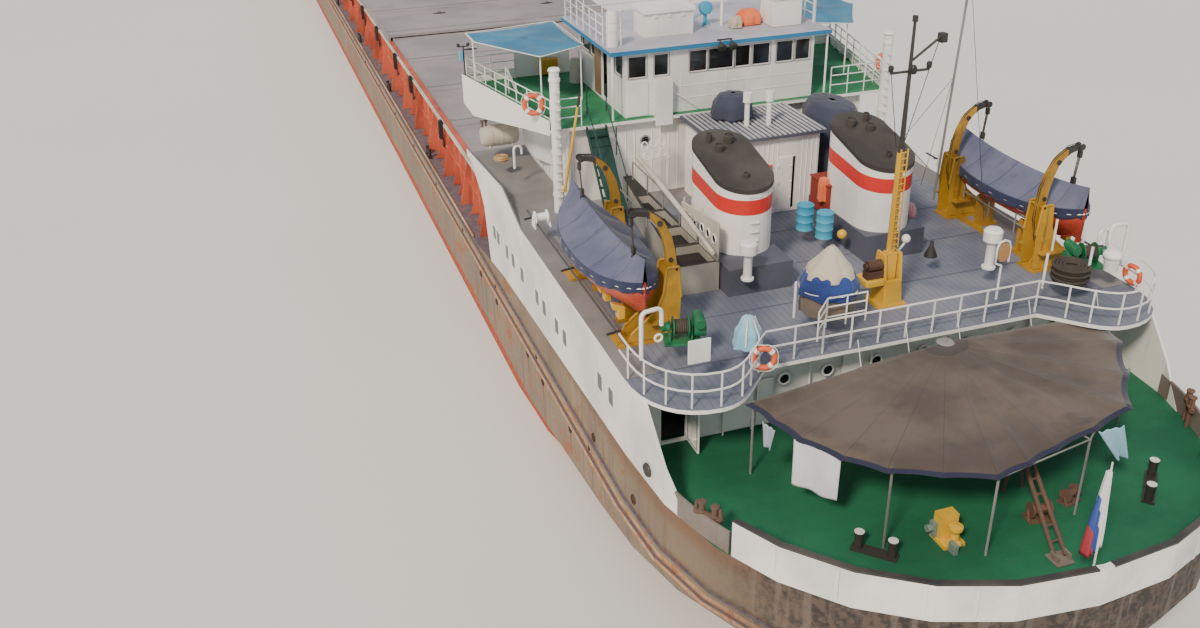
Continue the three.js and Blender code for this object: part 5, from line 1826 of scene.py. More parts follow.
mooring_winch("mooring_winch_port", 0.978, 0.648, 1)
mooring_winch("mooring_winch_starboard", 0.985, -0.690, -1)
FLOAT = (0.925, -0.735)
bm = bmesh.new()
add_ball(bm, at(*FLOAT, POOP + 0.052), 0.030, squash=0.6)
add_rod(bm, at(*FLOAT, POOP + CLEAR), at(*FLOAT, POOP + 0.05), 0.020, 0.026)
piece("white_float", bm, WHITE_TRIM, bevel=0.002)
print("winches ready")


# %% [markdown]
# Things under tarpaulins keep the shape of what is below, with folds that fan out from the top. The sheet is
# a grid whose one direction goes round and whose other runs down a short profile, and a sine wave that grows
# downwards folds it. A closed tube needs its two edges and its top point merged, or it would show a slit.

# %% Covered gear


def draped(name, foot, profile, material, folds, depth, stretch=(1, 1),
           lean=(0, 0), seed=1):
    """Canvas tied over something round. The profile gives radii and heights, from the top down."""
    draw = random.Random(seed)
    phases = [draw.uniform(0, math.tau) for _ in range(3)]
    bm, reach, seam = cloth_mesh()
    bmesh.ops.create_grid(bm, x_segments=72, y_segments=24, size=0.5)
    top = profile[0][1]
    span = len(profile) - 1
    for vert in bm.verts:
        angle, down = (vert.co.x + 0.5) * math.tau, 0.5 - vert.co.y
        place = min(down * span, span - 1e-6)
        high, low = profile[int(place)], profile[int(place) + 1]
        radius, height = (a + (b - a) * (place % 1) for a, b in zip(high, low))
        wave = math.sin(folds * angle + phases[0] + 2 * down)
        wave += 0.5 * math.sin((folds * 2 - 1) * angle + phases[1])
        radius *= 1 + depth * wave * (0.3 + 0.7 * down)
        height += 0.25 * depth * radius * math.sin((folds + 2) * angle + phases[2])
        rise = (height - profile[-1][1]) / max(top - profile[-1][1], 1e-6)
        x = radius * math.cos(angle) * stretch[0] + lean[0] * rise
        y = radius * math.sin(angle) * stretch[1] + lean[1] * rise
        vert.co = foot + Vector((x, y, height))
        vert[reach] = down
        vert[seam] = 1.0
    close_up(bm)
    return sheet(name, bm, material)


BROWN_TARP = canvas("grey_brown_tarpaulin", "6b5f53", "7d7062", "453c34")
cowl = at(1.0, 0.19, POOP + 0.001)
core = bmesh.new()
add_turned(core, cowl, [(0, 0), (0.062, 0), (0.062, 0.05), (0.058, 0.10), (0.03, 0.13), (0, 0.155)], sides=24)
piece("cowl_body", core, CREAM)
draped("cowl_skirt", cowl, [(0.068, 0.088), (0.076, 0.060), (0.080, 0.030), (0.077, 0.003)], BROWN_TARP, 9,
       0.035)
draped("cowl_blue_sheet", cowl, [(0.052, 0.133), (0.068, 0.118), (0.083, 0.090), (0.085, 0.062)], BLUE_TARP,
       7, 0.045, seed=4)
draped("cowl_tan_sheet", cowl, [(0.004, 0.196), (0.016, 0.186), (0.040, 0.158), (0.063, 0.132),
                                (0.070, 0.112)],
       TAN_TARP, 6, 0.05, lean=(0.012, -0.01), seed=7)
lashing = [[cowl + Vector((0.0835 * math.cos(turn), 0.0835 * math.sin(turn),
                           0.078 + 0.003 * math.sin(3 * turn)))
            for turn in (math.tau * step / 40 for step in range(41))]]
pipes("cowl_lashing", lashing, 0.0012, WHITE_TRIM)

STAND = (0.881, 0.497)
bm = bmesh.new()
add_block(bm, at(0.857, 0.475, POOP + CLEAR), at(0.905, 0.520, POOP + 0.045))
add_ball(bm, at(*STAND, POOP + 0.056), 0.018)
piece("covered_stand", bm, GREY_GREEN, bevel=0.002)
draped("covered_instrument", at(*STAND, POOP + 0.001),
       [(0.003, 0.098), (0.016, 0.090), (0.024, 0.066), (0.034, 0.050), (0.037, 0.022), (0.041, 0.006)],
       BLUE_CLOTH, 5, 0.10, seed=11)
STRAP = ((0.040, 0.020), (0.038, 0.050), (0.028, 0.068), (0.019, 0.090))
straps = [[at(*STAND, POOP) + Vector((math.cos(turn) * radius, math.sin(turn) * radius, height))
           for radius, height in STRAP] for turn in (2.6, 3.6, 4.7)]
pipes("instrument_straps", straps, 0.0024, WHITE_TRIM)
print("covered gear ready")

# %% [markdown]
# Round and loose gear: rope in coils, a hose reel, oil drums with rolled hoops, a red locker and boards
# lashed to the rail. A coil's turns come from a loop over rings, each a little larger than the one inside it.

# %% Loose gear
DRUM_RADII = (0.0275, 0.029, 0.0292)  # Of the side, the rims and the hoops


def rope_coil(name, centre, inner, rope, rounds, layers, material):
    bm = bmesh.new()
    for layer in range(layers):
        for number in range(rounds):
            radius = inner + rope * 2 * number + (rope if layer % 2 else 0)
            add_ring(bm, centre + over(rope * (1 + 1.75 * layer)), UP, radius, rope, sides=26, section=6)
    return piece(name, bm, material)


def oil_drum(name, x, y):
    """A drum with rolled rims and two hoops."""
    side, rim, hoop_rim = DRUM_RADII
    profile = [(0, 0), (side, 0), (rim, 0.0015), (side, 0.004)]
    for hoop in (0.028, 0.056):
        profile += [(side, hoop), (hoop_rim, hoop + 0.0025), (side, hoop + 0.005)]
    profile += [(side, 0.084), (rim, 0.0865), (side, 0.088), (side - 0.001, 0.085), (0, 0.085)]
    bm = bmesh.new()
    add_turned(bm, at(x, y, POOP + CLEAR), profile, sides=28)
    return piece(name, bm, LIGHT_BLUE)


rope_coil("hawser_coil", at(0.913, -0.576, POOP), 0.016, 0.0052, 4, 6, ROPE)
rope_coil("heaving_line", at(2.57, 0.760, POOP), 0.010, 0.0035, 3, 3,
          painted("hemp_line", Coat("b28a55", "c9a878")))
oil_drum("oil_drum_1", 1.462, -0.050)
oil_drum("oil_drum_2", 1.545, -0.022)
cap = bmesh.new()
add_ball(cap, at(1.425, -0.095, POOP + 0.018), 0.016)
piece("yellow_can", cap, YELLOW)

locker = bmesh.new()
add_block(locker, at(1.615, -0.240, POOP + CLEAR), at(1.735, -0.140, POOP + 0.105))
piece("red_locker", locker, RED_LEAD, bevel=0.004)
lid = bmesh.new()
add_block(lid, at(1.611, -0.244, POOP + 0.1062), at(1.739, -0.136, POOP + 0.111))
for y in (-0.215, -0.165):
    add_rod(lid, at(1.607, y - 0.008, POOP + 0.094), at(1.607, y + 0.008, POOP + 0.094), 0.003, sides=8)
piece("red_locker_lid", lid, RED_LEAD, bevel=0.001)
draped("locker_cloth", at(1.66, -0.212, POOP + 0.112),
       [(0.002, 0.018), (0.018, 0.014), (0.030, 0.004), (0.036, -0.018), (0.038, -0.034)], TAN_TARP, 5, 0.12,
       seed=21)
draped("orange_smock", at(1.640, -0.138, POOP + 0.112),
       [(0.002, 0.022), (0.014, 0.016), (0.018, -0.004), (0.017, -0.034), (0.018, -0.062)],
       canvas("orange_smock_cloth", "e0653a", "ee8050", "9c3a20"), 4, 0.14,
       seed=5)
draped("pink_bundle", at(1.508, -0.395, POOP + 0.002),
       [(0.002, 0.050), (0.016, 0.046), (0.024, 0.030), (0.025, 0.012), (0.020, 0.0005)],
       canvas("faded_red_cloth", "b8707c", "c98a90", "7c4250"), 5, 0.10,
       seed=9)

cone = bmesh.new()
add_turned(cone, at(1.21, -0.29, POOP + CLEAR),
           [(0, 0), (0.021, 0), (0.020, 0.005), (0.007, 0.034), (0.005, 0.052), (0, 0.053)])
piece("black_cone", cone, BLACK)

boards = bmesh.new()
add_block(boards, at(0.826, 0.628, POOP + 0.012), at(0.832, 0.692, POOP + 0.082))
piece("rail_board", boards, WHITE_TRIM, bevel=0.0015)
sign = bmesh.new()
add_pane(sign, at(0.884, -0.300, POOP + 0.150), (0, -1, 0), UP, (0.036, 0.056), 0.003, corner=0.9)
piece("post_board", sign, painted("varnished_board", Coat("b98d5e", "a87c4e", rust=0.2)))
HOOP = ((-1, 0.118), (-1, 0.165), (-0.7, 0.181), (0, 0.187), (0.7, 0.181), (1, 0.165), (1, 0.118), (0, 0.108))
POST = (0.886, -0.300)
hoop = [at(POST[0], POST[1] + 0.022 * across, POOP + height) for across, height in HOOP]
pipes("post_board_frame", [hoop, [at(*POST, POOP), at(*POST, POOP + 0.108)]], 0.0034, WHITE_TRIM)
print("loose gear ready")

# %% [markdown]
# A tall thin aerial pole stands by the starboard funnel, with thin wires from its top and its middle. The
# skylight over the engine room gets rails, round windows in its lids and a near-black plate in each open
# well, as painted shade for the dark below it. A cream spar lies along it, and a rack of spare window rims
# leans at its fore end.

# %% Aerial pole and skylight
POLE = (1.615, -0.565)
pole_top = at(POLE[0] - 0.01, POLE[1] - 0.03, 1.79)
pipes("aerial_pole", [[at(*POLE, POOP), pole_top]], 0.0042, GALVANISED)
pipes("aerial_wires", [[pole_top, at(1.40, -0.62, POOP)], [at(1.611, -0.58, 1.45), at(1.75, -0.60, POOP)],
                       [at(1.611, -0.58, 1.45), at(1.62, -0.42, 1.262)]], 0.0009, BLACK)

SKYLIGHT_CELLS = [1.350 + 0.150 * number for number in range(6)]
WELL_INNER = 0.3835
WELL_Z = 1.020


def skylight_edge(x):
    """The skylight's outer side, which follows the trunk in towards the fore end."""
    return 0.510 - 0.105 * (x - SKYLIGHT_CELLS[0]) / 0.800


# Near-black plates in the skylight's open wells: painted shade, for the dark of the engine room below
WELL_SHADE = painted("painted_well_shade", Coat("1d1a18", "2c2622", rust=0.1, runs=0.0), roughness=0.9)
SPAR = [(2.12, 0.360, 1.128), (1.86, 0.383, 1.134), (1.58, 0.404, 1.129), (1.285, 0.424, 1.112)]
spar = bmesh.new()
for start, end, thick, thin in zip(SPAR, SPAR[1:], (0.0082, 0.0092, 0.0086), (0.0092, 0.0086, 0.0066)):
    add_rod(spar, at(*start), at(*end), thick, thin, sides=14)
add_ball(spar, at(*SPAR[0]), 0.0085)
piece("leaning_spar", spar, CREAM)
# Each rail's place across, its lag, and the heights of its feet and its bar
SKYLIGHT_RAILS = ((0.384, 0.0, 1.0495, 1.118), (0.488, 0.03, 1.049, 1.085))
bars = [[at(x + lag, y, foot), at(x + lag, y, top)]
        for x in SKYLIGHT_CELLS[1:] for y, lag, foot, top in SKYLIGHT_RAILS]
bars += [[at(1.50 + lag, y, top), at(2.10, y, top)] for y, lag, foot, top in SKYLIGHT_RAILS]
pipes("skylight_rails", bars, 0.0026, GALVANISED)


def light_windows(name, node, face_y, out, rows, columns):
    """Round dark glasses with pale rims on an upright lid."""
    low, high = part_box(node)
    rims, panes = bmesh.new(), bmesh.new()
    for row in range(rows):
        for column in range(columns):
            x = low.x + (high.x - low.x) * (column + 0.5) / columns
            z = low.z + 0.012 + (high.z - low.z - 0.022) * (row + 0.5) / rows
            spot = Vector((x, face_y, z))
            add_ring(rims, spot + Vector((0, out * 0.001, 0)), (0, 1, 0), 0.0145, 0.0024, sides=22, section=6)
            add_rod(panes, spot, spot + Vector((0, out * 0.0012, 0)), 0.0135, sides=20)
    piece(f"{name}_rims", rims, WHITE_TRIM, body=node)
    return piece(f"{name}_glass", panes, GLASS.material, body=node)


for node in ("skylight_lid_1", "skylight_lid_2"):
    low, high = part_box(node)
    light_windows(f"{node}_outer", node, high.y + 0.0004, 1, 1, 3)
    light_windows(f"{node}_inner", node, low.y - 0.0004, -1, 1, 3)
    ribs = bmesh.new()
    for x in (low.x + 0.004, (low.x + high.x) / 2 - 0.05, high.x - 0.008):
        add_block(ribs, (x, low.y - 0.004, low.z + 0.004), (x + 0.004, low.y - 0.0002, high.z - 0.004))
    piece(f"{node}_ribs", ribs, CREAM, body=node)

rack = bmesh.new()
across, lean = Vector((0.25, -1, 0)), Vector((0.32, 0.08, 0.95))
corner = at(2.085, 0.300, POOP + 0.104)
for row in range(2):
    for column in range(3):
        spot = corner + across.normalized() * 0.036 * (column - 1) + lean.normalized() * (0.020 + 0.038 * row)
        add_ring(rack, spot, across.cross(lean), 0.0135, 0.0028, sides=20, section=6)
add_frame(rack, corner + lean.normalized() * 0.040, across, lean, (0.118, 0.086), 0.005, 0.004)
for shift in (-0.05, 0.05):
    top = corner + across.normalized() * shift
    add_rod(rack, top + lean.normalized() * 0.002, Vector((top.x, top.y, POOP + CLEAR)), 0.003, sides=8)
piece("window_rack", rack, WHITE_TRIM)
wells = bmesh.new()
for start, end in zip(SKYLIGHT_CELLS[:4], SKYLIGHT_CELLS[1:]):
    outer = [skylight_edge(x) - 0.0115 for x in (start, end)]
    corners = [at(start + 0.011, WELL_INNER, WELL_Z), at(end - 0.011, WELL_INNER, WELL_Z),
               at(end - 0.011, outer[1], WELL_Z), at(start + 0.011, outer[0], WELL_Z)]
    add_plate(wells, corners, (0, 0, 0.001))
piece("skylight_well_shade", wells, WELL_SHADE)
print("skylight gear ready")

# %% [markdown]
# The houses are built of ribbed plate. Each rib is a bead pressed into the steel, so it reads as a thin
# half-round bar, and a loop sets them along each wall. Between the ribs come doors, portholes and the raised
# panels.

# %% House walls
HOUSE_X = (2.200, 2.820)
HOUSE_Y = 0.590
HOUSE_TOP = BRIDGE - 0.0125
CASING_X = 1.850
CASING_Y = (-0.228, 0.153)
CASING_TOP = BRIDGE - 0.005
CASING_DOOR = (-0.140, -0.075)
WALL_FOOT = 0.956
CASING_RIB = 0.019
BEAD = 0.0022


def beads(bm, spots, low, high, radius=BEAD):
    for x, y in spots:
        add_rod(bm, at(x, y, low), at(x, y, high), radius, sides=8)


def porthole(rims, panes, centre, out, radius=0.0165):
    """A raised rim with a flat pane of dark glass, facing the way of out."""
    lip = [(-0.003, 0.0), (-0.003, 0.0030), (0.0, 0.0042), (0.003, 0.0030), (0.0035, 0.0)]
    add_turned(rims, centre, [(radius + out_by, height) for out_by, height in lip], axis=out, sides=28)
    inside = radius - 0.0025
    add_turned(panes, centre, [(0, 0.0016), (inside, 0.0016), (inside, 0.0)], axis=out, sides=28)


bm = bmesh.new()
spots = [(HOUSE_X[0] - 0.0004, -0.578 + 0.034 * number) for number in range(35)]
beads(bm, [spot for spot in spots if abs(spot[1] - 0.299) > 0.02 and not 0.455 < spot[1] < 0.545], WALL_FOOT,
      HOUSE_TOP)
for side in (1, -1):
    spots = [(2.235 + 0.046 * number, side * (HOUSE_Y + 0.0004)) for number in range(13)]
    beads(bm, [spot for spot in spots if not 2.31 < spot[0] < 2.40], WALL_FOOT, HOUSE_TOP)
piece("house_beads", bm, WHITE_TRIM)

bm = bmesh.new()
spots = [(CASING_X - 0.0004, CASING_Y[0] + 0.008 + CASING_RIB * number) for number in range(20)]
beads(bm, [spot for spot in spots if not CASING_DOOR[0] - 0.006 < spot[1] < CASING_DOOR[1] + 0.006],
      WALL_FOOT, CASING_TOP - 0.011)
for y, out in ((CASING_Y[0], -0.0004), (CASING_Y[1], 0.0004)):
    beads(bm, [(1.862 + CASING_RIB * number, y + out) for number in range(16)], WALL_FOOT, CASING_TOP - 0.011)
piece("casing_beads", bm, WHITE_TRIM)

leaf = bmesh.new()
add_block(leaf, at(CASING_X - 0.003, CASING_DOOR[0] + 0.013, 0.958),
          at(CASING_X, CASING_DOOR[1] + 0.004, 1.158))
hinge = CASING_DOOR[1] + 0.003
for z in (1.0, 1.06, 1.12):
    add_rod(leaf, at(CASING_X - 0.0045, hinge, z), at(CASING_X - 0.0045, hinge, z + 0.012), 0.003, sides=8)
    add_block(leaf, at(CASING_X - 0.0055, CASING_DOOR[0] + 0.014, z),
              at(CASING_X - 0.003, CASING_DOOR[0] + 0.022, z + 0.006))
piece("casing_door", leaf, WHITE_TRIM, bevel=0.001)
boxes = bmesh.new()
for y, z in ((0.028, 1.118), (-0.045, 1.128), (0.128, 1.06)):
    add_block(boxes, at(CASING_X - 0.010, y, z), at(CASING_X - 0.0015, y + 0.013, z + 0.009))
piece("casing_alarm_boxes", boxes, RESCUE, bevel=0.001)

rims, panes = bmesh.new(), bmesh.new()
porthole(rims, panes, at(HOUSE_X[0] - 0.0003, 0.299, 1.158), (-1, 0, 0))
porthole(rims, panes, at(HOUSE_X[0] - 0.0003, -0.330, 1.158), (-1, 0, 0))
for side in (1, -1):
    for x in (2.66, 2.75):
        porthole(rims, panes, at(x, side * (HOUSE_Y + 0.0003), 1.125), (0, side, 0))
for y in (-0.45, -0.27, -0.09, 0.09, 0.27, 0.45):
    porthole(rims, panes, at(HOUSE_X[1] + 0.0003, y, 1.115), (1, 0, 0))
piece("house_porthole_rims", rims, GALVANISED)
piece("house_porthole_glass", panes, GLASS.material)

RIB_PAINT = painted("roof_rib_paint", Coat("c4c3c4", "9c9ca2", rust=0.2))
ROOF_RIBS = [-0.240 + 0.0192 * number for number in range(22)]
ribs = bmesh.new()
for y in ROOF_RIBS:
    add_rod(ribs, at(1.834, y, CASING_TOP + 0.0005), at(2.166, y, CASING_TOP + 0.0005), 0.0042, sides=8)
piece("casing_roof_ribs", ribs, RIB_PAINT)


def side_bulge(name, side):
    """The rounded swell of the upper house's side, abaft its fore corner."""
    plan = [(2.818, 0.5906), (2.818, 0.612), (2.718, 0.627), (2.640, 0.632), (2.574, 0.631), (2.520, 0.622),
            (2.481, 0.609), (2.440, 0.5906)]
    bm = bmesh.new()
    add_plate(bm, [at(x, side * y, POOP + 0.0008) for x, y in plan], (0, 0, BRIDGE - 0.0128 - POOP))
    add_block(bm, at(2.566, side * 0.6305 - 0.002, 1.080), at(2.572, side * 0.6305 + 0.002, 1.106))
    return piece(name, bm, WHITE_TRIM, bevel=0.002)


both(side_bulge, "house_side")
print("walls ready")

# %% [markdown]
# Aft, the lower house's wall stands in the shade of the boat deck. It has pale panels, pipes and portholes at
# even steps. The same porthole function serves every wall, because it takes the way that the wall faces.

# %% Lower house
LOWER_X = 0.9497
bm, rims, panes = bmesh.new(), bmesh.new(), bmesh.new()
for y in (-0.60, -0.44, -0.28, -0.12, 0.04, 0.20, 0.34):
    porthole(rims, panes, at(LOWER_X, y, 0.845), (-1, 0, 0), radius=0.0175)
for y, width, height in ((0.482, 0.09, 0.15), (0.40, 0.05, 0.15), (-0.52, 0.065, 0.19), (0.12, 0.065, 0.19)):
    middle = at(LOWER_X, y, AFT_DECK + 0.012 + height / 2)
    add_pane(bm, middle, (0, -1, 0), UP, (width, height), 0.003, corner=0.1)
beads(bm, [(LOWER_X - 0.004, y) for y in (-0.36, -0.20, 0.06, 0.26, 0.44, 0.53)], AFT_DECK + 0.001, 0.936,
      radius=0.0028)
piece("lower_house_panels", bm, WHITE_TRIM, bevel=0.0008)
piece("lower_house_porthole_rims", rims, WHITE_TRIM)
piece("lower_house_porthole_glass", panes, GLASS.material)
print("lower house ready")

# %% [markdown]
# The stairs to the bridge, a pressure tank that lies on its side and the small winches of the boats are all
# built of round bars, turned profiles and plates. The stairs' flights are CAD, so only their backing and
# rails are added.

# %% Stairs, tank and boat winches
STAIR_X = (1.925, 2.160)
STAIR_Y = (0.4665, 0.5335)
STAIR_RISE = 1.22
bm = bmesh.new()
foot = [at(STAIR_X[0], y, POOP + 0.0008) for y in STAIR_Y]
head = [at(STAIR_X[1], y, BRIDGE - 0.014) for y in STAIR_Y[::-1]]
add_plate(bm, foot + head, (0.003, 0, -0.0005))
piece("stair_backing", bm, STAIR_GREEN)
rails = []
for y in (0.464, 0.536):
    rails.append([at(STAIR_X[0], y, POOP + 0.10), at(2.155, y, BRIDGE + 0.09)])
    for x in (1.935, 2.045, 2.150):
        foot = POOP + 0.012 + (x - STAIR_X[0]) * STAIR_RISE
        rails.append([at(x, y, foot), at(x, y, foot + 0.10)])
pipes("stair_rails", rails, 0.0022, STAIR_GREEN)

TANK_X = 2.745
tank = bmesh.new()
profile = [(0, 0), (0.032, 0.003), (0.040, 0.012), (0.043, 0.05), (0.043, 0.125), (0.040, 0.143),
           (0.032, 0.152), (0, 0.155)]
add_turned(tank, at(TANK_X, 0.645, POOP + 0.046), profile, axis=(0, 1, 0), sides=32)
for y in (0.68, 0.72, 0.76):
    add_band(tank, at(TANK_X, y, POOP + 0.046), 0.0425, 0.0445, 0.003, axis=(0, 1, 0), sides=32)
for x in (2.720, 2.770):
    for y in (0.675, 0.768):
        add_rod(tank, at(x, y, POOP + CLEAR), at(x, y, POOP + 0.020), 0.005, sides=8)
piece("deck_tank", tank, CREAM)
bm = bmesh.new()
for y in (0.775, 0.790):
    add_rod(bm, at(TANK_X, y, POOP + 0.085), at(TANK_X, y, POOP + 0.108), 0.004, sides=8)
    add_ring(bm, at(TANK_X, y, POOP + 0.110), UP, 0.007, 0.0018, sides=16, section=6)
piece("tank_valves", bm, RUSTED)


def fall_winch(name, side):
    """A small white drum by the boat, with its cheeks."""
    bm = bmesh.new()
    add_drum(bm, at(1.885, side * 0.792, POOP + 0.034), (0, 1, 0), 0.046, 0.014, 0.023)
    for y in (0.763, 0.817):
        feet = [at(1.862, side * y, POOP + CLEAR), at(1.908, side * y, POOP + CLEAR)]
        tops = [at(1.892, side * y, POOP + 0.042), at(1.878, side * y, POOP + 0.042)]
        add_plate(bm, [*feet, *tops], (0, side * 0.004, 0))
    return piece(name, bm, WHITE_TRIM, bevel=0.001)


both(fall_winch, "fall_winch")
print("stairs, tank and boat winches ready")

# %% [markdown]
# The wheelhouse has windows all round, cut through its CAD walls. Each one gets a pale frame on the wall and
# a pane of dark glass set in the opening. One loop reads the rows of openings on each wall.

# %% Wheelhouse windows
WHEELHOUSE_X = (2.200, 2.760)
WHEELHOUSE_Y = 0.375
WINDOW_Z = (1.396, 1.470)
AFT_WINDOWS = [(0.295, 0.360), (0.210, 0.262), (0.060, 0.125), (-0.045, 0.050), (-0.112, -0.056),
               (-0.192, -0.126), (-0.286, -0.222), (-0.356, -0.300)]
FORE_WINDOWS = [(-0.358 + 0.092 * number, -0.286 + 0.092 * number) for number in range(8)]
SIDE_WINDOWS = [(2.232, 2.305), (2.500, 2.590), (2.610, 2.700)]
WALL_DEPTH = 0.004

PANE = Finish("window_glass", Roughness=0.06, Alpha=0.82)
PANE.paint(PANE.mix(PANE.noise(5.0, 3).fade(0.4, 0.6), "12161a", "2c343b"))
frames, panes = bmesh.new(), bmesh.new()
HEIGHT = WINDOW_Z[1] - WINDOW_Z[0]


def window(centre, across, width):
    """A frame on the wall and a pane in the opening; both face the way of across × up."""
    out = Vector(across).cross(UP)
    add_frame(frames, centre + out * 0.0004, across, UP, (width + 0.008, HEIGHT + 0.008), 0.0052, 0.0028)
    add_pane(panes, centre - out * WALL_DEPTH, across, UP, (width - 0.0008, HEIGHT - 0.0008), 0.0012,
             corner=0.0)


middle_z = sum(WINDOW_Z) / 2
for low, high in AFT_WINDOWS:
    window(at(WHEELHOUSE_X[0], (low + high) / 2, middle_z), (0, -1, 0), high - low)
for low, high in FORE_WINDOWS:
    window(at(WHEELHOUSE_X[1], (low + high) / 2, middle_z), (0, 1, 0), high - low)
for side in (1, -1):
    for low, high in SIDE_WINDOWS:
        window(at((low + high) / 2, side * WHEELHOUSE_Y, middle_z), (-side, 0, 0), high - low)
piece("wheelhouse_window_frames", frames, WHITE_TRIM)
piece("wheelhouse_glass", panes, PANE.material)

panels = bmesh.new()
add_pane(panels, at(WHEELHOUSE_X[0] - 0.0004, 0.328, 1.318), (0, -1, 0), UP, (0.080, 0.130), 0.0035,
         corner=0.1)
PANEL_X = WHEELHOUSE_X[0] - 0.0005
add_block(panels, at(2.1660, 0.203, BRIDGE + CLEAR), at(2.1996, 0.270, 1.385))
add_block(panels, at(2.1660, 0.203, BRIDGE - 0.032), at(2.1696, 0.270, BRIDGE + CLEAR))
beads(panels, [(PANEL_X, y) for y in (0.16, -0.02, -0.20)], BRIDGE + 0.004, 1.388, radius=0.0014)
for z in (1.300, 1.345):
    add_rod(panels, at(PANEL_X, -0.37, z), at(PANEL_X, 0.19, z), 0.0012, sides=6)
add_rod(panels, at(2.192, 0.192, 1.330), at(2.180, 0.095, 1.268), 0.0018, sides=6)
piece("wheelhouse_panels", panels, WHITE_TRIM, bevel=0.0008)

doors = bmesh.new()
for side in (1, -1):
    add_block(doors, at(2.470, side * (WHEELHOUSE_Y + 0.0015), BRIDGE + 0.012),
              at(2.535, side * (WHEELHOUSE_Y + 0.0055), WINDOW_Z[1]))
piece("wheelhouse_doors", doors, painted("varnished_door", Coat("7c6249", "8c7156")),
      bevel=0.001)
print("wheelhouse windows", len(AFT_WINDOWS) + len(FORE_WINDOWS) + 2 * len(SIDE_WINDOWS))

# %% [markdown]
# Each wing has an open rail above its deep edge plate, and lamps at its fore corner. Over it is a light sheet
# of blue canvas with a white bolt rope, laced to its posts. It is a fan of panels again, with a shallow sag.

# %% Bridge wings
WING_RIM = [(2.820, 0.815), (2.885, 0.440), (2.470, 0.440), (2.370, 0.640), (2.680, 0.815)]
WING_TOP = 1.461
WING_RAIL_HEIGHT = 0.105
LAMP_SPREAD = 0.020


def wing_awning(name, side):
    corners = [at(x, side * y, WING_TOP) for x, y in WING_RIM]
    middle = sum(corners, Vector()) / len(corners) + over(0.004)
    made = sheet(f"{name}_cloth", fan(middle, corners, sag=0.012, pull=0.03, cuts=9), WING_CLOTH,
                 replaced=name)
    pipes(f"{name}_rope", [bent([*corners, corners[0]], 0.02)], 0.0018, WHITE_TRIM)
    return made


def wing_gear(name, side):
    """Rails round the wing, a corner post with a blue screen, and two dark lamps."""
    aft_end = 0.548 if side > 0 else 0.445
    feet = [(2.866, 0.614), (2.866, 0.812), (2.180, 0.662), (2.180, aft_end)]
    rail = railing([at(x, side * y, BRIDGE) for x, y in feet], WING_RAIL_HEIGHT, BARS, 0.085)
    pipes(f"{name}_rails", rail, 0.0024, WHITE_TRIM)
    lamps, screen = bmesh.new(), bmesh.new()
    post = at(2.870, side * 0.818, BRIDGE + CLEAR)
    add_rod(lamps, post, post + over(0.152), 0.0028, sides=8)
    add_rod(lamps, post + Vector((0, -LAMP_SPREAD, 0.148)), post + Vector((0, LAMP_SPREAD, 0.148)), 0.0022,
            sides=8)
    for shift in (-LAMP_SPREAD, LAMP_SPREAD):
        add_ball(lamps, post + Vector((0, shift, 0.155)), 0.0075)
    piece(f"{name}_lamps", lamps, BLACK)
    add_block(screen, at(2.860, side * 0.822, BRIDGE + 0.094), at(2.884, side * 0.836, BRIDGE + 0.130))
    return piece(f"{name}_screen", screen, LIGHT_BLUE, bevel=0.002)


both(wing_awning, "wing_awning")
both(wing_gear, "wing")
bm = bmesh.new()
add_block(bm, at(2.845, 0.437, BRIDGE + 0.006), at(2.8716, 0.509, BRIDGE + 0.068))
piece("yellow_box", bm, YELLOW, bevel=0.002)
bm = bmesh.new()
add_turned(bm, at(2.715, 0.402, BRIDGE + CLEAR),
           [(0, 0), (0.024, 0), (0.024, 0.088), (0.019, 0.096), (0, 0.097)], sides=24)
piece("cream_canister", bm, CREAM)
LEG_X = (2.668, 2.708)
LEG_Y = 0.69
LEG_TOP = BRIDGE + 0.092
stand = [[at(x, LEG_Y, BRIDGE), at(x, LEG_Y, LEG_TOP)] for x in LEG_X]
stand += [[at(x, LEG_Y, z) for x in LEG_X] for z in (BRIDGE + 0.03, BRIDGE + 0.06, LEG_TOP)]
stand += [[at(x, LEG_Y, LEG_TOP), at(x, 0.655, BRIDGE)] for x in LEG_X]
pipes("folded_stand", stand, 0.0026, WHITE_TRIM)
life_ring("life_ring_wing", at(2.245, 0.706, BRIDGE + 0.078), (-1, 0.35, 0.3), size=1.12)
life_ring("life_ring_wing_starboard", at(2.245, -0.706, BRIDGE + 0.078), (-1, -0.35, 0.3), size=1.12)
print("wings ready")

# %% [markdown]
# The wheelhouse roof carries rails along its sides and front, a tall white canister, two lockers, a blue
# searchlight, orange buoyancy under a net, poles and two floodlights that hang over the aft edge.

# %% Wheelhouse roof
ROOF_RAIL_HEIGHT = 0.098
edge = [(2.300, 0.422), (2.765, 0.422), (2.765, -0.422), (2.300, -0.422)]
rail = railing([at(x, y, ROOF) for x, y in edge], ROOF_RAIL_HEIGHT, BARS, 0.078)
pipes("roof_rail", rail, 0.0026, WHITE_TRIM)
stub = [at(2.258, 0.420, ROOF), at(2.258, 0.368, ROOF)]
pipes("roof_rail_stub", railing(stub, ROOF_RAIL_HEIGHT, BARS, 0.06), 0.0026, WHITE_TRIM)
bm = bmesh.new()
add_turned(bm, at(2.262, 0.400, ROOF + CLEAR),
           [(0, 0), (0.021, 0), (0.021, 0.118), (0.017, 0.127), (0, 0.129)], sides=24)
for z in (0.03, 0.06, 0.09):
    add_band(bm, at(2.262, 0.400, ROOF + z), 0.0208, 0.0222, 0.003)
piece("roof_canister", bm, WHITE_TRIM)
bm = bmesh.new()
add_block(bm, at(2.322, 0.053, ROOF + 0.0856), at(2.458, 0.257, ROOF + 0.102))
add_block(bm, at(2.290, -0.364, ROOF + CLEAR), at(2.400, -0.245, ROOF + 0.098))
add_block(bm, at(2.286, -0.368, ROOF + 0.0986), at(2.404, -0.241, ROOF + 0.106))
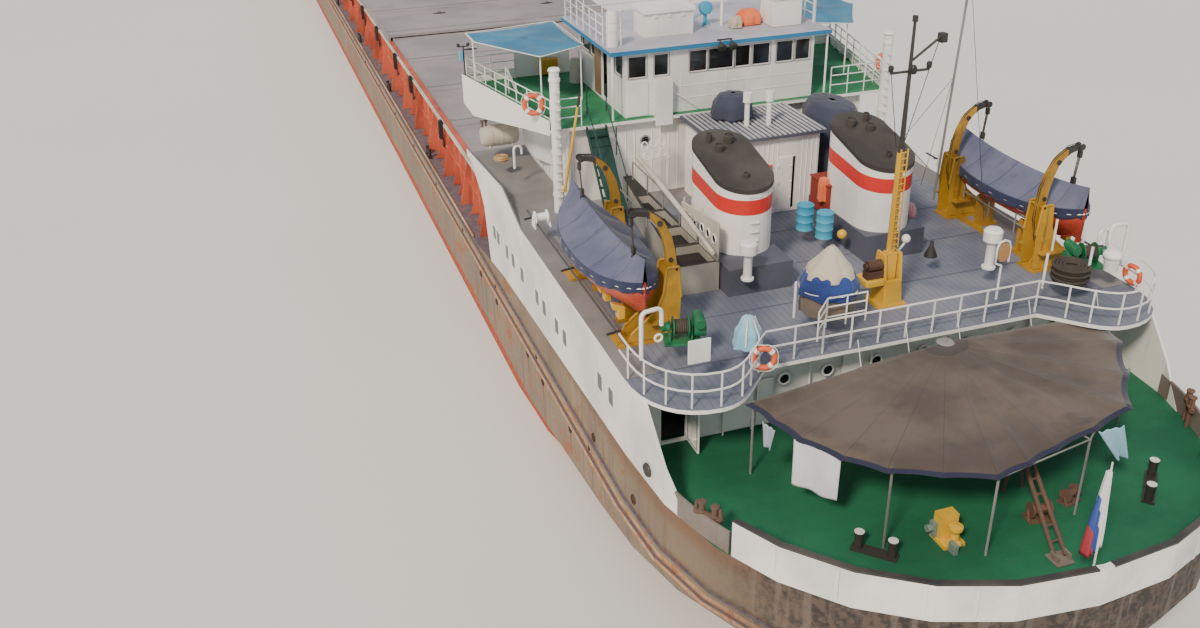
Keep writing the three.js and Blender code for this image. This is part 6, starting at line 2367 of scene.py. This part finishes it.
for y in (0.10, 0.155, 0.21):
    add_block(bm, at(2.3262, y - 0.008, ROOF + 0.068), at(2.3296, y + 0.008, ROOF + 0.080))
piece("roof_lockers", bm, WHITE_TRIM, bevel=0.002)
bm = bmesh.new()
lamp = at(2.430, -0.030, ROOF)
add_rod(bm, lamp + over(CLEAR), lamp + over(0.05), 0.007)
add_rod(bm, lamp + Vector((0, -0.02, 0.044)), lamp + Vector((0, 0.02, 0.044)), 0.004)
glass = [(0, 0), (0.018, 0), (0.024, 0.010), (0.024, 0.036), (0.021, 0.038), (0, 0.036)]
add_turned(bm, lamp + Vector((0.02, 0, 0.062)), glass, axis=(-1, 0, 0.15), sides=24)
for x, y in ((-0.015, -0.015), (-0.015, 0.015), (0.02, 0)):
    add_rod(bm, lamp + Vector((x, y, CLEAR)), lamp + over(0.028), 0.003, sides=8)
piece("searchlight", bm, LIGHT_BLUE)
BUOYANCY = canvas("buoyancy_orange", "e0582e", "ec7a4a", "a03c1e")
draped("roof_buoyancy", at(2.378, -0.185, ROOF + 0.0012),
       [(0.004, 0.058), (0.028, 0.053), (0.042, 0.034), (0.046, 0.012), (0.044, 0.001)], BUOYANCY, 6, 0.09,
       stretch=(0.8, 1.15), seed=13)
draped("roof_bundle", at(2.345, -0.118, ROOF + 0.0012),
       [(0.003, 0.044), (0.018, 0.039), (0.026, 0.021), (0.025, 0.001)], TAN_TARP, 5, 0.12,
       seed=31)
ROOF_POLES = ((2.400, -0.085, 1.79), (2.420, -0.262, 1.72), (2.306, -0.425, 1.72))
pipes("roof_poles", [[at(x, y, ROOF), at(x, y, top)] for x, y, top in ROOF_POLES], 0.0066, WHITE_TRIM)
aerials = [[at(2.72, y, ROOF), at(2.73, y * 1.01, top)] for y, top in ((0.40, 1.78), (-0.40, 1.76))]
pipes("roof_aerials", aerials, 0.0016, GALVANISED)
bm = bmesh.new()
for y in (-0.028, 0.016):
    add_turned(bm, at(2.174, y, ROOF - 0.010),
               [(0, 0), (0.010, 0), (0.017, 0.014), (0.017, 0.019), (0, 0.016)], axis=(-0.75, 0, -0.65),
               sides=20)
    add_rod(bm, at(2.190, y, ROOF + 0.003), at(2.174, y, ROOF - 0.008), 0.004, sides=8)
add_rod(bm, at(2.192, -0.034, ROOF + 0.0025), at(2.192, 0.024, ROOF + 0.0025), 0.003, sides=8)
piece("floodlights", bm, BLACK)

draped("casing_tarpaulin", at(2.085, 0.004, CASING_TOP + 0.0052),
       [(0.01, 0.086), (0.05, 0.080), (0.070, 0.050), (0.080, 0.002)], DARK_TARP, 6, 0.06,
       stretch=(0.92, 1.0), seed=3)
# The stack's dark tarpaulin fills a dark mass beside the casing that is mostly shade, so its dark cloth is
# partly painted shade
draped("covered_stack", at(2.015, -0.362, POOP + 0.0015),
       [(0.01, 0.270), (0.07, 0.262), (0.088, 0.22), (0.092, 0.10), (0.094, 0.002)], DARK_TARP, 7, 0.04,
       stretch=(1.7, 0.95), seed=17)
print("roofs ready")

# %% [markdown]
# The funnels have dark caps that lip over the edge, and exhaust pipes that stand a little proud. The tops
# slope, so the height of each point of the cap and the foot of each pipe are worked out from the slope.

# %% Funnels
FUNNEL_X = (1.370, 1.720)
FUNNEL_SLOPE_X = (1.300, 1.800)
FUNNEL_SLOPE_Z = (1.240, 1.355)
FUNNEL_MIDDLE = 0.250
FUNNEL_RADIUS = 0.095
FUNNEL_STEPS = 48
# Each exhaust pipe's place, radius and height
EXHAUSTS = ((1.640, 0.222, 0.017, 0.028), (1.600, 0.272, 0.015, 0.024), (1.655, 0.285, 0.010, 0.032),
            (1.440, 0.250, 0.009, 0.018))
SOOT = painted("funnel_soot", Coat("38332f", "4f4944", rust=0.35), roughness=0.8)


def funnel_top(x):
    share = (x - FUNNEL_SLOPE_X[0]) / (FUNNEL_SLOPE_X[1] - FUNNEL_SLOPE_X[0])
    return FUNNEL_SLOPE_Z[0] + (FUNNEL_SLOPE_Z[1] - FUNNEL_SLOPE_Z[0]) * share


def add_rungs(bm, x, y, heights, half, reach, radius):
    """Ladder rungs, each with two stubs that run forward to what carries them."""
    for z in heights:
        add_rod(bm, at(x, y - half, z), at(x, y + half, z), radius, sides=6)
        for shift in (-half, half):
            add_rod(bm, at(x, y + shift, z), at(x + reach, y + shift, z), radius, sides=6)


def funnel_gear(name, side):
    bm = bmesh.new()
    plan = []
    reach = FUNNEL_RADIUS + 0.0026
    for number in range(FUNNEL_STEPS):
        turn = math.radians(number * 360 / FUNNEL_STEPS)
        end = FUNNEL_X[1] - FUNNEL_RADIUS if math.cos(turn) > 0 else FUNNEL_X[0] + FUNNEL_RADIUS
        plan.append((end + reach * math.cos(turn), side * FUNNEL_MIDDLE + reach * math.sin(turn)))
    rings = [[bm.verts.new(at(x, y, funnel_top(x) + lift)) for x, y in plan] for lift in (-0.011, 0.0035)]
    for place in range(FUNNEL_STEPS):
        after = (place + 1) % FUNNEL_STEPS
        bm.faces.new((rings[0][place], rings[0][after], rings[1][after], rings[1][place]))
    bm.faces.new(rings[1])
    bm.faces.new(rings[0][::-1])
    for x, y, radius, height in EXHAUSTS:
        bore, well = radius * 0.8, height - 0.006
        rim = [(0, 0), (radius, 0), (radius, height), (bore, height), (bore, well), (0, well)]
        add_turned(bm, at(x, side * y, funnel_top(x) + 0.0005), rim, axis=(-0.2, 0, 1))
    bmesh.ops.recalc_face_normals(bm, faces=bm.faces)
    piece(f"{name}_cap", bm, SOOT)
    bm = bmesh.new()
    pane = at(FUNNEL_X[0] + CLEAR, side * FUNNEL_MIDDLE, 1.2365)
    add_pane(bm, pane, (0, -1, 0), UP, (0.042, 0.008), 0.0022, corner=0.2)
    add_rungs(bm, FUNNEL_X[0] - 0.006, side * FUNNEL_MIDDLE, (1.06, 1.09, 1.12, 1.15), 0.012, 0.008, 0.0016)
    return piece(f"{name}_rungs", bm, WHITE_TRIM)


both(funnel_gear, "funnel_gear")
print("funnels ready")

# %% [markdown]
# The mast folds, so its ladder, lamps and wires ride on its own body, and the winch that raises it stays on
# the ship.

# %% Mast gear
MAST_X = 1.090
MAST_Y = -0.062
LADDER_X = MAST_X - 0.018
LADDER_HALF = 0.011
rungs = bmesh.new()
for number in range(16):
    z = 1.15 + 0.019 * number
    add_rod(rungs, at(LADDER_X, MAST_Y - LADDER_HALF, z), at(LADDER_X, MAST_Y + LADDER_HALF, z), 0.0018,
            sides=6)
for y in (MAST_Y - LADDER_HALF, MAST_Y + LADDER_HALF):
    add_rod(rungs, at(LADDER_X, y, 1.14), at(LADDER_X, y, 1.445), 0.0022, sides=6)
piece("mast_ladder", rungs, YELLOW, body="mast")
bm = bmesh.new()
add_turned(bm, at(MAST_X - 0.016, MAST_Y, 1.66),
           [(0, 0), (0.008, 0), (0.010, 0.004), (0.010, 0.018), (0.006, 0.024), (0, 0.024)])
for y in (MAST_Y - 0.060, MAST_Y + 0.060):
    add_turned(bm, at(MAST_X, y, 1.667), [(0, 0), (0.007, 0), (0.008, 0.014), (0.004, 0.018), (0, 0.018)])
add_block(bm, at(MAST_X - 0.012, MAST_Y - 0.102, 1.735), at(MAST_X + 0.010, MAST_Y - 0.082, 1.760))
piece("mast_lamps", bm, BLACK, body="mast", bevel=0.001)
pipes("mast_wires", [[at(MAST_X, MAST_Y - 0.085, 1.748), at(MAST_X + 0.008, MAST_Y - 0.014, 1.46)],
                     [at(MAST_X, MAST_Y + 0.058, 1.662), at(MAST_X + 0.008, MAST_Y + 0.012, 1.44)]],
      0.0011, BLACK, body="mast")
bm = bmesh.new()
motor = at(MAST_X - 0.012, MAST_Y, POOP + 0.074)
add_rod(bm, motor + Vector((0, 0.036, 0)), motor + Vector((0, 0.082, 0)), 0.017, sides=18)
add_rod(bm, motor + Vector((0, 0.082, 0)), motor + Vector((0, 0.090, 0)), 0.011, sides=14)
add_block(bm, at(MAST_X - 0.026, MAST_Y + 0.0305, POOP + 0.034),
          at(MAST_X + 0.004, MAST_Y + 0.086, POOP + 0.058))
piece("mast_winch_motor", bm, painted("motor_brown", Coat("4a3328", "5e4232", rust=0.5)),
      bevel=0.001)
bm = bmesh.new()
add_block(bm, at(MAST_X - 0.036, MAST_Y + 0.0305, POOP + 0.0126),
          at(MAST_X + 0.030, MAST_Y + 0.092, POOP + 0.034))
piece("mast_winch_bed", bm, YELLOW, bevel=0.003)
bm = bmesh.new()
add_ball(bm, at(MAST_X + 0.004, MAST_Y - 0.052, 1.152), 0.0135)
add_rod(bm, at(MAST_X + 0.004, MAST_Y - 0.0305, 1.118), at(MAST_X + 0.004, MAST_Y - 0.052, 1.142), 0.0032,
        sides=8)
piece("tabernacle_lamp", bm, WHITE_TRIM)


KINGPOST = (2.140, 0.655)


def kingpost_gear(name, side):
    """A cap, bands and a short ladder on the post."""
    x, y = KINGPOST[0], side * KINGPOST[1]
    bm = bmesh.new()
    add_turned(bm, at(x, y, 1.4702), [(0, 0), (0.021, 0), (0.022, 0.004), (0.018, 0.010), (0, 0.012)],
               sides=24)
    for z in (1.02, 1.18, 1.34, 1.44):
        add_band(bm, at(x, y, z), 0.0182, 0.0205, 0.005, sides=24)
    add_rungs(bm, x - 0.026, y, [0.985 + 0.032 * number for number in range(14)], 0.010, 0.012, 0.0015)
    return piece(name, bm, WHITE_TRIM)


both(kingpost_gear, "kingpost_gear")
print("mast and posts ready")

# %% [markdown]
# Water leaves the decks and the engine room through holes in the side, each with a welded rim and a rusty
# mark under it. A turned profile laid on its side makes the rim, and the black paint inside reads as depth.

# %% Holes in the side
SIDE_HOLES = [(2.82, 0.424), (2.535, 0.424), (2.05, 0.436), (1.845, 0.429), (1.51, 0.436), (1.25, 0.565),
              (0.90, 0.575)]
HOLE_PROFILE = [(0, 0.001), (0.010, 0.001), (0.011, 0.0035), (0.0145, 0.0035), (0.0155, 0)]
MARK_DROP = 0.085
MARKS_BELOW = 0.45


def side_holes(name, side):
    rims, marks = bmesh.new(), bmesh.new()
    for x, z in SIDE_HOLES:
        y = 0.8245 if x > 0.95 else 0.8215
        add_turned(rims, at(x, side * y, z), HOLE_PROFILE, axis=(0, side, 0), sides=18)
        foot = side * (y + 0.0004)
        outline = ((-0.007, 0.012), (0.007, 0.012), (0.003, MARK_DROP), (-0.004, MARK_DROP))
        if z < MARKS_BELOW:
            add_plate(marks, [at(x + along, foot, z - drop) for along, drop in outline],
                      (0, side * 0.0004, 0))
    piece(f"{name}_marks", marks, RUN_MARK)
    return piece(name, rims, RUSTED_RIM_AND_HOLE_SHADE)


RUN_MARK = painted("run_mark", Coat("94532e", "7c5a40", rust=0.8, runs=0.8), roughness=0.75)
both(side_holes, "side_holes")
print("side holes", 2 * len(SIDE_HOLES))

# %% [markdown]
# A low bar along the boat deck's edge keeps the water from running down the white sides. Short black pipes
# lead it through. The bar is a block, because it is straight, and it stands just inside the plating's top.
# Its dark grey is painted shade, for the dark line along the deck's edge, with some rust.

# %% The boat deck's edge bar
EDGE_PIPES = (1.08, 1.52, 1.96)


def edge_bar(name, side):
    bm = bmesh.new()
    add_block(bm, at(0.96, side * 0.800, POOP + 0.0004), at(2.03, side * 0.806, POOP + 0.006))
    return piece(name, bm, EDGE_BAR_SHADE, bevel=0.001)


def edge_pipes(name, side):
    bm = bmesh.new()
    for x in EDGE_PIPES:
        add_rod(bm, at(x, side * 0.790, POOP + 0.006), at(x - 0.006, side * 0.834, POOP + 0.004), 0.0035,
                sides=10)
    return piece(name, bm, BLACK)


# The bar's dark grey is painted shade for the line of shadow along the deck's edge; its rust is real wear
EDGE_BAR_SHADE = painted("edge_bar_painted_shade", Coat("4c4a4d", "5c5857", rust=0.4, runs=0.1), roughness=0.6)
both(edge_bar, "edge_bar")
both(edge_pipes, "edge_pipes")
print("edge bars ready")

# %% [markdown]
# The bow is outside the photograph, so it carries what every ship of this type has there: a bulwark with
# brackets and a round cap, a windlass with its chains, bollards, vents, a small hatch and a jackstaff. The
# bulwark's curve is a few points read off the CAD piece, and everything along it is placed by those points.

# %% The bow's bulwark
FORECASTLE = 0.740
BOW_TOP = 0.860
BOW_CURVE = [(12.95, 0.821), (13.02, 0.821), (13.196, 0.799), (13.375, 0.735), (13.540, 0.634),
             (13.681, 0.499), (13.787, 0.341), (13.853, 0.169), (13.876, 0.0)]
BOW_CENTRE = Vector((12.6, 0, 0))
FLARE = 0.055
FLARE_FROM = 12.98
BRACKET_STEP = 0.085


def inside_bow(finish):
    facing_x, facing_y, _ = finish.normal()
    outward = facing_x * (finish.x - (STERN + BOW_CENTRE.x)) + facing_y * finish.y
    return (outward < 0) * (finish.z > FORECASTLE + 0.001) * (finish.x > STERN + 12.945)


def flare_at(x):
    """How far the bulwark leans out over its foot."""
    return FLARE * min(1.0, max(0.0, (x - FLARE_FROM) / 0.4))


def bow_stations(spacing):
    """Points along the bulwark's top at even steps, each with the direction inboard."""
    stations = []
    for start, end in zip(BOW_CURVE, BOW_CURVE[1:]):
        start, end = Vector((*start, 0)), Vector((*end, 0))
        steps = max(1, round((end - start).length / spacing))
        for step in range(steps):
            point = start.lerp(end, (step + 0.5) / steps)
            along = (end - start).normalized()
            stations.append((point, Vector((along.y, -along.x, 0))))
    return stations


def bow_brackets(name, side):
    bm = bmesh.new()
    for point, inboard in bow_stations(BRACKET_STEP):
        rim = point + inboard * 0.007
        foot = point + inboard * (flare_at(point.x) + 0.007)
        toe = foot + inboard * 0.040
        outline = [(rim, BOW_TOP - 0.006), (foot, FORECASTLE + CLEAR), (toe, FORECASTLE + CLEAR),
                   (toe, FORECASTLE + 0.012)]
        push = Vector((-inboard.y * side, inboard.x, 0)) * 0.0035
        add_plate(bm, [at(spot.x, side * spot.y, z) for spot, z in outline], push)
    return piece(name, bm, DEEP_GREEN)


wear("forecastle", painted(
    "bow_paint", Coat("93836c", "7f7262", rust=0.6, runs=0.6, run_colour="5e4434"),
    Coat("f1eee7", "dad7d1", rust=0.25, runs=0.6, run_colour="8a6a52", where=above(FORECASTLE + 0.004)),
    Coat("17603f", "1f5138", rust=0.2, runs=0.3, where=inside_bow),
    Coat("645d61", "746c6c", rust=0.5, runs=0.0, where=lambda f: (f.z < FORECASTLE + 0.0016) * f.level()),
    Coat("e3b53a", "c9992c", rust=0.3, where=lambda f: (abs(f.y) < 0.031) * (f.x < STERN + 12.92)
         * (f.z > FORECASTLE + 0.0008)),
    roughness=0.55,
))
both(bow_brackets, "bow_brackets")
cap = [at(x, y, BOW_TOP + 0.003) for x, y in BOW_CURVE]
cap += [at(x, -y, BOW_TOP + 0.003) for x, y in BOW_CURVE[-2::-1]]
pipes("bow_cap", [cap], 0.0062, BLACK)
print("bow brackets", 2 * len(bow_stations(BRACKET_STEP)))

# %% [markdown]
# A chain is two rings a link apart, each turned a quarter round from the one before. Each cable runs from the
# windlass drum over a claw to the pipe that leads it down to the hawse.

# %% Windlass and chains
WINDLASS_X, WINDLASS_Z = 13.125, FORECASTLE + 0.048
PIPE_PLACE = (13.345, 0.372)
LINK_STEP = 0.0098
BRAKE_WHEEL_Z = 0.813


def anchor_chain(name, side):
    bm = bmesh.new()
    pipe_x, pipe_y = PIPE_PLACE
    route = [at(WINDLASS_X - 0.004, side * 0.118, WINDLASS_Z + 0.029),
             at(WINDLASS_X + 0.02, side * 0.124, WINDLASS_Z + 0.024),
             at(pipe_x - 0.02, side * (pipe_y - 0.02), FORECASTLE + 0.027),
             at(pipe_x, side * pipe_y, FORECASTLE + 0.012)]
    turned = 0
    for start, end in zip(route, route[1:]):
        along = (end - start).normalized()
        sideways = along.cross(UP).normalized()
        count = max(1, round((end - start).length / LINK_STEP))
        for step in range(count):
            facing = sideways if turned % 2 else sideways.cross(along)
            add_ring(bm, start.lerp(end, (step + 0.5) / count), facing, 0.0058, 0.0019, sides=10, section=5)
            turned += 1
    return piece(name, bm, RUSTED)


def chain_gear(name, side):
    bm = bmesh.new()
    pipe = [(0, 0.002), (0.017, 0.002), (0.019, 0.012), (0.027, 0.012), (0.034, 0.0006), (0.034, 0)]
    add_turned(bm, at(PIPE_PLACE[0], side * PIPE_PLACE[1], FORECASTLE + 0.0005), pipe, sides=24)
    claw = at(13.235, side * 0.247, FORECASTLE)
    ahead = Vector((0.66, side * 0.75, 0)).normalized()
    across = Vector((-ahead.y, ahead.x, 0))
    for shift in (-0.017, 0.017):
        foot = claw + across * shift
        add_plate(bm, [foot + ahead * run + over(rise) for run, rise in
                       ((-0.026, 0.0005), (0.026, 0.0005), (0.016, 0.036), (-0.012, 0.036))], across * 0.005)
    add_rod(bm, claw - across * 0.020 + over(0.018), claw + across * 0.024 + over(0.018), 0.005)
    return piece(name, bm, BLACK, bevel=0.0008)


def windlass_gear():
    bm = bmesh.new()
    for side in (-1, 1):
        warping = [(0, 0), (0.022, 0), (0.022, 0.003), (0.013, 0.008), (0.013, 0.022), (0.020, 0.028),
                   (0.020, 0.031), (0, 0.031)]
        add_turned(bm, at(WINDLASS_X, side * 0.190, WINDLASS_Z), warping, axis=(0, side, 0), sides=20)
        for y in (side * 0.080, side * 0.160):
            add_rod(bm, at(WINDLASS_X, y - 0.003, WINDLASS_Z), at(WINDLASS_X, y + 0.003, WINDLASS_Z), 0.033,
                    sides=24)
        x, y = WINDLASS_X - 0.05, side * 0.100
        add_rod(bm, at(x, y, FORECASTLE + 0.012), at(x, y, BRAKE_WHEEL_Z - 0.001), 0.003, sides=8)
        add_ring(bm, at(x, y, BRAKE_WHEEL_Z), UP, 0.014, 0.0022, sides=20, section=6)
    add_rod(bm, at(13.085, -0.030, FORECASTLE + 0.034), at(13.085, 0.030, FORECASTLE + 0.034), 0.018,
            sides=20)
    add_block(bm, at(13.10, -0.028, FORECASTLE + 0.012), at(13.16, 0.028, FORECASTLE + 0.060))
    return piece("windlass_gear", bm, WINCH_GREEN, bevel=0.001)


both(anchor_chain, "anchor_chain")
both(chain_gear, "chain_gear")
windlass_gear()
print("windlass and chains ready")

# %% [markdown]
# The rest of the bow's deck: two pairs of bollards a side, mushroom vents, the hatch to the bosun's store,
# rails along the forecastle's after edge, fairleads in the bulwark and a jackstaff.

# %% Bow deck
BOW_BOLLARDS = [((12.99, 0.66), 0.0), ((13.41, 0.475), -0.75)]


def bow_bollards(name, side):
    bm = bmesh.new()
    profile = [(radius * 1.25, height * 1.2) for radius, height in BOLLARD_PROFILE]
    for (x, y), turn in BOW_BOLLARDS:
        along = Vector((math.cos(turn), side * math.sin(turn), 0))
        across = Vector((-along.y, along.x, 0))
        middle = at(x, side * y, FORECASTLE + 0.0005)
        bed = [middle + along * a * 0.058 + across * b * 0.014
               for a, b in ((-1, -1), (1, -1), (1, 1), (-1, 1))]
        add_plate(bm, bed, (0, 0, 0.005))
        for shift in (-0.035, 0.035):
            add_turned(bm, middle + along * shift + over(0.005), profile, sides=16)
    return piece(name, bm, BLACK)


def bow_fairleads(name, side):
    rims, throats = bmesh.new(), bmesh.new()
    for point, inboard in bow_stations(0.35)[1::2]:
        outward = Vector((-inboard.x, -inboard.y * side, 0))
        spot = point + inboard * (flare_at(point.x) * 0.55)
        centre = at(spot.x, side * spot.y, FORECASTLE + 0.055) + outward * 0.006
        add_ring(rims, centre, outward, 0.021, 0.0045, sides=24, section=8)
        add_rod(throats, centre - outward * 0.016, centre + outward * 0.0012, 0.019, sides=22)
    piece(f"{name}_throats", throats, BLACK)
    return piece(name, rims, WHITE_TRIM)


def bow_hatch():
    bm = bmesh.new()
    low, high = at(12.855, -0.40, FORECASTLE + 0.0005), at(12.945, -0.31, FORECASTLE + 0.048)
    add_block(bm, low, high)
    add_block(bm, at(12.849, -0.406, FORECASTLE + 0.0485), at(12.951, -0.304, FORECASTLE + 0.056))
    for y in (-0.385, -0.325):
        add_rod(bm, at(12.953, y, FORECASTLE + 0.030), at(12.958, y, FORECASTLE + 0.060), 0.003, sides=8)
    add_ring(bm, at(12.90, -0.355, FORECASTLE + 0.059), UP, 0.012, 0.002, sides=18, section=6)
    return piece("bow_hatch", bm, WHITE_TRIM, bevel=0.0015)


both(bow_bollards, "bow_bollards")
both(bow_fairleads, "bow_fairleads")
bow_hatch()
vent("bow_vent_port", 12.90, 0.42, foot=FORECASTLE)
vent("bow_vent_starboard", 12.90, -0.55, foot=FORECASTLE)
for name, side in SIDES:
    edge = [at(x, side * y, FORECASTLE) for x, y in ((12.785, 0.150), (12.785, 0.800), (12.94, 0.812))]
    pipes(f"forecastle_rail_{name}", railing(edge, 0.105, BARS, 0.11), 0.0024, WHITE_TRIM)
pipes("jackstaff", [[at(13.835, 0, FORECASTLE + 0.02), at(13.850, 0, 1.09)]], 0.0036, WHITE_TRIM)
print("bow deck ready")

# %% [markdown]
# The foremast folds for low bridges, so its lamps, steps and blocks ride on it and nothing ties it to the
# deck.

# %% Foremast
FOREMAST_X = 12.880


def foremast_gear():
    bm, lamps, glass = bmesh.new(), bmesh.new(), bmesh.new()
    for height in (0.94, 0.98, 1.02, 1.06, 1.10, 1.14, 1.18, 1.22):
        add_rod(bm, at(FOREMAST_X, -0.020, height), at(FOREMAST_X, 0.020, height), 0.0018, sides=6)
    for y in (-0.046, 0.046):
        add_rod(bm, at(FOREMAST_X, y, 1.238), at(FOREMAST_X, y, 1.250), 0.003, sides=8)
        add_ball(bm, at(FOREMAST_X, y, 1.235), 0.006)
    for height in (1.30, 1.20):
        foot = at(FOREMAST_X + 0.020, 0, height)
        add_block(bm, at(FOREMAST_X, -0.012, height - 0.004), at(FOREMAST_X + 0.032, 0.012, height))
        add_rod(lamps, foot, foot + over(0.005), 0.012, sides=16)
        add_rod(lamps, foot + over(0.020), foot + over(0.027), 0.012, 0.005, sides=16)
        add_rod(glass, foot + over(0.005), foot + over(0.020), 0.0095, sides=16)
    add_ball(bm, at(FOREMAST_X, 0, 1.401), 0.006)
    piece("foremast_fittings", bm, YELLOW, body="foremast")
    piece("foremast_lamps", lamps, BLACK, body="foremast")
    return piece("foremast_glass", glass, GLASS.material, body="foremast")


foremast_gear()
print("foremast ready")

# %% [markdown]
# Below the water the steel is red lead, worn and patchy, and the screws are bronze, yellow where they are
# polished by the water. The door on the quarter has its handle, hinges and a stiff pressed panel, and moves
# with its own body.

# %% Screws, nozzles and the door
BRONZE = painted("screw_bronze", Coat("9a7a3c", "7d6433", rust=0.05, runs=0.1, run_colour="4e5a44"),
                 roughness=0.32)
BRONZE.node_tree.nodes["Principled BSDF"].inputs["Metallic"].default_value = 0.85
NOZZLE_PAINT = painted("nozzle_paint", Coat("8e3b28", "a34a2f", rust=0.5, runs=0.3, run_colour="4a3a30"),
                       roughness=0.7)
wear("rudder", NOZZLE_PAINT)
for side, _ in SIDES:
    wear(f"screw_{side}", BRONZE)
    wear(f"nozzle_{side}", NOZZLE_PAINT)


def door_gear():
    low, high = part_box("house_door")
    middle, size = (low + high) / 2, high - low
    thin = min(range(3), key=lambda axis: size[axis])
    out = Vector()
    out[thin] = 1
    along = UP.cross(out)
    wide = max(size.x, size.y)
    bm = bmesh.new()
    for face in (-1, 1):
        push = out * face
        across = along * face
        centre = middle + push * (size[thin] / 2 + 0.0002)
        add_frame(bm, centre, across, UP, (wide * 0.86, size.z * 0.90), 0.006, 0.0015)
        for share in (-0.3, 0.0, 0.3):
            spot = centre + over(share * size.z) + across * (wide * 0.30)
            add_rod(bm, spot, spot + push * 0.005, 0.0035, sides=10)
            add_rod(bm, spot + push * 0.005 - across * 0.012, spot + push * 0.005 + across * 0.004, 0.0022,
                    sides=8)
        add_ring(bm, centre + over(size.z * 0.22), push, 0.0145, 0.0024, sides=24, section=6)
    glass = bmesh.new()
    spot = middle + over(size.z * 0.22)
    add_rod(glass, spot - out * (size[thin] / 2 + 0.0008), spot + out * (size[thin] / 2 + 0.0008), 0.0135,
            sides=22)
    piece("house_door_glass", glass, GLASS.material, body="house_door")
    return piece("house_door_fittings", bm, WHITE_TRIM, body="house_door")


door_gear()
print("screws, nozzles and door ready")
